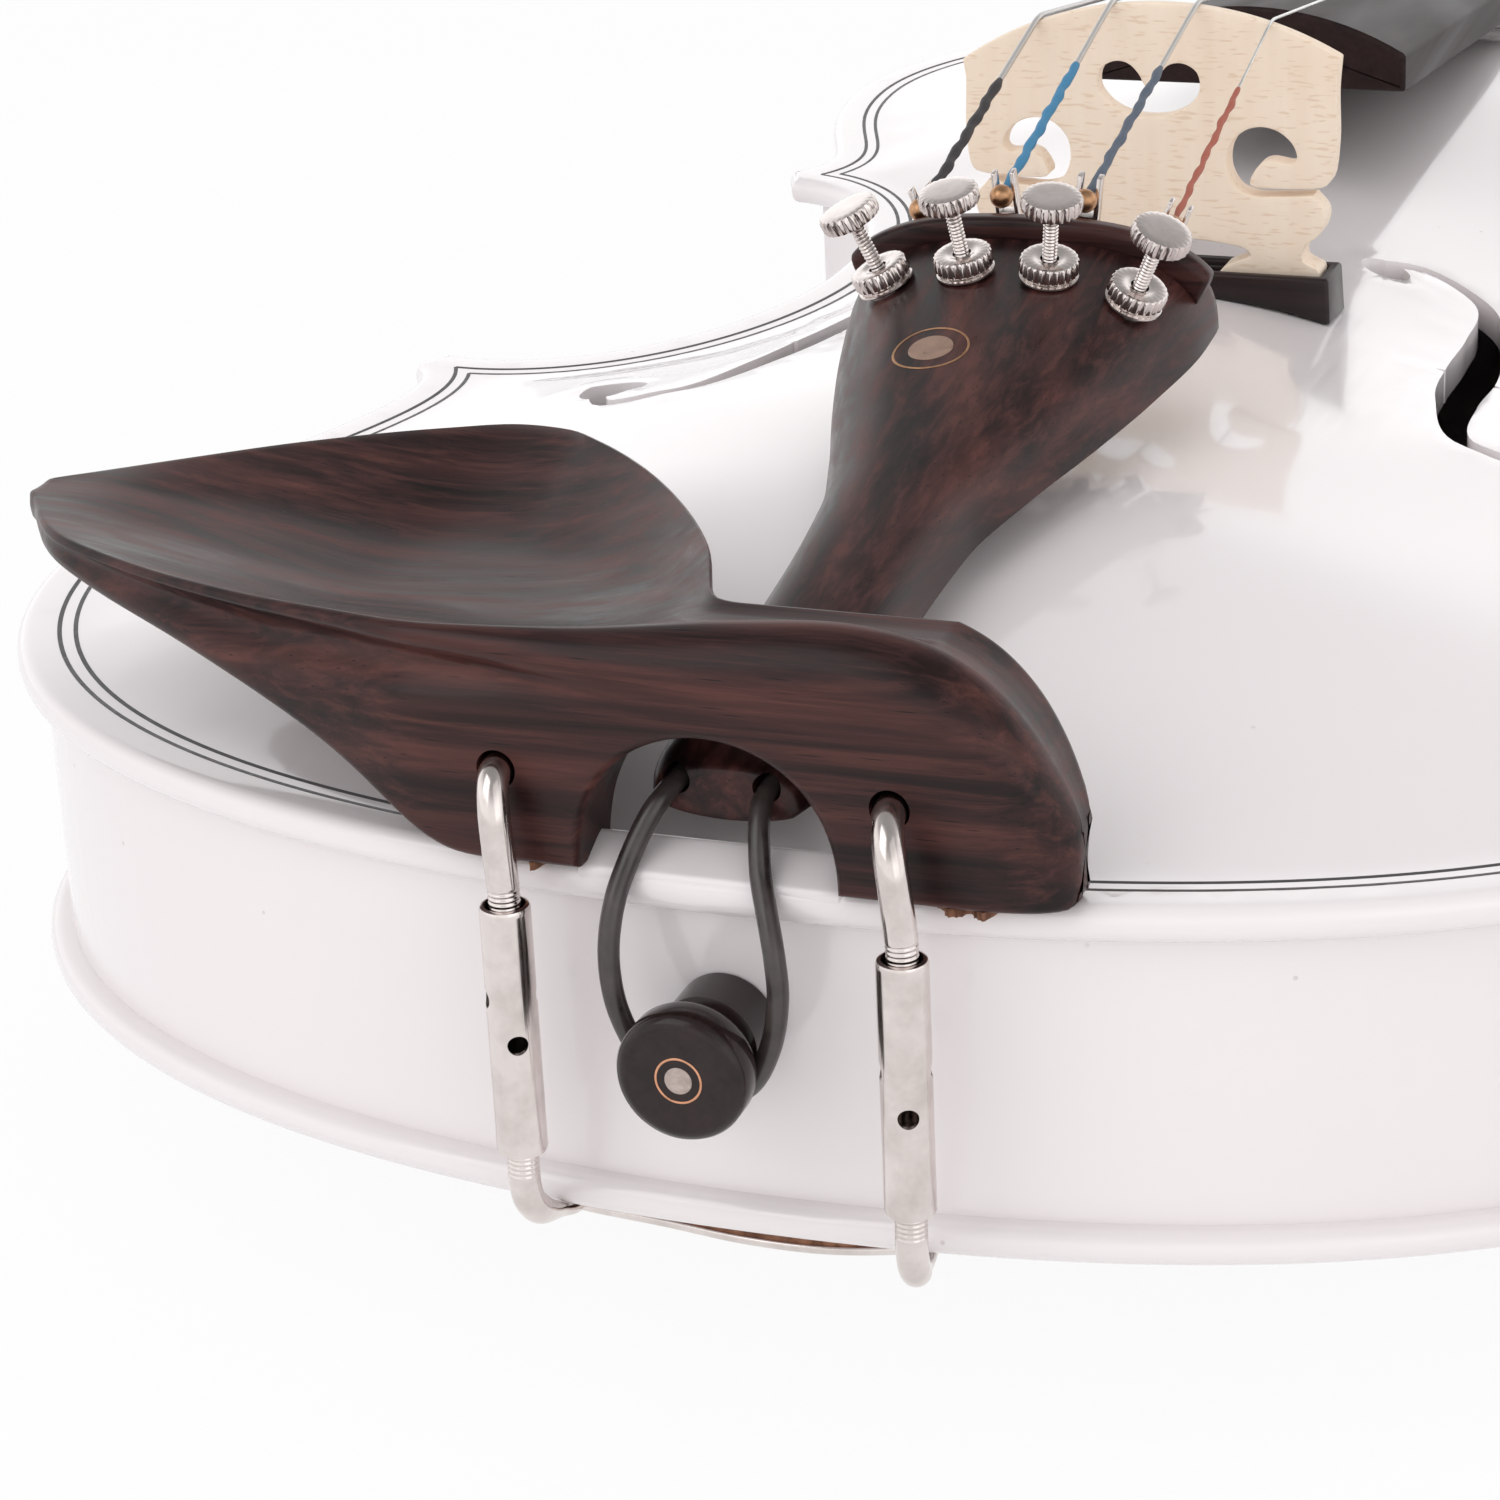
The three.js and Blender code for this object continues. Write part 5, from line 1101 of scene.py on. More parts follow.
@dataclass
class Plate:
    """A carved plate: rounded edge, shallow channel, then an arch that follows the outline."""

    arch: float = 12.6
    thickness: float = 3.0
    channel: float = 0.3
    margin: float = 7.0
    channel_span: tuple = (2.6, 9.2)
    fall: tuple = (0.14, 178.0, 200.0)
    power: float = 1.35
    spacing: float = 2.6
    rounding: float = 1.6
    purfling: tuple = (4.75, 6.5)
    purfling_width: float = 0.5
    fill: tuple = (
        (0, 70.4), (74.1, 97.6), (142.4, 68.6), (195.4, 54.9), (237.1, 63.1), (292.6, 79.9), (356, 61.2),
    )
    loop: Array = field(default_factory=outline_loop)

    def rise(self, places: Array) -> Array:
        """Height over the edge's face.

        From the margin inward the height is the arch times the sine of the share of the
        way to the crest, to a power a little over one, and falls off to both ends with
        the square of the distance from the middle. The channel is a squared sine.
        """
        inward = distance(places, self.loop)
        reach = smooth_along(self.fill, places[:, 1], 12) - self.margin
        share = np.clip((inward - self.margin) / reach, 0, 1)
        amount, middle, length = self.fall
        lengthwise = 1 - amount * ((places[:, 1] - middle) / length) ** 2
        start, end = self.channel_span
        dip = np.sin(np.pi * np.clip((inward - start) / (end - start), 0, 1)) ** 2
        return self.arch * lengthwise * np.sin(share * np.pi / 2) ** self.power - self.channel * dip

    def solid(self, edge: float, holes: Sequence[Array] = ()) -> Shell:
        """The plate standing on its flat face at height zero, arch up."""
        def bottom(places: Array) -> Array:
            return np.maximum(0, self.rise(places) + edge - self.thickness - 1.2)

        lines = np.concatenate(self.purfling_lines())
        treble = lines[lines[:, 0] > 0.2]
        seams = np.unique(np.round(np.concatenate([treble, treble * [-1, 1]]), 3), axis=0)
        return rounded_slab(
            self.loop, holes, lambda p: edge + self.rise(p), bottom, self.rounding, self.spacing, 10, seams)

    def purfling_lines(self) -> list[Array]:
        """The treble half's purfling, one line for each run, mitred where two runs meet."""
        found = []
        for inset in self.purfling:
            lower, waist, upper = (outline_inset(name, inset, count=300) for name in RUNS)
            lower, waist = trimmed_at_crossing(lower, waist)
            waist, upper = trimmed_at_crossing(waist, upper)
            found += [lower, waist, upper]
        return found

    def ribbons(self, proud: float = 0.035, depth: float = 0.25) -> Shell:
        """The purfling on both sides as flat ribbons, let into the face and a hair proud of it."""
        strips = []
        for line in self.purfling_lines():
            left = lefts(line) * self.purfling_width / 2
            rails = [(line - left, proud), (line + left, proud), (line + left, -depth), (line - left, -depth)]
            rings = [np.column_stack([rail, self.rise(rail) + lift]) for rail, lift in rails]
            strips.append(skin(np.stack(rings, 1)))
        return strips[0].plus(*strips[1:], *(strip.reflected() for strip in strips))


def trimmed_at_crossing(first: Array, second: Array) -> tuple[Array, Array]:
    """Two lines cut where they cross: the first keeps its start, the second its end.

    A crossing is where a span p + s u of one meets a span q + t v of the other with
    both shares from 0 to 1; the shares come from cross products of the spans.
    """
    u, v = np.diff(first, axis=0)[:, None], np.diff(second, axis=0)[None]
    gap = second[None, :-1] - first[:-1, None]
    turn = u[..., 0] * v[..., 1] - u[..., 1] * v[..., 0]
    turn = np.where(np.abs(turn) < 1e-12, 1e-12, turn)
    s = (gap[..., 0] * v[..., 1] - gap[..., 1] * v[..., 0]) / turn
    t = (gap[..., 0] * u[..., 1] - gap[..., 1] * u[..., 0]) / turn
    hits = np.argwhere((s >= 0) & (s <= 1) & (t >= 0) & (t <= 1))
    if not len(hits):
        return first, second
    i, j = hits[0]
    place = first[i] + s[i, j] * (first[i + 1] - first[i])
    return np.concatenate([first[: i + 1], [place]]), np.concatenate([[place], second[j + 1 :]])


@dataclass
class Body:
    """The sound box: both plates with their purfling, the ribs and the inner woodwork."""

    wardrobe: Wardrobe
    belly: Plate = field(default_factory=Plate)
    back: Plate = field(default_factory=lambda: Plate(14.0, 3.2, 0.25))
    overhang: float = 2.6
    rib_thick: float = 1.2
    setback: float = 3.6
    neck_half: float = 15.6
    upper_eye: tuple = (24.1, 182.0, 3.1)
    lower_eye: tuple = (58.2, 121.6, 4.2)
    stem_half: float = 3.0
    end_half: float = 1.0
    stem_shares: tuple = (
        (0.13, 0.09), (0.36, 0.02), (0.46, -0.25), (0.5, -0.5), (0.54, -0.78), (0.68, -1.08), (0.94, -1.12),
    )
    mortise: tuple = ((-16.8, 16.8), (350.7, 358), (RIB_TOP - 1, 14))
    button_radius: float = 10.6
    button_sunk: float = 0.02
    post_hole: float = 3.9
    post_z: float = -15.35

    def sound_hole(self) -> Array:
        """The treble f: a swept stem that swells by a cubed sine, two eyes and two nicks."""
        (ux, uy, ue), (lx, ly, le) = self.upper_eye, self.lower_eye
        inner = [(ux + (lx - ux) * a, uy + (uy - ly) * b) for a, b in self.stem_shares]
        line = through([(ux - 0.4 * ue, uy + 0.4 * ue), *inner, (lx + 0.4 * le, ly - 0.4 * le)], 60)
        swell = np.sin(np.linspace(0, np.pi, 60)) ** 3
        half = lefts(line) * (self.end_half + (self.stem_half - self.end_half) * swell)[:, None]
        stem = np.concatenate([line - half, (line + half)[::-1]])
        nicks = [
            line[30] + np.array([(w * (self.stem_half + 1.1), 0), (w * 1.5, 1.3), (w * 1.5, -1.3)])
            for w in (1, -1)
        ]
        return merged_outline([stem, circle(ux, uy, ue), circle(lx, ly, le), *nicks])

    def build_belly(self) -> None:
        """The belly with its two sound holes and its root mortise."""
        f_hole = self.sound_hole()
        shell = self.belly.solid(BELLY_EDGE, [f_hole, (f_hole * [-1, 1])[::-1]])
        root = block(*self.mortise)
        belly = softened(new_object("belly", shell.moved(0, 0, RIB_TOP)), 0.45, 3, 60)
        finish_piece(carve(belly, root), self.wardrobe["white_lacquer"], "top_plate")
        lines = carve(new_object("belly_purfling", self.belly.ribbons()), root)
        finish_piece(lines, self.wardrobe["purfling"], slot="ebony")

    def build_back(self) -> None:
        """The back, arch down, with the half-round button under the heel."""
        lacquer, over = self.wardrobe["white_lacquer"], (1, 1, -1)
        back = new_object("back", self.back.solid(BACK_EDGE).reflected(over, RIB_BOTTOM))
        finish_piece(back, lacquer, "back_plate")
        plan = circle(0, BODY_LENGTH, self.button_radius, 72)
        top, bottom = level_at(RIB_BOTTOM - self.button_sunk), level_at(BACK_BOTTOM + self.button_sunk)
        disc = rounded_slab(plan, [], top, bottom, 1.2, 2.5)
        finish_piece(new_object("back_button", disc), lacquer)
        lines = new_object("back_purfling", self.back.ribbons().reflected(over, BACK_BOTTOM))
        finish_piece(lines, self.wardrobe["purfling"], slot="ebony")

    def build_ribs(self) -> None:
        """Six standing ribs, each a wall between two insets of its run."""
        trims = ((0.0, self.setback), (self.setback, self.setback), (self.setback, self.neck_half))
        for run, trim in zip(RUNS, trims):
            outer, inner = (outline_inset(run, self.overhang + more, trim) for more in (0, self.rib_thick))
            corners = [(outer, RIB_BOTTOM), (outer, RIB_TOP), (inner, RIB_TOP), (inner, RIB_BOTTOM)]
            rings = [np.column_stack([line, np.full(len(line), z)]) for line, z in corners]
            treble = skin(np.stack(rings, 1))
            for side, shell in (("treble", treble), ("bass", treble.reflected())):
                wall = new_object(f"{run}_rib_wall_{side}", shell)
                if run == "lower":
                    carve(wall, rod_along_y(0, self.post_z, self.post_hole, -1, 6))
                finish_piece(wall, self.wardrobe["white_lacquer"], f"{run}_rib_{side}")

    def dress_inside(self) -> None:
        """Lacquer on the blocks that show between two ribs, and bare spruce on the rest."""
        for node in ("lower_block", "top_linings", "back_linings", "sound_post", "bass_bar"):
            dress_node(node, self.wardrobe["spruce"])
        corners = [f"{end}_corner_block_{side}" for end in ("lower", "upper") for side in ("bass", "treble")]
        for node in (*corners, "upper_block"):
            dress_node(node, self.wardrobe["white_lacquer"])

    def build(self) -> None:
        """Builds the whole box."""
        self.build_belly()
        self.build_back()
        self.build_ribs()
        self.dress_inside()


# Neck, board and pegs


@dataclass(frozen=True)
class Board:
    """Neck, fingerboard and nut: a long taper with a round top, glued along a falling line."""

    end_y: float = 206.5
    end_half: float = 21.2
    nut_half: float = 12.0
    edge: float = 5.0
    radius: float = 42.0
    slope: float = math.tan(math.radians(7))
    overstand: float = 6.0
    nut_thick: float = 5.5
    nut_rise: float = 1.0
    string_span: float = 16.5

    def glue_line(self, y: Number) -> Number:
        """Height of the glue line at a place along the neck."""
        return self.overstand - (y - BODY_LENGTH) * self.slope

    def half(self, y: float) -> float:
        """Half the board's width."""
        share = (y - self.end_y) / (NUT_Y - self.end_y)
        return self.end_half + (self.nut_half - self.end_half) * share

    def top(self, x: Number, y: float, half: float, rise: float) -> Number:
        """Height of the round top: a circle's sag over its chord."""
        sag = np.sqrt(self.radius**2 - np.square(x)) - math.sqrt(self.radius**2 - half**2)
        return self.glue_line(y) + GAP + self.edge + rise + sag

    def section(self, y: float, rise: float = 0.0, half: Optional[float] = None) -> Array:
        """The board's or the nut's section, counter-clockwise in x and z."""
        half = self.half(y) if half is None else half
        low = self.glue_line(y) + GAP
        x = np.linspace(half, -half, 22)
        top = np.stack([x, self.top(x, y, half, rise)], 1)
        return rounded([(-half, low), (half, low), *top.tolist()], 0.5, 3)

    def build(self, wardrobe: Wardrobe) -> None:
        """Rounds the carved neck's edges, then builds the board and the nut."""
        finish_piece(refined("neck", 0.7), wardrobe["white_lacquer"], "neck", crease=40)
        board = lofted(self.section, np.linspace(self.end_y, NUT_Y - GAP, 90), 0.7)
        finish_piece(new_object("board", board), wardrobe["ebony"], "fingerboard")
        stops = np.linspace(NUT_Y, NUT_Y + self.nut_thick, 12)
        nut = lofted(lambda y: self.section(y, self.nut_rise, self.nut_half), stops, 0.9)
        finish_piece(new_object("top_nut", nut), wardrobe["ebony_across"], "nut", "ebony")


@dataclass(frozen=True)
class Peg:
    """One peg's side and its place along the pegbox."""

    name: str
    side: int
    along: float
    lane: float


@dataclass(frozen=True)
class Pegs:
    """Four tapered pegs with collars and flat oval heads."""

    board: Board
    slope: float = math.radians(12)
    box_length: float = 72.0
    box_half: float = 12.2
    box_end_half: float = 7.5
    depth: float = 9.5
    tip_radius: float = 3.3
    head_radius: float = 4.0
    stand_off: float = 7.0
    tip_out: float = 1.5
    head_half: float = 10.9
    head_length: float = 16.9
    head_thick: float = 7.4
    head_base: float = 4.0
    hollow: float = 0.34
    hollow_reach: float = 5.2
    places: tuple = (Peg("g", -1, 16, -5), Peg("d", -1, 43, -2), Peg("a", 1, 56.5, 2), Peg("e", 1, 29.5, 5))

    def box_point(self, u: float, v: float) -> tuple[float, float]:
        """Where a place along the pegbox and up from it lies in y and z."""
        cos, sin = math.cos(self.slope), math.sin(self.slope)
        return NUT_Y + u * cos + v * sin, float(self.board.glue_line(NUT_Y)) - u * sin + v * cos

    def cheek(self, u: float) -> float:
        """Half the pegbox's width."""
        return self.box_half + (self.box_end_half - self.box_half) * u / self.box_length

    def radius(self, x: float) -> float:
        """The taper's radius, growing to the head."""
        share = (x + self.box_half) / (2 * self.box_half)
        return self.tip_radius + (self.head_radius - self.tip_radius) * share

    def shell(self, peg: Peg) -> Shell:
        """One peg along local z, tip low: a turned shaft, and a head with hollowed cheeks."""
        collar = self.cheek(peg.along) + self.stand_off
        tip = -self.cheek(peg.along) - self.tip_out
        foot, root = self.radius(tip), self.radius(collar)
        turned = [
            (5.2, 0.1), (5.6, 0.7), (5.5, 1.6), (4.6, 2.1), (4.5, 2.8), (3.7, 3.6), (3.2, 4.6), (3.0, 7.2),
            (3.3, 10), (0, 10.6),
        ]
        profile = [
            (0, tip), (foot - 0.5, tip), (foot, tip + 0.6), (root, collar),
            *[(radius, collar + height) for radius, height in turned],
        ]
        shaft = revolved(spun(rounded(profile, 0.5, 4, closed=False), 40))
        up, around = np.linspace(0, np.pi, 34)[1:-1, None], turns(56)[None]
        reach = np.sin(up) ** 0.8
        wide = self.head_half * reach * np.cos(around)
        hollow = 1 - self.hollow * np.exp(-((wide / self.hollow_reach) ** 2)) * np.sin(up) ** 2
        thick = self.head_thick / 2 * reach * np.sin(around) * hollow
        base = collar + self.head_base
        length = base + self.head_length / 2 - self.head_length / 2 * np.cos(up) + 0 * wide
        ends = (np.array([0, 0, base]), np.array([0, 0, base + self.head_length]))
        return shaft.plus(skin(np.stack([thick, wide, length], -1), ends=ends))

    def build(self, wardrobe: Wardrobe) -> None:
        """Builds the pegs, each across the pegbox with its head on its own side."""
        for peg in self.places:
            shell, node = self.shell(peg), f"peg_{peg.name}"
            thick, wide, length = shell.points.T
            points = np.column_stack([peg.side * length, wide, -peg.side * thick])
            placed = shell.at(points).moved(0, *self.box_point(peg.along, -self.depth))
            obj = new_object(f"turned_{node}", placed)
            finish_piece(obj, wardrobe["rosewood_pegs"], node, "rosewood", body=node)


# Bridge


@dataclass(frozen=True)
class Bridge:
    """The bridge: shares of its half width and height, thinner to its top."""

    foot_z: float = 13.9
    half: float = 23.6
    height: float = 33.1
    treble_corner: float = 27.3
    bass_corner: float = 25.4
    crest_x: float = 2.0
    foot_thick: float = 4.4
    top_thick: float = 1.6
    rounding: float = 0.4
    arch: tuple = (
        (0.2, 0.132), (0.4, 0.12), (0.52, 0.102), (0.55, 0.08), (0.48, 0.055), (0.4, 0.026), (0.377, 0),
    )
    foot: tuple = (
        (0.915, 0), (0.915, 0.03), (0.82, 0.075), (0.83, 0.12), (0.915, 0.178), (0.937, 0.25),
        (0.87, 0.314),
    )
    kidney: tuple = (
        (0.87, 0.314), (0.7, 0.305), (0.56, 0.303), (0.47, 0.33), (0.42, 0.4), (0.43, 0.48), (0.5, 0.54),
        (0.6, 0.56), (0.7, 0.54), (0.77, 0.49), (0.785, 0.445), (0.76, 0.428), (0.64, 0.436), (0.59, 0.42),
        (0.545, 0.37), (0.54, 0.345), (0.57, 0.336), (0.7, 0.334), (0.87, 0.34),
    )
    wing: tuple = ((0.87, 0.34), (0.95, 0.36), (0.985, 0.5), (0.985, 0.7))
    heart: tuple = (
        (0, 0.578), (0.11, 0.588), (0.21, 0.625), (0.27, 0.685), (0.26, 0.745), (0.19, 0.78), (0.11, 0.775),
        (0.05, 0.735), (0.02, 0.695),
    )

    def top_height(self, x: Number) -> Number:
        """The top's height over the feet: a circle through both corners and the crest."""
        bass, treble = (-self.half, self.bass_corner), (self.half, self.treble_corner)
        points = np.array([bass, (self.crest_x, self.height), treble])
        system = np.column_stack([2 * points, np.ones(3)])
        a, b, c = np.linalg.solve(system, (points**2).sum(1))
        return b + np.sqrt(c + a * a + b * b - np.square(x - a))

    def side(self, corner_height: float) -> Array:
        """One side's outline from the arch's middle to just below its top corner."""
        arch = through([(0, 0.135), *self.arch], 36)
        sole = np.linspace(self.arch[-1], self.foot[0], 8)
        wing = through([*self.wing, (1.0, corner_height / self.height)], 24)
        runs = (arch, sole, through(self.foot, 22), through(self.kidney, 110), wing)
        return np.concatenate([run[:-1] for run in runs]) * [self.half, self.height]

    def outline(self) -> Array:
        """The whole outline, counter-clockwise in x and height."""
        side = self.side(self.treble_corner)
        x = np.linspace(self.half, -self.half, 60)
        top = np.stack([x, self.top_height(x)], 1)
        bass = (self.side(self.bass_corner)[1:] * [-1, 1])[::-1]
        return np.concatenate([side, top, bass])

    def half_thickness(self, places: Array) -> Array:
        """Half the thickness: an even taper from feet to top."""
        share = np.clip(places[:, 1] / self.height, 0, 1)
        return (self.foot_thick + (self.top_thick - self.foot_thick) * share) / 2

    def build(self, wardrobe: Wardrobe) -> None:
        """Builds the bridge on its dark bar."""
        heart = through([*self.heart, *[(-x, z) for x, z in self.heart[:0:-1]]], 72, closed=True)
        heart = heart * [self.half, self.height]
        half = self.half_thickness
        shell = rounded_slab(self.outline(), [heart], half, lambda p: -half(p), 0, 1.1)
        x, height, depth = shell.points.T
        placed = shell.at(np.column_stack([x, BRIDGE_Y - depth, self.foot_z + height]))
        bridge = softened(new_object("carved_bridge", placed), self.rounding, 3, 55)
        finish_piece(bridge, wardrobe["maple"], "bridge", crease=45)
        finish_piece(refined("bridge_bar", 0.45), wardrobe["ebony_across"], "bridge_bar", "ebony")


# Tailpiece, tuners and strings


@dataclass(frozen=True)
class Tailpiece:
    """A crowned wedge: shares of its length, of its half width and of its crest's rise."""

    start: float = 5.0
    end: float = 110.5
    head_half: float = 21.0
    tail_edge: float = 5.6
    head_edge: float = 21.6
    tail_crest: float = 9.2
    crest_rise: float = 24.0
    wall: float = 4.0
    belly: float = 1.8
    hollow: tuple = (52.0, 90.0)
    crown_power: float = 2.6
    under_reach: float = 0.86
    halves: tuple = (
        (0, 0.34), (0.03, 0.4), (0.14, 0.375), (0.33, 0.355), (0.47, 0.39), (0.59, 0.53), (0.7, 0.7),
        (0.82, 0.86), (0.94, 0.97), (1, 0.98),
    )
    crests: tuple = (
        (0, 0), (0.03, 0.06), (0.14, 0.17), (0.33, 0.36), (0.47, 0.49), (0.59, 0.61), (0.7, 0.73),
        (0.82, 0.85), (0.94, 0.96), (1, 1),
    )
    gut_places: tuple = (-4.9, 4.1)
    gut_z: float = 7.8
    gut_bore: float = 1.4
    gut_reach: tuple = (4.0, 14.0)
    fret_y: float = 105.6
    fret_width: float = 3.0
    fret_rise: float = 2.1
    fret_sink: float = 1.2
    inlay: tuple = (-3.5, 80.0)
    ring_radii: tuple = (3.95, 4.2)
    dot_radius: float = 2.45

    def share(self, y: Number) -> Number:
        """A place along the tailpiece as a share of its length."""
        return (y - self.start) / (self.end - self.start)

    def half(self, y: Number) -> Array:
        """Half the width."""
        return self.head_half * smooth_along(self.halves, self.share(y), 0.012)

    def edge(self, y: Number) -> Number:
        """Height of the lower edge of its sides."""
        return self.tail_edge + (self.head_edge - self.tail_edge) * self.share(y)

    def crest(self, y: Number) -> Array:
        """Height of the middle."""
        return self.tail_crest + self.crest_rise * smooth_along(self.crests, self.share(y), 0.02)

    def crown(self, share: Number) -> Number:
        """Height across the crown, as a share: full in the middle, rounded off at the sides."""
        inner = np.clip(np.abs(share), 0, 1) ** self.crown_power
        return (1 - inner) ** (1 / self.crown_power)

    def top(self, places: Array) -> Array:
        """Height of the upper face over flat points."""
        y = places[:, 1]
        edge = self.edge(y)
        return edge + (self.crest(y) - edge) * self.crown(places[:, 0] / self.half(y))

    def section(self, y: float) -> Array:
        """The section, counter-clockwise in x and z; hollow below towards the head."""
        half, edge = float(self.half(y)), float(self.edge(y))
        crest = float(self.crest(y)) - edge
        low, high = self.hollow
        hollow = float(ease((y - low) / (high - low)))
        turn = np.linspace(0, np.pi, 50)
        top = np.stack([half * np.cos(turn), edge + crest * self.crown(np.cos(turn))], 1)
        share = np.linspace(-self.under_reach, self.under_reach, 27)
        solid = edge - self.belly * np.sqrt(1 - share**2)
        hollowed = edge + crest * self.crown(share) - self.wall
        under = np.stack([half * share, solid + (hollowed - solid) * hollow], 1)
        return np.concatenate([top, under])

    def fret(self) -> Shell:
        """The raised ridge over the head, its top corners rounded."""
        turn = np.linspace(0, np.pi, 72)
        share = np.cos(turn)
        half = float(self.half(self.fret_y))
        crown = self.top(np.column_stack([half * share * 0.93, np.full(72, self.fret_y)]))
        base = np.stack([(half - self.fret_sink) * share, crown - self.fret_sink], 1)
        tip = np.stack([(half + self.fret_rise * 0.35) * share, crown + self.fret_rise], 1)
        wide, tall = self.fret_width / 2, self.fret_rise + self.fret_sink
        loop = rounded([(-wide, 0), (wide, 0), (wide, tall), (-wide, tall)], 1.1, 5)
        from_end = np.clip(np.minimum(turn, np.pi - turn) / 0.2, 0.02, 1)
        round_off = np.sqrt(np.clip(1 - (1 - from_end) ** 2, 0, 1))
        rise = (loop[:, 1] / tall)[None, :, None] * round_off[:, None, None]
        flat = base[:, None] * (1 - rise) + tip[:, None] * rise
        along = self.fret_y + loop[None, :, 0] * (0.35 + 0.65 * round_off[:, None])
        return skin(np.stack([flat[..., 0], along, flat[..., 1]], -1))

    def build(self, wardrobe: Wardrobe, notches: list[Shell]) -> None:
        """Builds the tailpiece, its ridge and its inlaid ring and dot.

        Args:
            wardrobe: the finishes.
            notches: closed shells cut out of the head's edge, where the levers swing.
        """
        shell = lofted(self.section, np.linspace(self.start, self.end, 130), 1.0)
        holes = [rod_along_y(x, self.gut_z, self.gut_bore, *self.gut_reach, 40) for x in self.gut_places]
        piece = carve(new_object("crowned_tailpiece", shell), *holes, *notches)
        finish_piece(piece, wardrobe["rosewood_tailpiece"], "tailpiece", "rosewood", 50)
        ridge = new_object("head_ridge", self.fret())
        finish_piece(ridge, wardrobe["rosewood_chinrest"], "tailpiece_fret", "ebony", 60)
        inlays = (("ring", self.ring_radii, "brass"), ("dot", (0, self.dot_radius), "bronze_shell"))
        for name, radii, finish in inlays:
            disc = on_surface(*self.inlay, *radii, self.top, 0.05, 0.4)
            finish_piece(new_object(f"inlaid_{name}", disc), wardrobe[finish], slot="nickel")


@dataclass(frozen=True)
class Tuner:
    """One fine tuner's place across the tailpiece and its lean."""

    name: str
    x: float
    lean: float


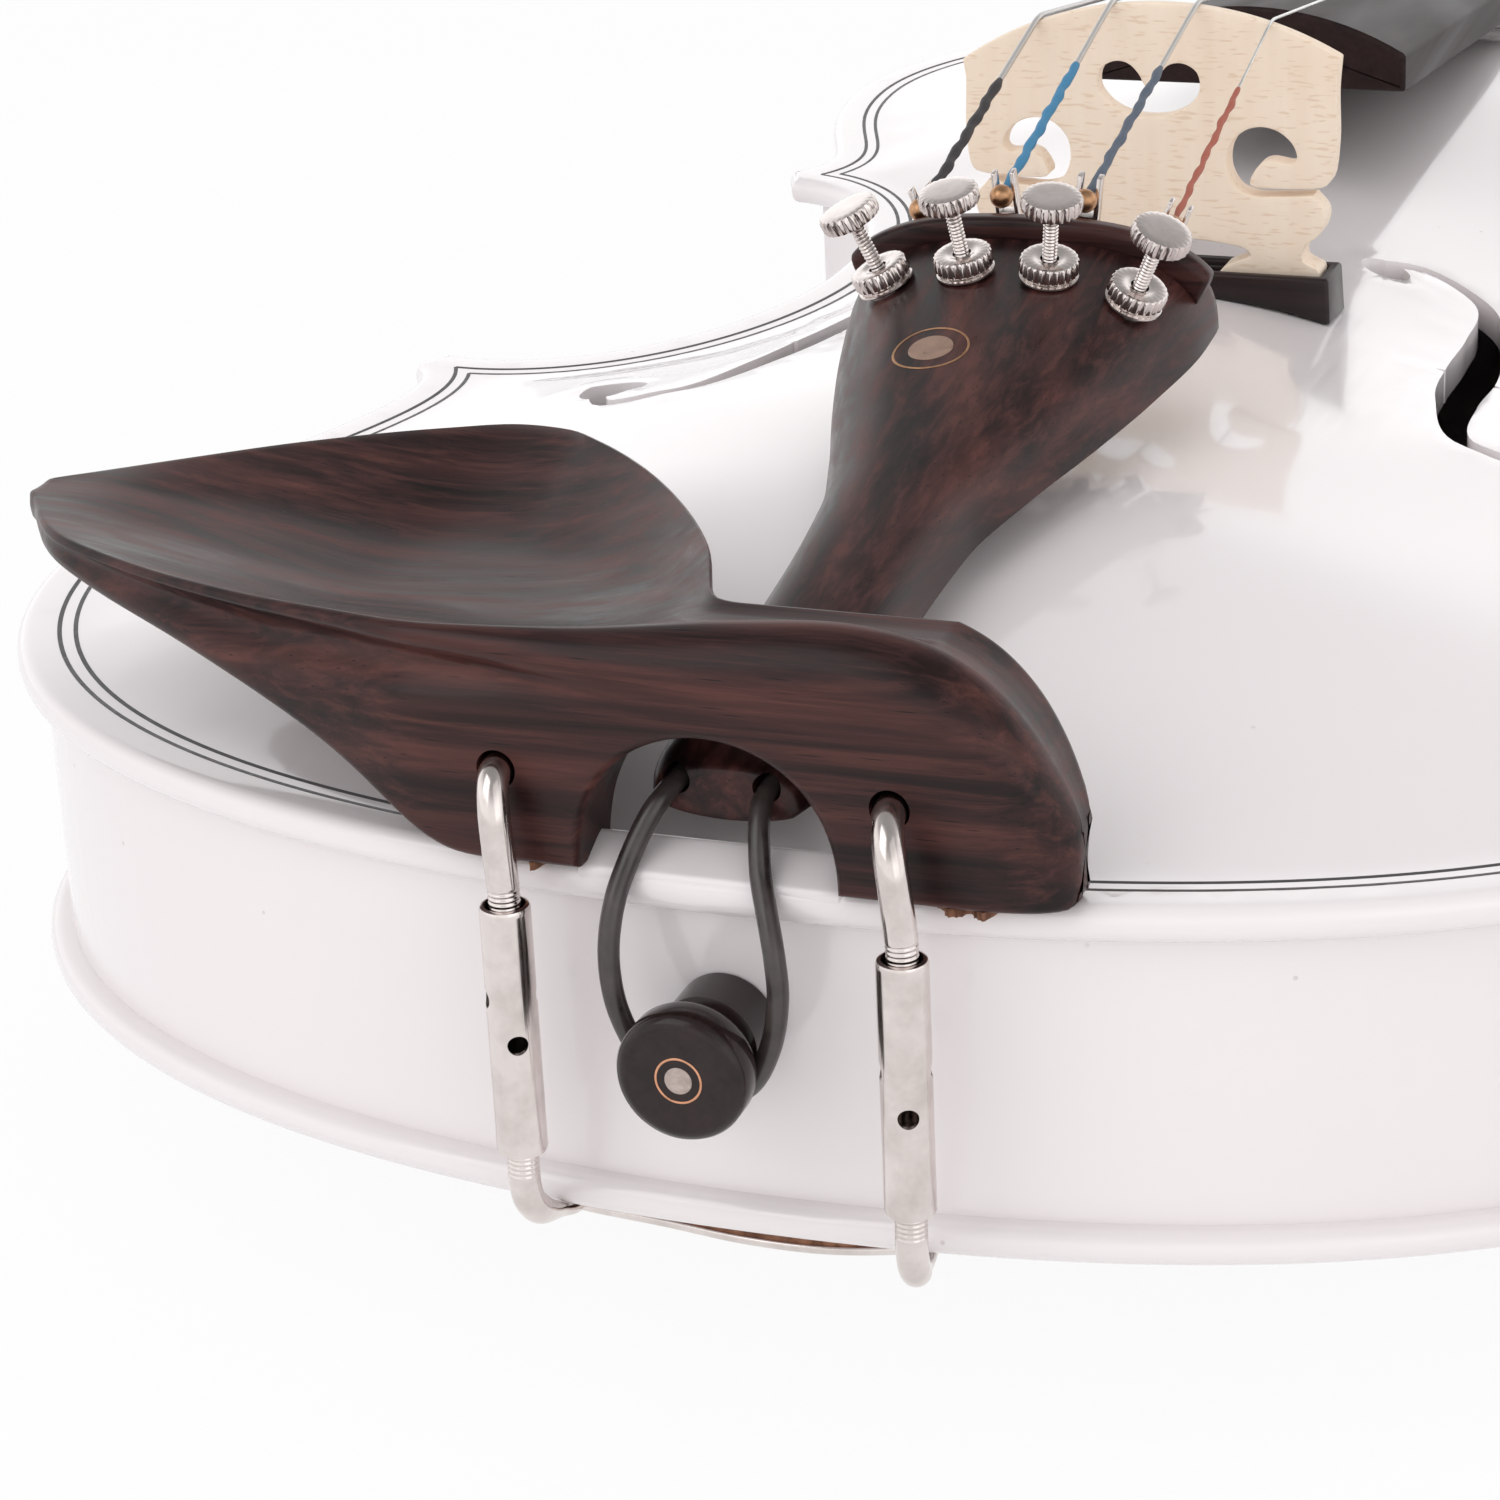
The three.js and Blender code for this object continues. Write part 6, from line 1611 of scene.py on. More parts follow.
@dataclass(frozen=True)
class FineTuners:
    """Four fine tuners in a fan: knurled collar and head, threaded screw, hooked lever."""

    tailpiece: Tailpiece
    y: float = 96.0
    pitch: float = 13.0
    collar_radius: float = 3.32
    collar_length: float = 2.4
    head_radius: float = 3.4
    head_start: float = 8.4
    head_length: float = 2.0
    shaft_radius: float = 0.85
    tip: float = 8.6
    thread: float = 0.42
    thread_depth: float = 0.12
    clearance: float = 4.2
    teeth: int = 24
    notch_y: float = 15.0
    notch_radius: float = 2.0
    places: tuple = (Tuner("g", -13.6, -22), Tuner("d", -4.4, -7), Tuner("a", 5, 7), Tuner("e", 14.4, 24))

    def matrix(self, tuner: Tuner) -> Array:
        """A tuner's own frame: pitched about x, then leant about its own y."""
        pitch = Matrix.Rotation(math.radians(self.pitch), 4, "X")
        lean = Matrix.Rotation(math.radians(tuner.lean), 4, "Y")
        place = np.array([[tuner.x, self.y]])
        height = float(self.tailpiece.top(place)[0])
        return np.array(Matrix.Translation((tuner.x, self.y, height)) @ pitch @ lean)

    def notches(self) -> list[Shell]:
        """A round notch in the tailpiece's head edge behind each lever, along the lever's rise."""
        rod = tube([[0, self.notch_y - 1.1, -9.5], [0, self.notch_y + 1.4, 5.0]], self.notch_radius, sides=36)
        return [rod.placed(self.matrix(tuner)) for tuner in self.places]

    def collar(self) -> Shell:
        """The knurled nut on the tailpiece, with a smooth washer below and a bored middle."""
        r, top = self.collar_radius, self.collar_length + 0.35
        rows = [
            (1.05, 0.1), (r - 0.3, 0.1), (r - 0.05, 0.3), (r - 0.05, 0.5), (r - 0.3, 0.6), (r - 0.3, 0.8),
            (r, 1.05), (r, top - 0.35), (r - 0.15, top - 0.12), (r - 0.4, top), (1.7, top), (1.5, top - 0.15),
            (1.05, top - 0.2), (1.05, 0.1),
        ]
        cuts = [0, 0, 0, 0, 0, 0, 0.22, 0.22, 0.1, 0, 0, 0, 0, 0]
        return skin(spun(rows, self.teeth * 6, self.teeth, cuts)[:-1], looped=True)

    def screw(self) -> Shell:
        """The screw: a threaded shaft and a wide knurled head with a flat polished top."""
        r, s, low = self.head_radius, self.shaft_radius, self.head_start
        top = low + self.head_length
        height = np.linspace(0.5 - self.tip, low - 1.0, int((low - 1.5 + self.tip) / self.thread * 6))
        dip = self.thread_depth * (0.5 - 0.5 * np.cos(2 * np.pi * (height - height[0]) / self.thread))
        thread = np.stack([s - dip, height], 1).tolist()
        foot = [(0, -self.tip), (s * 0.6, -self.tip)]
        shaft = [*foot, *thread, (s, low - 0.8), (1.5, low - 0.3), (r - 0.6, low)]
        head = [
            (r - 0.2, low + 0.12), (r, low + 0.45), (r, top - 0.45), (r - 0.2, top - 0.12), (r - 0.6, top),
            (r - 1.2, top + 0.04), (1.0, top + 0.06), (0, top + 0.06),
        ]
        rows, cuts = shaft + head, [0.0] * len(shaft) + [0.12, 0.3, 0.3, 0.14, 0, 0, 0, 0]
        return revolved(spun(rows, self.teeth * 6, self.teeth, cuts))

    def build(self, wardrobe: Wardrobe) -> None:
        """Builds the four tuners."""
        nickel = wardrobe["nickel"]
        clear = tube([[0, 0, 0], [0, 0, 6]], self.clearance, sides=40)
        for tuner in self.places:
            matrix, name, joint = self.matrix(tuner), tuner.name, f"tuner_{tuner.name}"
            collar = new_object(f"tuner_collar_{name}", self.collar().placed(matrix))
            finish_piece(collar, nickel, crease=40)
            body = carve(refined(f"tuner_body_{name}", 0.12, 2), clear.placed(matrix))
            finish_piece(body, nickel, f"tuner_body_{name}")
            screw = new_object(f"knurled_screw_{name}", self.screw().placed(matrix))
            finish_piece(screw, nickel, f"tuner_screw_{name}", crease=40, body=f"{joint}_screw")
            lever = refined(f"tuner_lever_{name}", 0.3)
            finish_piece(lever, nickel, f"tuner_lever_{name}", body=f"{joint}_lever")


@dataclass(frozen=True)
class Lane:
    """One string: where it crosses the bridge, its radius and its finishes."""

    name: str
    bridge_x: float
    radius: float
    metal: str
    silk: str


@dataclass(frozen=True)
class Strings:
    """Four strings from the tuners' forks over bridge and nut to the pegs, silk at the tail end."""

    tuners: FineTuners
    bridge: Bridge
    board: Board
    pegs: Pegs
    fork_y: float = 16.65
    fork_z: float = 1.6
    rest_gap: float = 0.15
    bend: float = 2.0
    silk_end: float = 141.0
    silk_thick: float = 0.17
    ball_radius: float = 1.35
    ball_back: float = 1.75
    lanes: tuple = (
        Lane("g", -14, 0.41, "string_wound", "silk_black"),
        Lane("d", -4.6, 0.37, "string_wound", "silk_blue"),
        Lane("a", 6, 0.33, "string_wound", "silk_slate"),
        Lane("e", 15, 0.2, "string_steel", "silk_rust"),
    )

    def stops(self, order: int) -> Array:
        """The places that a string runs straight between."""
        lane, tuner, peg = self.lanes[order], self.tuners.places[order], self.pegs.places[order]
        fork = self.tuners.matrix(tuner) @ [0, self.fork_y, self.fork_z, 1]
        bridge, board = self.bridge, self.board
        bridge_z = bridge.foot_z + float(bridge.top_height(lane.bridge_x)) + lane.radius + self.rest_gap
        nut_x = board.string_span * (order / 3 - 0.5)
        nut_y = NUT_Y + board.nut_thick
        nut_z = float(board.top(nut_x, nut_y, board.nut_half, board.nut_rise)) + lane.radius + GAP
        peg_y, peg_z = self.pegs.box_point(peg.along, -self.pegs.depth)
        end = (peg.lane, peg_y, peg_z + self.pegs.radius(0) + lane.radius + GAP)
        return np.array([fork[:3], (lane.bridge_x, BRIDGE_Y, bridge_z), (nut_x, nut_y, nut_z), end])

    def line(self, order: int) -> Array:
        """The string's middle line: straight runs, and a short weighted curve over each stop."""
        stops = self.stops(order)
        parts = [stops[:1]]
        for a, b, c in zip(stops, stops[1:], stops[2:]):
            start, end = b + self.bend * unit(a - b), b + self.bend * unit(c - b)
            straight = np.linspace(parts[-1][-1], start, 14)[1:-1]
            parts += [straight, quadratic(np.linspace(0, 1, 9)[:, None], start, b, end)]
        parts.append(np.linspace(parts[-1][-1], stops[-1], 14)[1:])
        return np.concatenate(parts)

    def build(self, wardrobe: Wardrobe) -> None:
        """Builds the strings, their silk and their ball ends."""
        arc = np.linspace(0, np.pi, 13)
        ball = revolved(spun(self.ball_radius * np.stack([np.sin(arc), -np.cos(arc)], 1), 28))
        step = np.arange(60)
        for order, lane in enumerate(self.lanes):
            drawn = tube(self.line(order), lane.radius * 0.93, sides=14)
            string = new_object(f"drawn_string_{lane.name}", drawn)
            finish_piece(string, wardrobe[lane.metal], f"string_{lane.name}", "string_steel", 60)
            start, top = self.stops(order)[:2]
            ahead = unit(top - start)
            run = start + ahead * np.linspace(-0.6, (self.silk_end - start[1]) / ahead[1], 60)[:, None]
            sway = 0.09 * np.sin(0.47 * step + order) + 0.05 * np.sin(1.13 * step + 2 * order)
            run[:, 0] += sway * np.clip(step / 8, 0, 1) * np.clip((59 - step) / 6, 0, 1)
            radius = lane.radius + self.silk_thick * (1 + 0.35 * np.sin(0.83 * step + 3 * order))
            radius[-3:] -= self.silk_thick * np.array([0.1, 0.4, 0.9])
            silk = new_object(f"silk_{lane.name}", tube(run, radius))
            finish_piece(silk, wardrobe[lane.silk], slot="string_steel", crease=60)
            end = new_object(f"ball_end_{lane.name}", ball.moved(*(start - ahead * self.ball_back)))
            finish_piece(end, wardrobe["brass"], slot="string_steel", body=f"tuner_{lane.name}_lever")


# Tail end


@dataclass(frozen=True)
class TailFittings:
    """End button with its ring and dot, saddle, and the tail gut round the button."""

    face_y: float = -10.6
    axis_z: float = -15.35
    head_radius: float = 6.45
    ring_radii: tuple = (2.12, 2.34)
    dot_radius: float = 1.35
    gut_radius: float = 1.05
    saddle_ends: tuple = (-13.7, 12.6)
    saddle_crest: tuple = (
        (0.45, -1.2), (0.5, -0.45), (0.8, 0.02), (1.4, 0.35), (2.6, 0.95), (4.0, 1.62), (4.9, 1.95),
        (5.25, 1.92), (5.5, 1.6), (5.6, 0.9), (5.62, -1.2),
    )
    route: tuple = (
        (-4.9, 9.5, 7.7), (-5.0, 7, 7.5), (-5.74, 5, 6.67), (-6.48, 3.4, 5.6), (-7.53, 1.9, 3.3),
        (-8.33, 0.5, 1.0), (-8.86, -1.9, -1.92), (-9.1, -3.6, -6.32), (-8.43, -4.4, -11),
        (-6.87, -4.6, -14.9), (-4.4, -4.6, -18.6), (0, -4.6, -20.1), (4.5, -4.6, -18.3),
        (6.91, -4.6, -14.1), (7.78, -4.2, -9.07), (7.4, -3.6, -5.32), (6.18, -1.8, -1.73),
        (4.94, 0.3, 0.85), (4.3, 1.9, 3.4), (3.9, 3.3, 5.1), (3.7, 5, 6.5), (4.1, 7, 7.5), (4.1, 9.5, 7.7),
    )

    def button(self) -> Shell:
        """The turned button in its place: its height runs into the body along y."""
        r = self.head_radius
        profile = [
            (0, 0.12), (2.6, 0.1), (3.6, 0.03), (r - 1.3, 0.0), (r - 0.9, 0.05), (r - 0.3, 0.4), (r, 1.0),
            (r, 3.4), (r - 0.25, 4.1), (r - 0.9, 4.5), (3.9, 4.8), (3.5, 5.1), (3.5, 6.9), (4.4, 7.3),
            (5.0, 7.6), (5.0, 12.9), (3.6, 13.0), (3.0, 31.0), (0, 31.0),
        ]
        shell = revolved(spun(profile, 96))
        return shell.at(shell.points[:, [0, 2, 1]] * [1, 1, -1]).moved(0, self.face_y, self.axis_z)

    def build(self, wardrobe: Wardrobe) -> None:
        """Builds the fittings."""
        button = new_object("turned_end_button", self.button())
        finish_piece(button, wardrobe["ebony_button"], "end_button", "ebony", 40)
        inlays = (("ring", self.ring_radii, "copper"), ("dot", (0, self.dot_radius), "shell"))
        for name, radii, finish in inlays:
            disc = on_surface(0, 0, *radii, level_at(0), 0.06, 0.6)
            x, z, lift = disc.points.T
            placed = disc.at(np.column_stack([x, self.face_y + 0.1 - lift, self.axis_z + z]))
            finish_piece(new_object(f"button_{name}", placed), wardrobe[finish], slot="nickel")
        line = through(self.route, 220)
        gut = new_object("looped_tail_gut", tube(line, self.gut_radius, line - [0, 20, -5], 24))
        finish_piece(gut, wardrobe["tail_cord"], "tail_gut", crease=60)
        crest = through(self.saddle_crest, 40)[::-1]
        saddle = lofted(lambda x: crest, np.linspace(*self.saddle_ends, 12), 0.5, True)
        finish_piece(new_object("rounded_saddle", saddle), wardrobe["white_lacquer"], "saddle", crease=50)


@dataclass(frozen=True)
class Chinrest:
    """A carved cup beside the tailpiece: sections across its depth along x.

    The tables give shares against x as a share of the tip's distance from the middle:
    front face, far edge, ridge height, lower edge height and the dish's depth.
    """

    tip: float = 85.0
    rear: float = -1.0
    tip_sweep: float = 29.0
    reach: float = 58.6
    foot: float = 0.3
    rim_z: float = 23.8
    ridge_z: float = 25.0
    dish_depth: float = 7.4
    wall: float = 8.0
    dish_thick: float = 4.4
    bulge: float = 0.2
    rim_round: float = 0.9
    rim_drop: float = 4.8
    lip: float = 0.4
    solid_start: float = -4.0
    tip_share: float = 1.018
    end_share: float = 0.410
    end_rounds: tuple = (0.95, 1.5)
    arch_x: float = -0.1
    arch_half: float = 12.7
    arch_top: float = 14.5
    arch_power: float = 0.85
    arch_depth: float = 60.0
    arch_edge: tuple = ((-3, 1.0), (-0.2, 1.0), (0.05, 0.55), (0.35, 0.22), (0.8, 0.04), (1.1, 0))
    hook_hole: float = 1.95
    hook_depth: float = 7.0
    hook_places: tuple = (-20.4, 18.2)
    hook_z: float = 9.8
    fronts: tuple = (
        (-1.018, 1.138), (-1, 1.055), (-0.98, 0.962), (-0.959, 0.862), (-0.93, 0.75), (-0.9, 0.662),
        (-0.82, 0.52), (-0.65, 0.28), (-0.47, 0.1), (-0.32, 0), (0.3, 0), (0.39, 0.045), (0.424, 0.14),
    )
    fars: tuple = (
        (-1.018, 0.59), (-1.008, 0.607), (-1, 0.616), (-0.96, 0.653), (-0.929, 0.682), (-0.753, 0.863),
        (-0.588, 0.968), (-0.5, 1), (-0.424, 0.978), (-0.371, 0.925), (-0.282, 0.809), (-0.194, 0.657),
        (-0.118, 0.486), (-0.085, 0.391), (-0.054, 0.273), (-0.035, 0.213), (0, 0.196), (0.282, 0.196),
        (0.34, 0.184), (0.375, 0.164), (0.4, 0.14), (0.415, 0.117), (0.424, 0.095),
    )
    ridges: tuple = (
        (-1, 0.85), (-0.9, 0.865), (-0.824, 0.868), (-0.6, 0.895), (-0.353, 0.93), (-0.176, 0.935),
        (-0.059, 0.962), (0.024, 0.99), (0.141, 1.02), (0.224, 0.985), (0.294, 0.88), (0.353, 0.69),
        (0.4, 0.42), (0.424, 0.2),
    )
    lows: tuple = (
        (-1, 0.765), (-0.95, 0.78), (-0.9, 0.77), (-0.824, 0.723), (-0.7, 0.655), (-0.612, 0.575),
        (-0.5, 0.435), (-0.447, 0.34), (-0.4, 0.235), (-0.359, 0.12), (-0.32, 0.03), (-0.29, 0), (0.424, 0),
    )
    crest_backs: tuple = ((-1, 0.7), (-0.6, 0.8), (-0.35, 1.2), (-0.15, 3.2), (0.03, 5.2), (0.424, 5.2))
    crest_rounds: tuple = (
        (-1, 0.6), (-0.5, 0.8), (-0.3, 1.4), (-0.12, 3.6), (0.06, 5.6), (0.3, 5.6), (0.424, 3.0),
    )
    grooves: tuple = (
        (-1, 0.0), (-0.93, 0.5), (-0.8, 2.0), (-0.6, 2.7), (-0.4, 2.5), (-0.25, 1.7), (-0.1, 0.4), (0, 0),
        (0.424, 0),
    )
    groove_drop: float = 4.0
    groove_height: float = 10.0
    groove_reach: float = 2.4
    dishes: tuple = (
        (-1, 0.01), (-0.95, 0.03), (-0.894, 0.11), (-0.824, 0.28), (-0.729, 0.52), (-0.6, 0.86),
        (-0.529, 1), (-0.353, 0.97), (-0.212, 0.735), (-0.118, 0.44), (-0.059, 0.147), (-0.024, 0.059),
        (0.424, 0.03),
    )
    dish_span: tuple = ((0, 0), (0.08, 0.3), (0.2, 0.66), (0.42, 1), (0.66, 0.92), (0.86, 0.46), (1, 0))
    cork_setback: float = 2.9
    corks: tuple = (
        ("bass", -26.0, -13.9, ((-21.2, 1.0, 2.6), (-17.8, 0.8, 2.5))),
        ("treble", 13.9, 33.0, ((23.6, 1.5, 2.5), (26.4, 1.0, 2.6))),
    )

    def near(self, x: float) -> float:
        """Where the front face stands at x."""
        return self.rear + self.tip_sweep * self.read(self.fronts, x)

    def read(self, table: Table, x: float, blur: float = 0.03) -> float:
        """A table's value at x."""
        return float(smooth_along(table, x / self.tip, blur))

    def section(self, x: float) -> Array:
        """The section at x, counter-clockwise in y and z from the foot of the front face."""
        near = self.near(x)
        far = self.reach * self.read(self.fars, x, 0.012)
        low = self.foot + (self.rim_z - self.foot) * self.read(self.lows, x)
        ridge = self.foot + (self.ridge_z - self.foot) * self.read(self.ridges, x)
        dish = self.dish_depth * self.read(self.dishes, x)
        span = far - near
        rim = min(ridge, self.rim_z)
        back = near + min(self.wall, span * 0.55)
        crest = near + min(self.read(self.crest_backs, x, 0.04), span * 0.4)
        corner = min(self.rim_round, span * 0.15)
        thin = float(ease((self.solid_start + 4 - x) / 8))
        floor = low + (max(low + self.lip, rim - dish - self.dish_thick) - low) * thin
        knee = min(self.read(self.crest_rounds, x, 0.04), (ridge - low) / 2)
        up = np.linspace(0, 1, 34)[:, None]
        foot_round = min(0.8, span * 0.1, (ridge - low) * 0.2)
        wall_low, wall_high = low + foot_round, ridge - knee
        wall = wall_low + (wall_high - wall_low) * up
        shrunk = min(1.0, (ridge - low) / self.groove_height)
        below = (wall - ridge) / shrunk + self.groove_drop
        hollow = np.exp(-((below / self.groove_reach) ** 2)) * ease(up / 0.3)
        fade = ease((1 - up) / 0.12)
        groove = self.read(self.grooves, x, 0.04) * shrunk
        front = np.column_stack([near - self.bulge * np.sin(np.pi * up) + groove * hollow * fade, wall])
        turn = np.linspace(0, np.pi / 2, 10)[1:, None]
        top = np.column_stack([crest - (crest - near) * np.cos(turn), wall_high + knee * np.sin(turn)])
        place = np.linspace(0, 1, 44)[1:-1]
        drop = smooth_along(self.dish_span, place, 0.04)
        lift = (ridge - rim) * (1 - ease(place / 0.4))
        bed = np.column_stack([crest + (far - corner - crest) * place, rim - dish * drop + lift])
        bend = np.linspace(0, np.pi / 2, 7)[:, None]
        turned = corner * np.column_stack([np.sin(bend), np.cos(bend)])
        rim_line = [far - corner, rim - corner] + turned
        lower = max(rim - self.rim_drop, floor + self.lip)
        under = through([
            (far, rim - corner), (far - corner * 0.2, (rim - corner + lower) / 2), (far - corner, lower),
            (back + (far - back) * 0.6, floor), (back + (far - back) * 0.15, floor), (back, low)], 26)[1:]
        sole = np.linspace((back, low), (near + foot_round, low), 6)[1:]
        heel = np.linspace(0, np.pi / 2, 5)[1:-1, None]
        nose = [near, low] + foot_round * (1 - np.column_stack([np.sin(heel), np.cos(heel)]))
        return np.concatenate([front, top, bed, rim_line, under, sole, nose])[::-1]

    def arch(self) -> Shell:
        """The cutter of the arch, wider at the front face so that its edge comes out rounded."""
        turn = np.linspace(0, np.pi, 60)
        rings = []
        for depth, grow in (*self.arch_edge, (self.arch_depth, 0)):
            half, rise = self.arch_half + grow, self.arch_top - self.foot + grow
            x = self.arch_x + half * np.cos(turn)
            z = self.foot + rise * np.sin(turn) ** self.arch_power
            x = np.concatenate([[self.arch_x - half, self.arch_x + half], x])
            z = np.concatenate([[self.foot - 4, self.foot - 4], z])
            rings.append(np.column_stack([x, np.full(len(x), self.rear + depth), z]))
        return skin(np.stack(rings))

    def build(self, wardrobe: Wardrobe) -> None:
        """Builds the cup, cuts its arch and hook holes, and lays the corks."""
        start, end = -self.tip * self.tip_share, self.tip * self.end_share
        turn = np.linspace(0, np.pi, 170)
        even = start + (end - start) * (0.5 - 0.5 * np.cos(turn))
        stops = 0.55 * even + 0.45 * np.linspace(start, end, 170)
        chinrest = new_object("carved_chinrest", lofted(self.section, stops, self.end_rounds, True))
        reach = (self.rear - 2, self.rear + self.hook_depth)
        holes = [rod_along_y(x, self.hook_z, self.hook_hole, *reach) for x in self.hook_places]
        carve(chinrest, self.arch(), *holes)
        finish_piece(chinrest, wardrobe["rosewood_chinrest"], "chinrest", "rosewood", 42)
        for side, low, high, bits in self.corks:
            cork = new_object(f"thin_cork_{side}", self.cork(low, high, bits))
            finish_piece(cork, wardrobe["cork"], f"chinrest_cork_{side}")

    def cork(self, low: float, high: float, bits: tuple) -> Shell:
        """A thin cork under a foot, its front edge ragged and torn forward at a few bits."""
        def section(x: float) -> Array:
            jag = 0.18 * math.sin(5.1 * x) + 0.12 * math.sin(11.7 * x + 1) + 0.08 * math.sin(23 * x)
            torn = sum(reach * math.exp(-(((x - middle) / width) ** 2)) for middle, width, reach in bits)
            front = self.near(x) + self.cork_setback + jag - torn
            return np.array([(front, -0.5), (8.0, -0.5), (8.0, self.foot + 0.05), (front, self.foot + 0.05)])

        return lofted(section, np.linspace(low, high, 120), 0.1, True)


@dataclass(frozen=True)
class Post:
    """One post of the clamp: its hole in the chinrest, its own place and its barrel's cross holes."""

    side: str
    hole_x: float
    x: float
    y: float
    key_turn: float
    key_depths: tuple


@dataclass(frozen=True)
class Clamp:
    """Two hooks, two turnbuckle barrels, and one bracket under the back."""

    chinrest: Chinrest
    rod: float = 1.55
    bend: float = 2.6
    top: float = -2.1
    length: float = 25.9
    barrel: float = 2.45
    bore: float = 1.95
    key: float = 1.0
    rod_in: float = 6.0
    thread: float = 0.5
    thread_depth: float = 0.13
    foot_top: float = BACK_BOTTOM - 0.85
    foot_thick: float = 0.9
    foot_end: float = 12.0
    foot_front: tuple = (
        (-19.6, 4.4), (-17, 3.6), (-7.7, 2.6), (1.1, 1.5), (9.4, 1.8), (16.5, 3.8), (19.6, 5.2),
    )
    leg_end: float = 0.62
    hook_bends: tuple = ((0, 0, 0), (0.25, 0.55, 0.08), (0.6, 0.9, 1), (0.85, 1, 2.4))
    leg_bends: tuple = (
        (1, 0, 5.4), (0.995, 0.6, 3.5), (0.98, 2.3, 1.6), (0.955, 5.1, 0.1), (0.93, 8.4, -1.3),
        (0.91, 11.4, -1.3),
    )
    posts: tuple = (
        Post("bass", -20.4, -18.8, -4.9, math.radians(122), (15.8, 11.5)),
        Post("treble", 18.2, 20.8, -6.6, math.radians(111), (17.2, 13.2)),
    )

    def hook(self, post: Post) -> Shell:
        """A hook: out of the chinrest, over and down into its barrel, threaded at its end."""
        inner = self.chinrest.rear + self.chinrest.hook_depth - 0.9
        start = self.chinrest.rear + 1.0
        bends = [
            (post.hole_x + (post.x - post.hole_x) * across, start + (post.y - start) * out,
             self.chinrest.hook_z - self.bend * drop)
            for across, out, drop in self.hook_bends
        ]
        end = self.top - self.rod_in
        stops = [(post.hole_x, inner, self.chinrest.hook_z), *bends, (post.x, post.y, self.top + 1.6),
                 (post.x, post.y, end + 1.6), (post.x, post.y, end)]
        line = through(stops, 260)
        return tube(line, self.rod - ease((self.top + 1.9 - line[:, 2]) / 0.4) * self.ripple(line), sides=28)

    def ripple(self, line: Array) -> Array:
        """How deep a rod's thread is cut at each place along its line."""
        return self.thread_depth * (0.5 - 0.5 * np.cos(2 * np.pi * travelled(line) / self.thread))

    def barrel_shell(self) -> Shell:
        """A plain barrel about local z, its ends rounded off round a straight bore."""
        low, high, r = self.top - self.length, self.top, self.barrel
        rim = [(self.bore, 0), (r - 0.35, 0), (r - 0.12, 0.1), (r, 0.4), (r, 0.7)]
        rows = [(radius, low + z) for radius, z in rim] + [(radius, high - z) for radius, z in rim[::-1]]
        return skin(spun(rows, 64), looped=True)

    def keys(self, post: Post) -> list[Shell]:
        """Cutters of the two cross holes that a pin turns the barrel by."""
        shells = []
        for depth, turn in zip(post.key_depths, (post.key_turn, post.key_turn - math.pi / 2)):
            way = np.array([math.cos(turn), math.sin(turn), 0]) * (self.barrel + 2)
            middle = np.array([post.x, post.y, -depth])
            shells.append(tube([middle - way, middle + way], self.key, (0, 0, 1), 36))
        return shells

    def leg(self, post: Post) -> Shell:
        """A leg: up into its barrel, threaded there, bent inwards under the back."""
        low = self.top - self.length
        bends = [(post.x * out, post.y + inward, BACK_BOTTOM + up) for out, inward, up in self.leg_bends]
        line = through([(post.x, post.y, low + self.rod_in), (post.x, post.y, low), *bends], 240)
        cut = ease((line[:, 2] - low + 2.6) / 0.4) * self.ripple(line)
        taper = (self.rod - self.leg_end) * ease((BACK_BOTTOM + 2.2 - line[:, 2]) / 3.2)
        return tube(line, self.rod - cut - taper, sides=28)

    def build(self, wardrobe: Wardrobe) -> None:
        """Builds both sides, the foot plate and its cork."""
        nickel = wardrobe["nickel"]
        for post in self.posts:
            side = post.side
            hook = new_object(f"bent_hook_{side}", self.hook(post))
            finish_piece(hook, nickel, f"clamp_hook_{side}", crease=60)
            barrel = new_object(f"turnbuckle_{side}", self.barrel_shell().moved(post.x, post.y, 0))
            carve(barrel, *self.keys(post))
            finish_piece(barrel, nickel, f"clamp_barrel_{side}", crease=28, body=f"clamp_{side}_barrel")
            finish_piece(new_object(f"bent_leg_{side}", self.leg(post)), nickel, crease=60, body="clamp_foot")
        foot_low = self.foot_top - self.foot_thick
        for name, node, ends, inset, low, high, finish, rim in (
            ("foot_plate", "clamp_bracket", 19.6, 0.0, foot_low, self.foot_top, "nickel", 0.3),
            ("foot_cork", "clamp_cork", 15.5, 0.35, self.foot_top - 0.1, BACK_BOTTOM + 0.1, "cork", 0.1),
        ):
            front = through(self.foot_front, 60)
            front = front[np.abs(front[:, 0]) <= ends] + [0, inset]
            plan = np.concatenate([front, [(ends, self.foot_end), (-ends, self.foot_end)]])
            slab = rounded_slab(plan, [], level_at(high), level_at(low), rim, 1.6)
            finish_piece(new_object(name, slab), wardrobe[finish], node, body="clamp_foot")


# Studio


@dataclass(frozen=True)
class Lamp:
    """One soft lamp: place and aim in drawing millimetres, size in metres and power in watts."""

    name: str
    place: tuple
    aim: tuple
    size: tuple
    power: float
    colour: tuple = (1.0, 1.0, 1.0)
    mirrored: bool = True


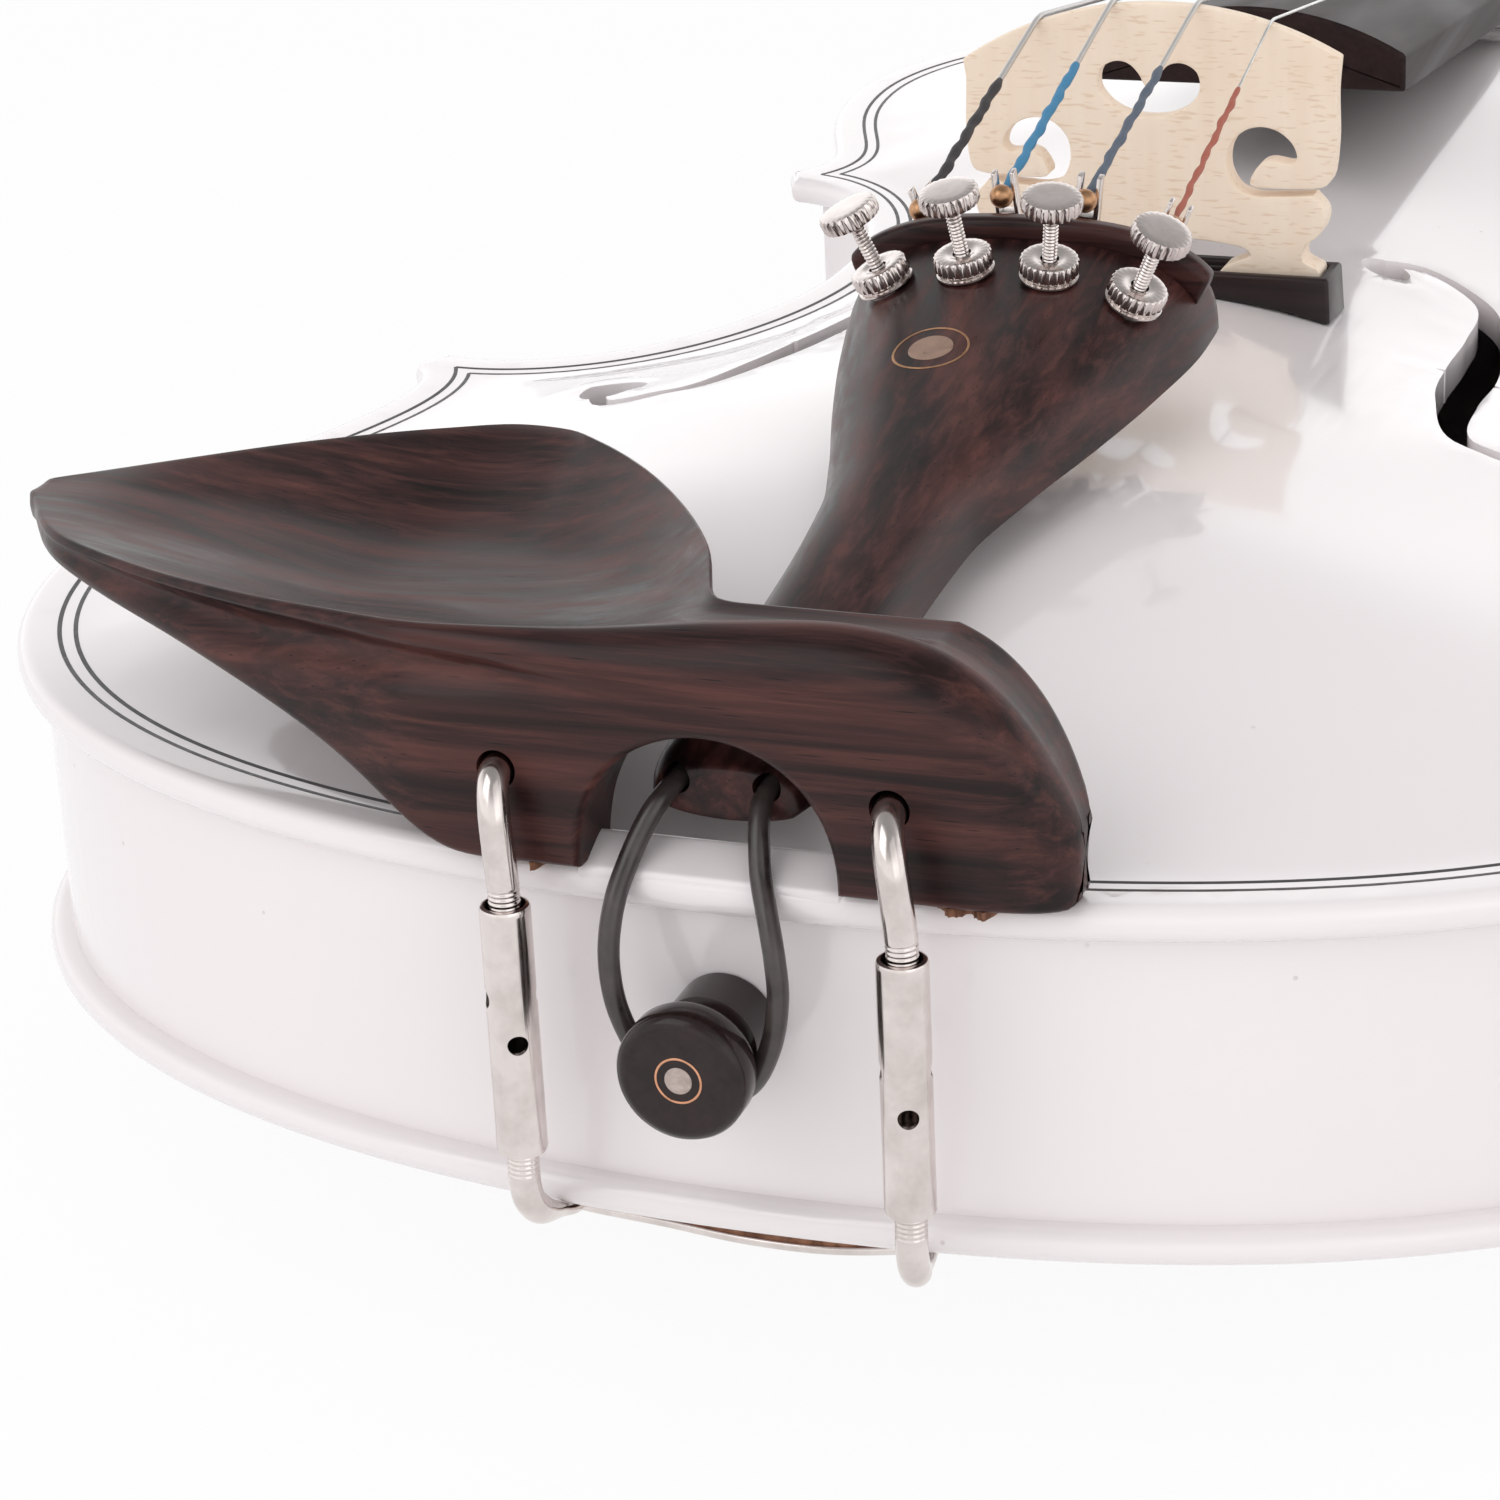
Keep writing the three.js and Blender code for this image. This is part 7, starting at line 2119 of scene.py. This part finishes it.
@dataclass(frozen=True)
class Studio:
    """Camera, white floor, white surroundings and soft lamps."""

    eye: tuple = (130.463, -323.719, 159.381)
    yaw: float = math.radians(-21.2446)
    pitch: float = math.radians(-22.7369)
    roll: float = math.radians(-2.8342)
    lens: float = 99.41
    sensor: float = 36.0
    floor_half: float = 3.0
    floor_show: float = 0.92
    curve_top: float = 1.5
    heights: tuple = ((0.0, 0.92), (0.5, 1.26), (0.68, 1.18), (0.84, 0.52), (1.0, 0.36))
    depths: tuple = ((0.0, 0.96), (0.5, 1.0), (1.0, 1.12))
    lamps: tuple = (
        Lamp("key", (-420, -620, 760), (0, 60, 0), (0.7, 0.7), 2.1),
        Lamp("fill", (620, -420, 420), (0, 60, 0), (0.6, 0.8), 0.6, (1.0, 0.985, 0.97)),
        Lamp("overhead", (60, -40, 1100), (0, 0, 0), (1.0, 1.0), 3.2, mirrored=False),
    )

    def camera(self) -> None:
        """The photographed view, from its fitted place and turn."""
        level = math.cos(self.pitch)
        ahead = Vector((math.sin(self.yaw) * level, math.cos(self.yaw) * level, math.sin(self.pitch)))
        right = ahead.cross(Vector((0, 0, 1))).normalized()
        up = right.cross(ahead)
        cos, sin = math.cos(self.roll), math.sin(self.roll)
        data = bpy.data.cameras.new("view")
        data.lens, data.sensor_width = self.lens, self.sensor
        data.clip_start, data.clip_end = 0.01, 20
        turn = Matrix((cos * right + sin * up, cos * up - sin * right, -ahead)).transposed().to_4x4()
        camera = linked("view", data)
        camera.matrix_world = Matrix.Translation(in_row(self.eye)) @ turn
        bpy.context.scene.camera = camera

    def floor(self) -> Object:
        """A white floor under the lowest point; only the object's shadow marks it."""
        low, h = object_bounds()[0].z, self.floor_half
        mesh = bpy.data.meshes.new("floor")
        mesh.from_pydata([(-h, -h, low), (h, -h, low), (h, h, low), (-h, h, low)], [], [(0, 1, 2, 3)])
        book = NodeBook("floor_white")
        tone = book.ramp(book.noise(book.place, 3, 2), 0.0, (0.93, 0.93, 0.93), 1.0, (0.95, 0.95, 0.95))
        book.fill(book.shader, {"Base Color": tone, "Roughness": 0.85})
        glow = book.add("Emission", {"Color": (1, 1, 1, 1), "Strength": 1.0})
        share = book.reckon("MULTIPLY", book.direct_ray(), self.floor_show)
        mix = book.add("MixShader", {0: share, 1: book.shader.outputs[0], 2: glow.outputs[0]})
        book.fill(book.output, {0: mix.outputs[0]})
        mesh.materials.append(book.material)
        return linked("floor", mesh)

    def world(self) -> None:
        """White to the camera; as light, brightest at the horizon behind and dim overhead."""
        world = bpy.data.worlds.new("surroundings")
        bpy.context.scene.world = world
        world.use_nodes = True
        book = Nodes(world.node_tree)
        split = book.add("SeparateXYZ", {0: book.add("TexCoord").outputs["Generated"]})
        shades = []
        for axis, stops in (("Z", self.heights), ("Y", self.depths)):
            place = book.add("MapRange", {0: split.outputs[axis], "From Min": -1})
            ramp = book.add("FloatCurve", {"Value": place.outputs[0]})
            points = ramp.mapping.curves[0].points
            for order, (along, level) in enumerate(stops):
                point = points[order] if order < 2 else points.new(along, level / self.curve_top)
                point.location = (along, level / self.curve_top)
            ramp.mapping.update()
            shades.append(ramp.outputs[0])
        strength = book.reckon("MULTIPLY", book.reckon("MULTIPLY", *shades), self.curve_top**2)
        white = (1, 1, 1, 1)
        light = book.add("Background", {"Color": white, "Strength": strength})
        seen = book.add("Background", {"Color": white, "Strength": 1.0})
        camera_ray = book.add("LightPath").outputs["Is Camera Ray"]
        mix = book.add("MixShader", {0: camera_ray, 1: light.outputs[0], 2: seen.outputs[0]})
        book.add("OutputWorld", {0: mix.outputs[0]})

    def lights(self) -> None:
        """Area lamps, each aimed at the tail end."""
        for lamp in self.lamps:
            data = bpy.data.lights.new(lamp.name, "AREA")
            data.shape = "RECTANGLE"
            data.size, data.size_y = lamp.size
            data.energy, data.color = lamp.power, lamp.colour
            place = in_row(lamp.place)
            turn = (in_row(lamp.aim) - place).to_track_quat("-Z", "Y").to_matrix().to_4x4()
            obj = linked(lamp.name, data)
            obj.matrix_world = Matrix.Translation(place) @ turn
            obj.visible_glossy = lamp.mirrored

    def build(self) -> None:
        """Sets the camera, then floor, surroundings and lamps."""
        self.camera()
        floor = self.floor()
        floor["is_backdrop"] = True
        self.world()
        self.lights()
        bpy.context.scene.view_settings.view_transform = "Standard"


def in_row(place: tuple) -> Vector:
    """A place in the drawing frame as one in the row frame, in metres."""
    return Vector(((np.array(place) + ORIGIN) * MM).tolist())


def main() -> None:
    """Builds the scene in order."""
    logging.basicConfig(level=logging.INFO, format="%(message)s")
    Studio().build()
    wardrobe = every_finish()
    board, bridge, tailpiece, chinrest = Board(), Bridge(), Tailpiece(), Chinrest()
    pegs, tuners = Pegs(board), FineTuners(tailpiece)
    Body(wardrobe).build()
    board.build(wardrobe)
    pegs.build(wardrobe)
    bridge.build(wardrobe)
    tailpiece.build(wardrobe, tuners.notches())
    tuners.build(wardrobe)
    Strings(tuners, bridge, board, pegs).build(wardrobe)
    TailFittings().build(wardrobe)
    chinrest.build(wardrobe)
    Clamp(chinrest).build(wardrobe)
    bpy.context.view_layer.update()


if __name__ == "__main__":
    main()
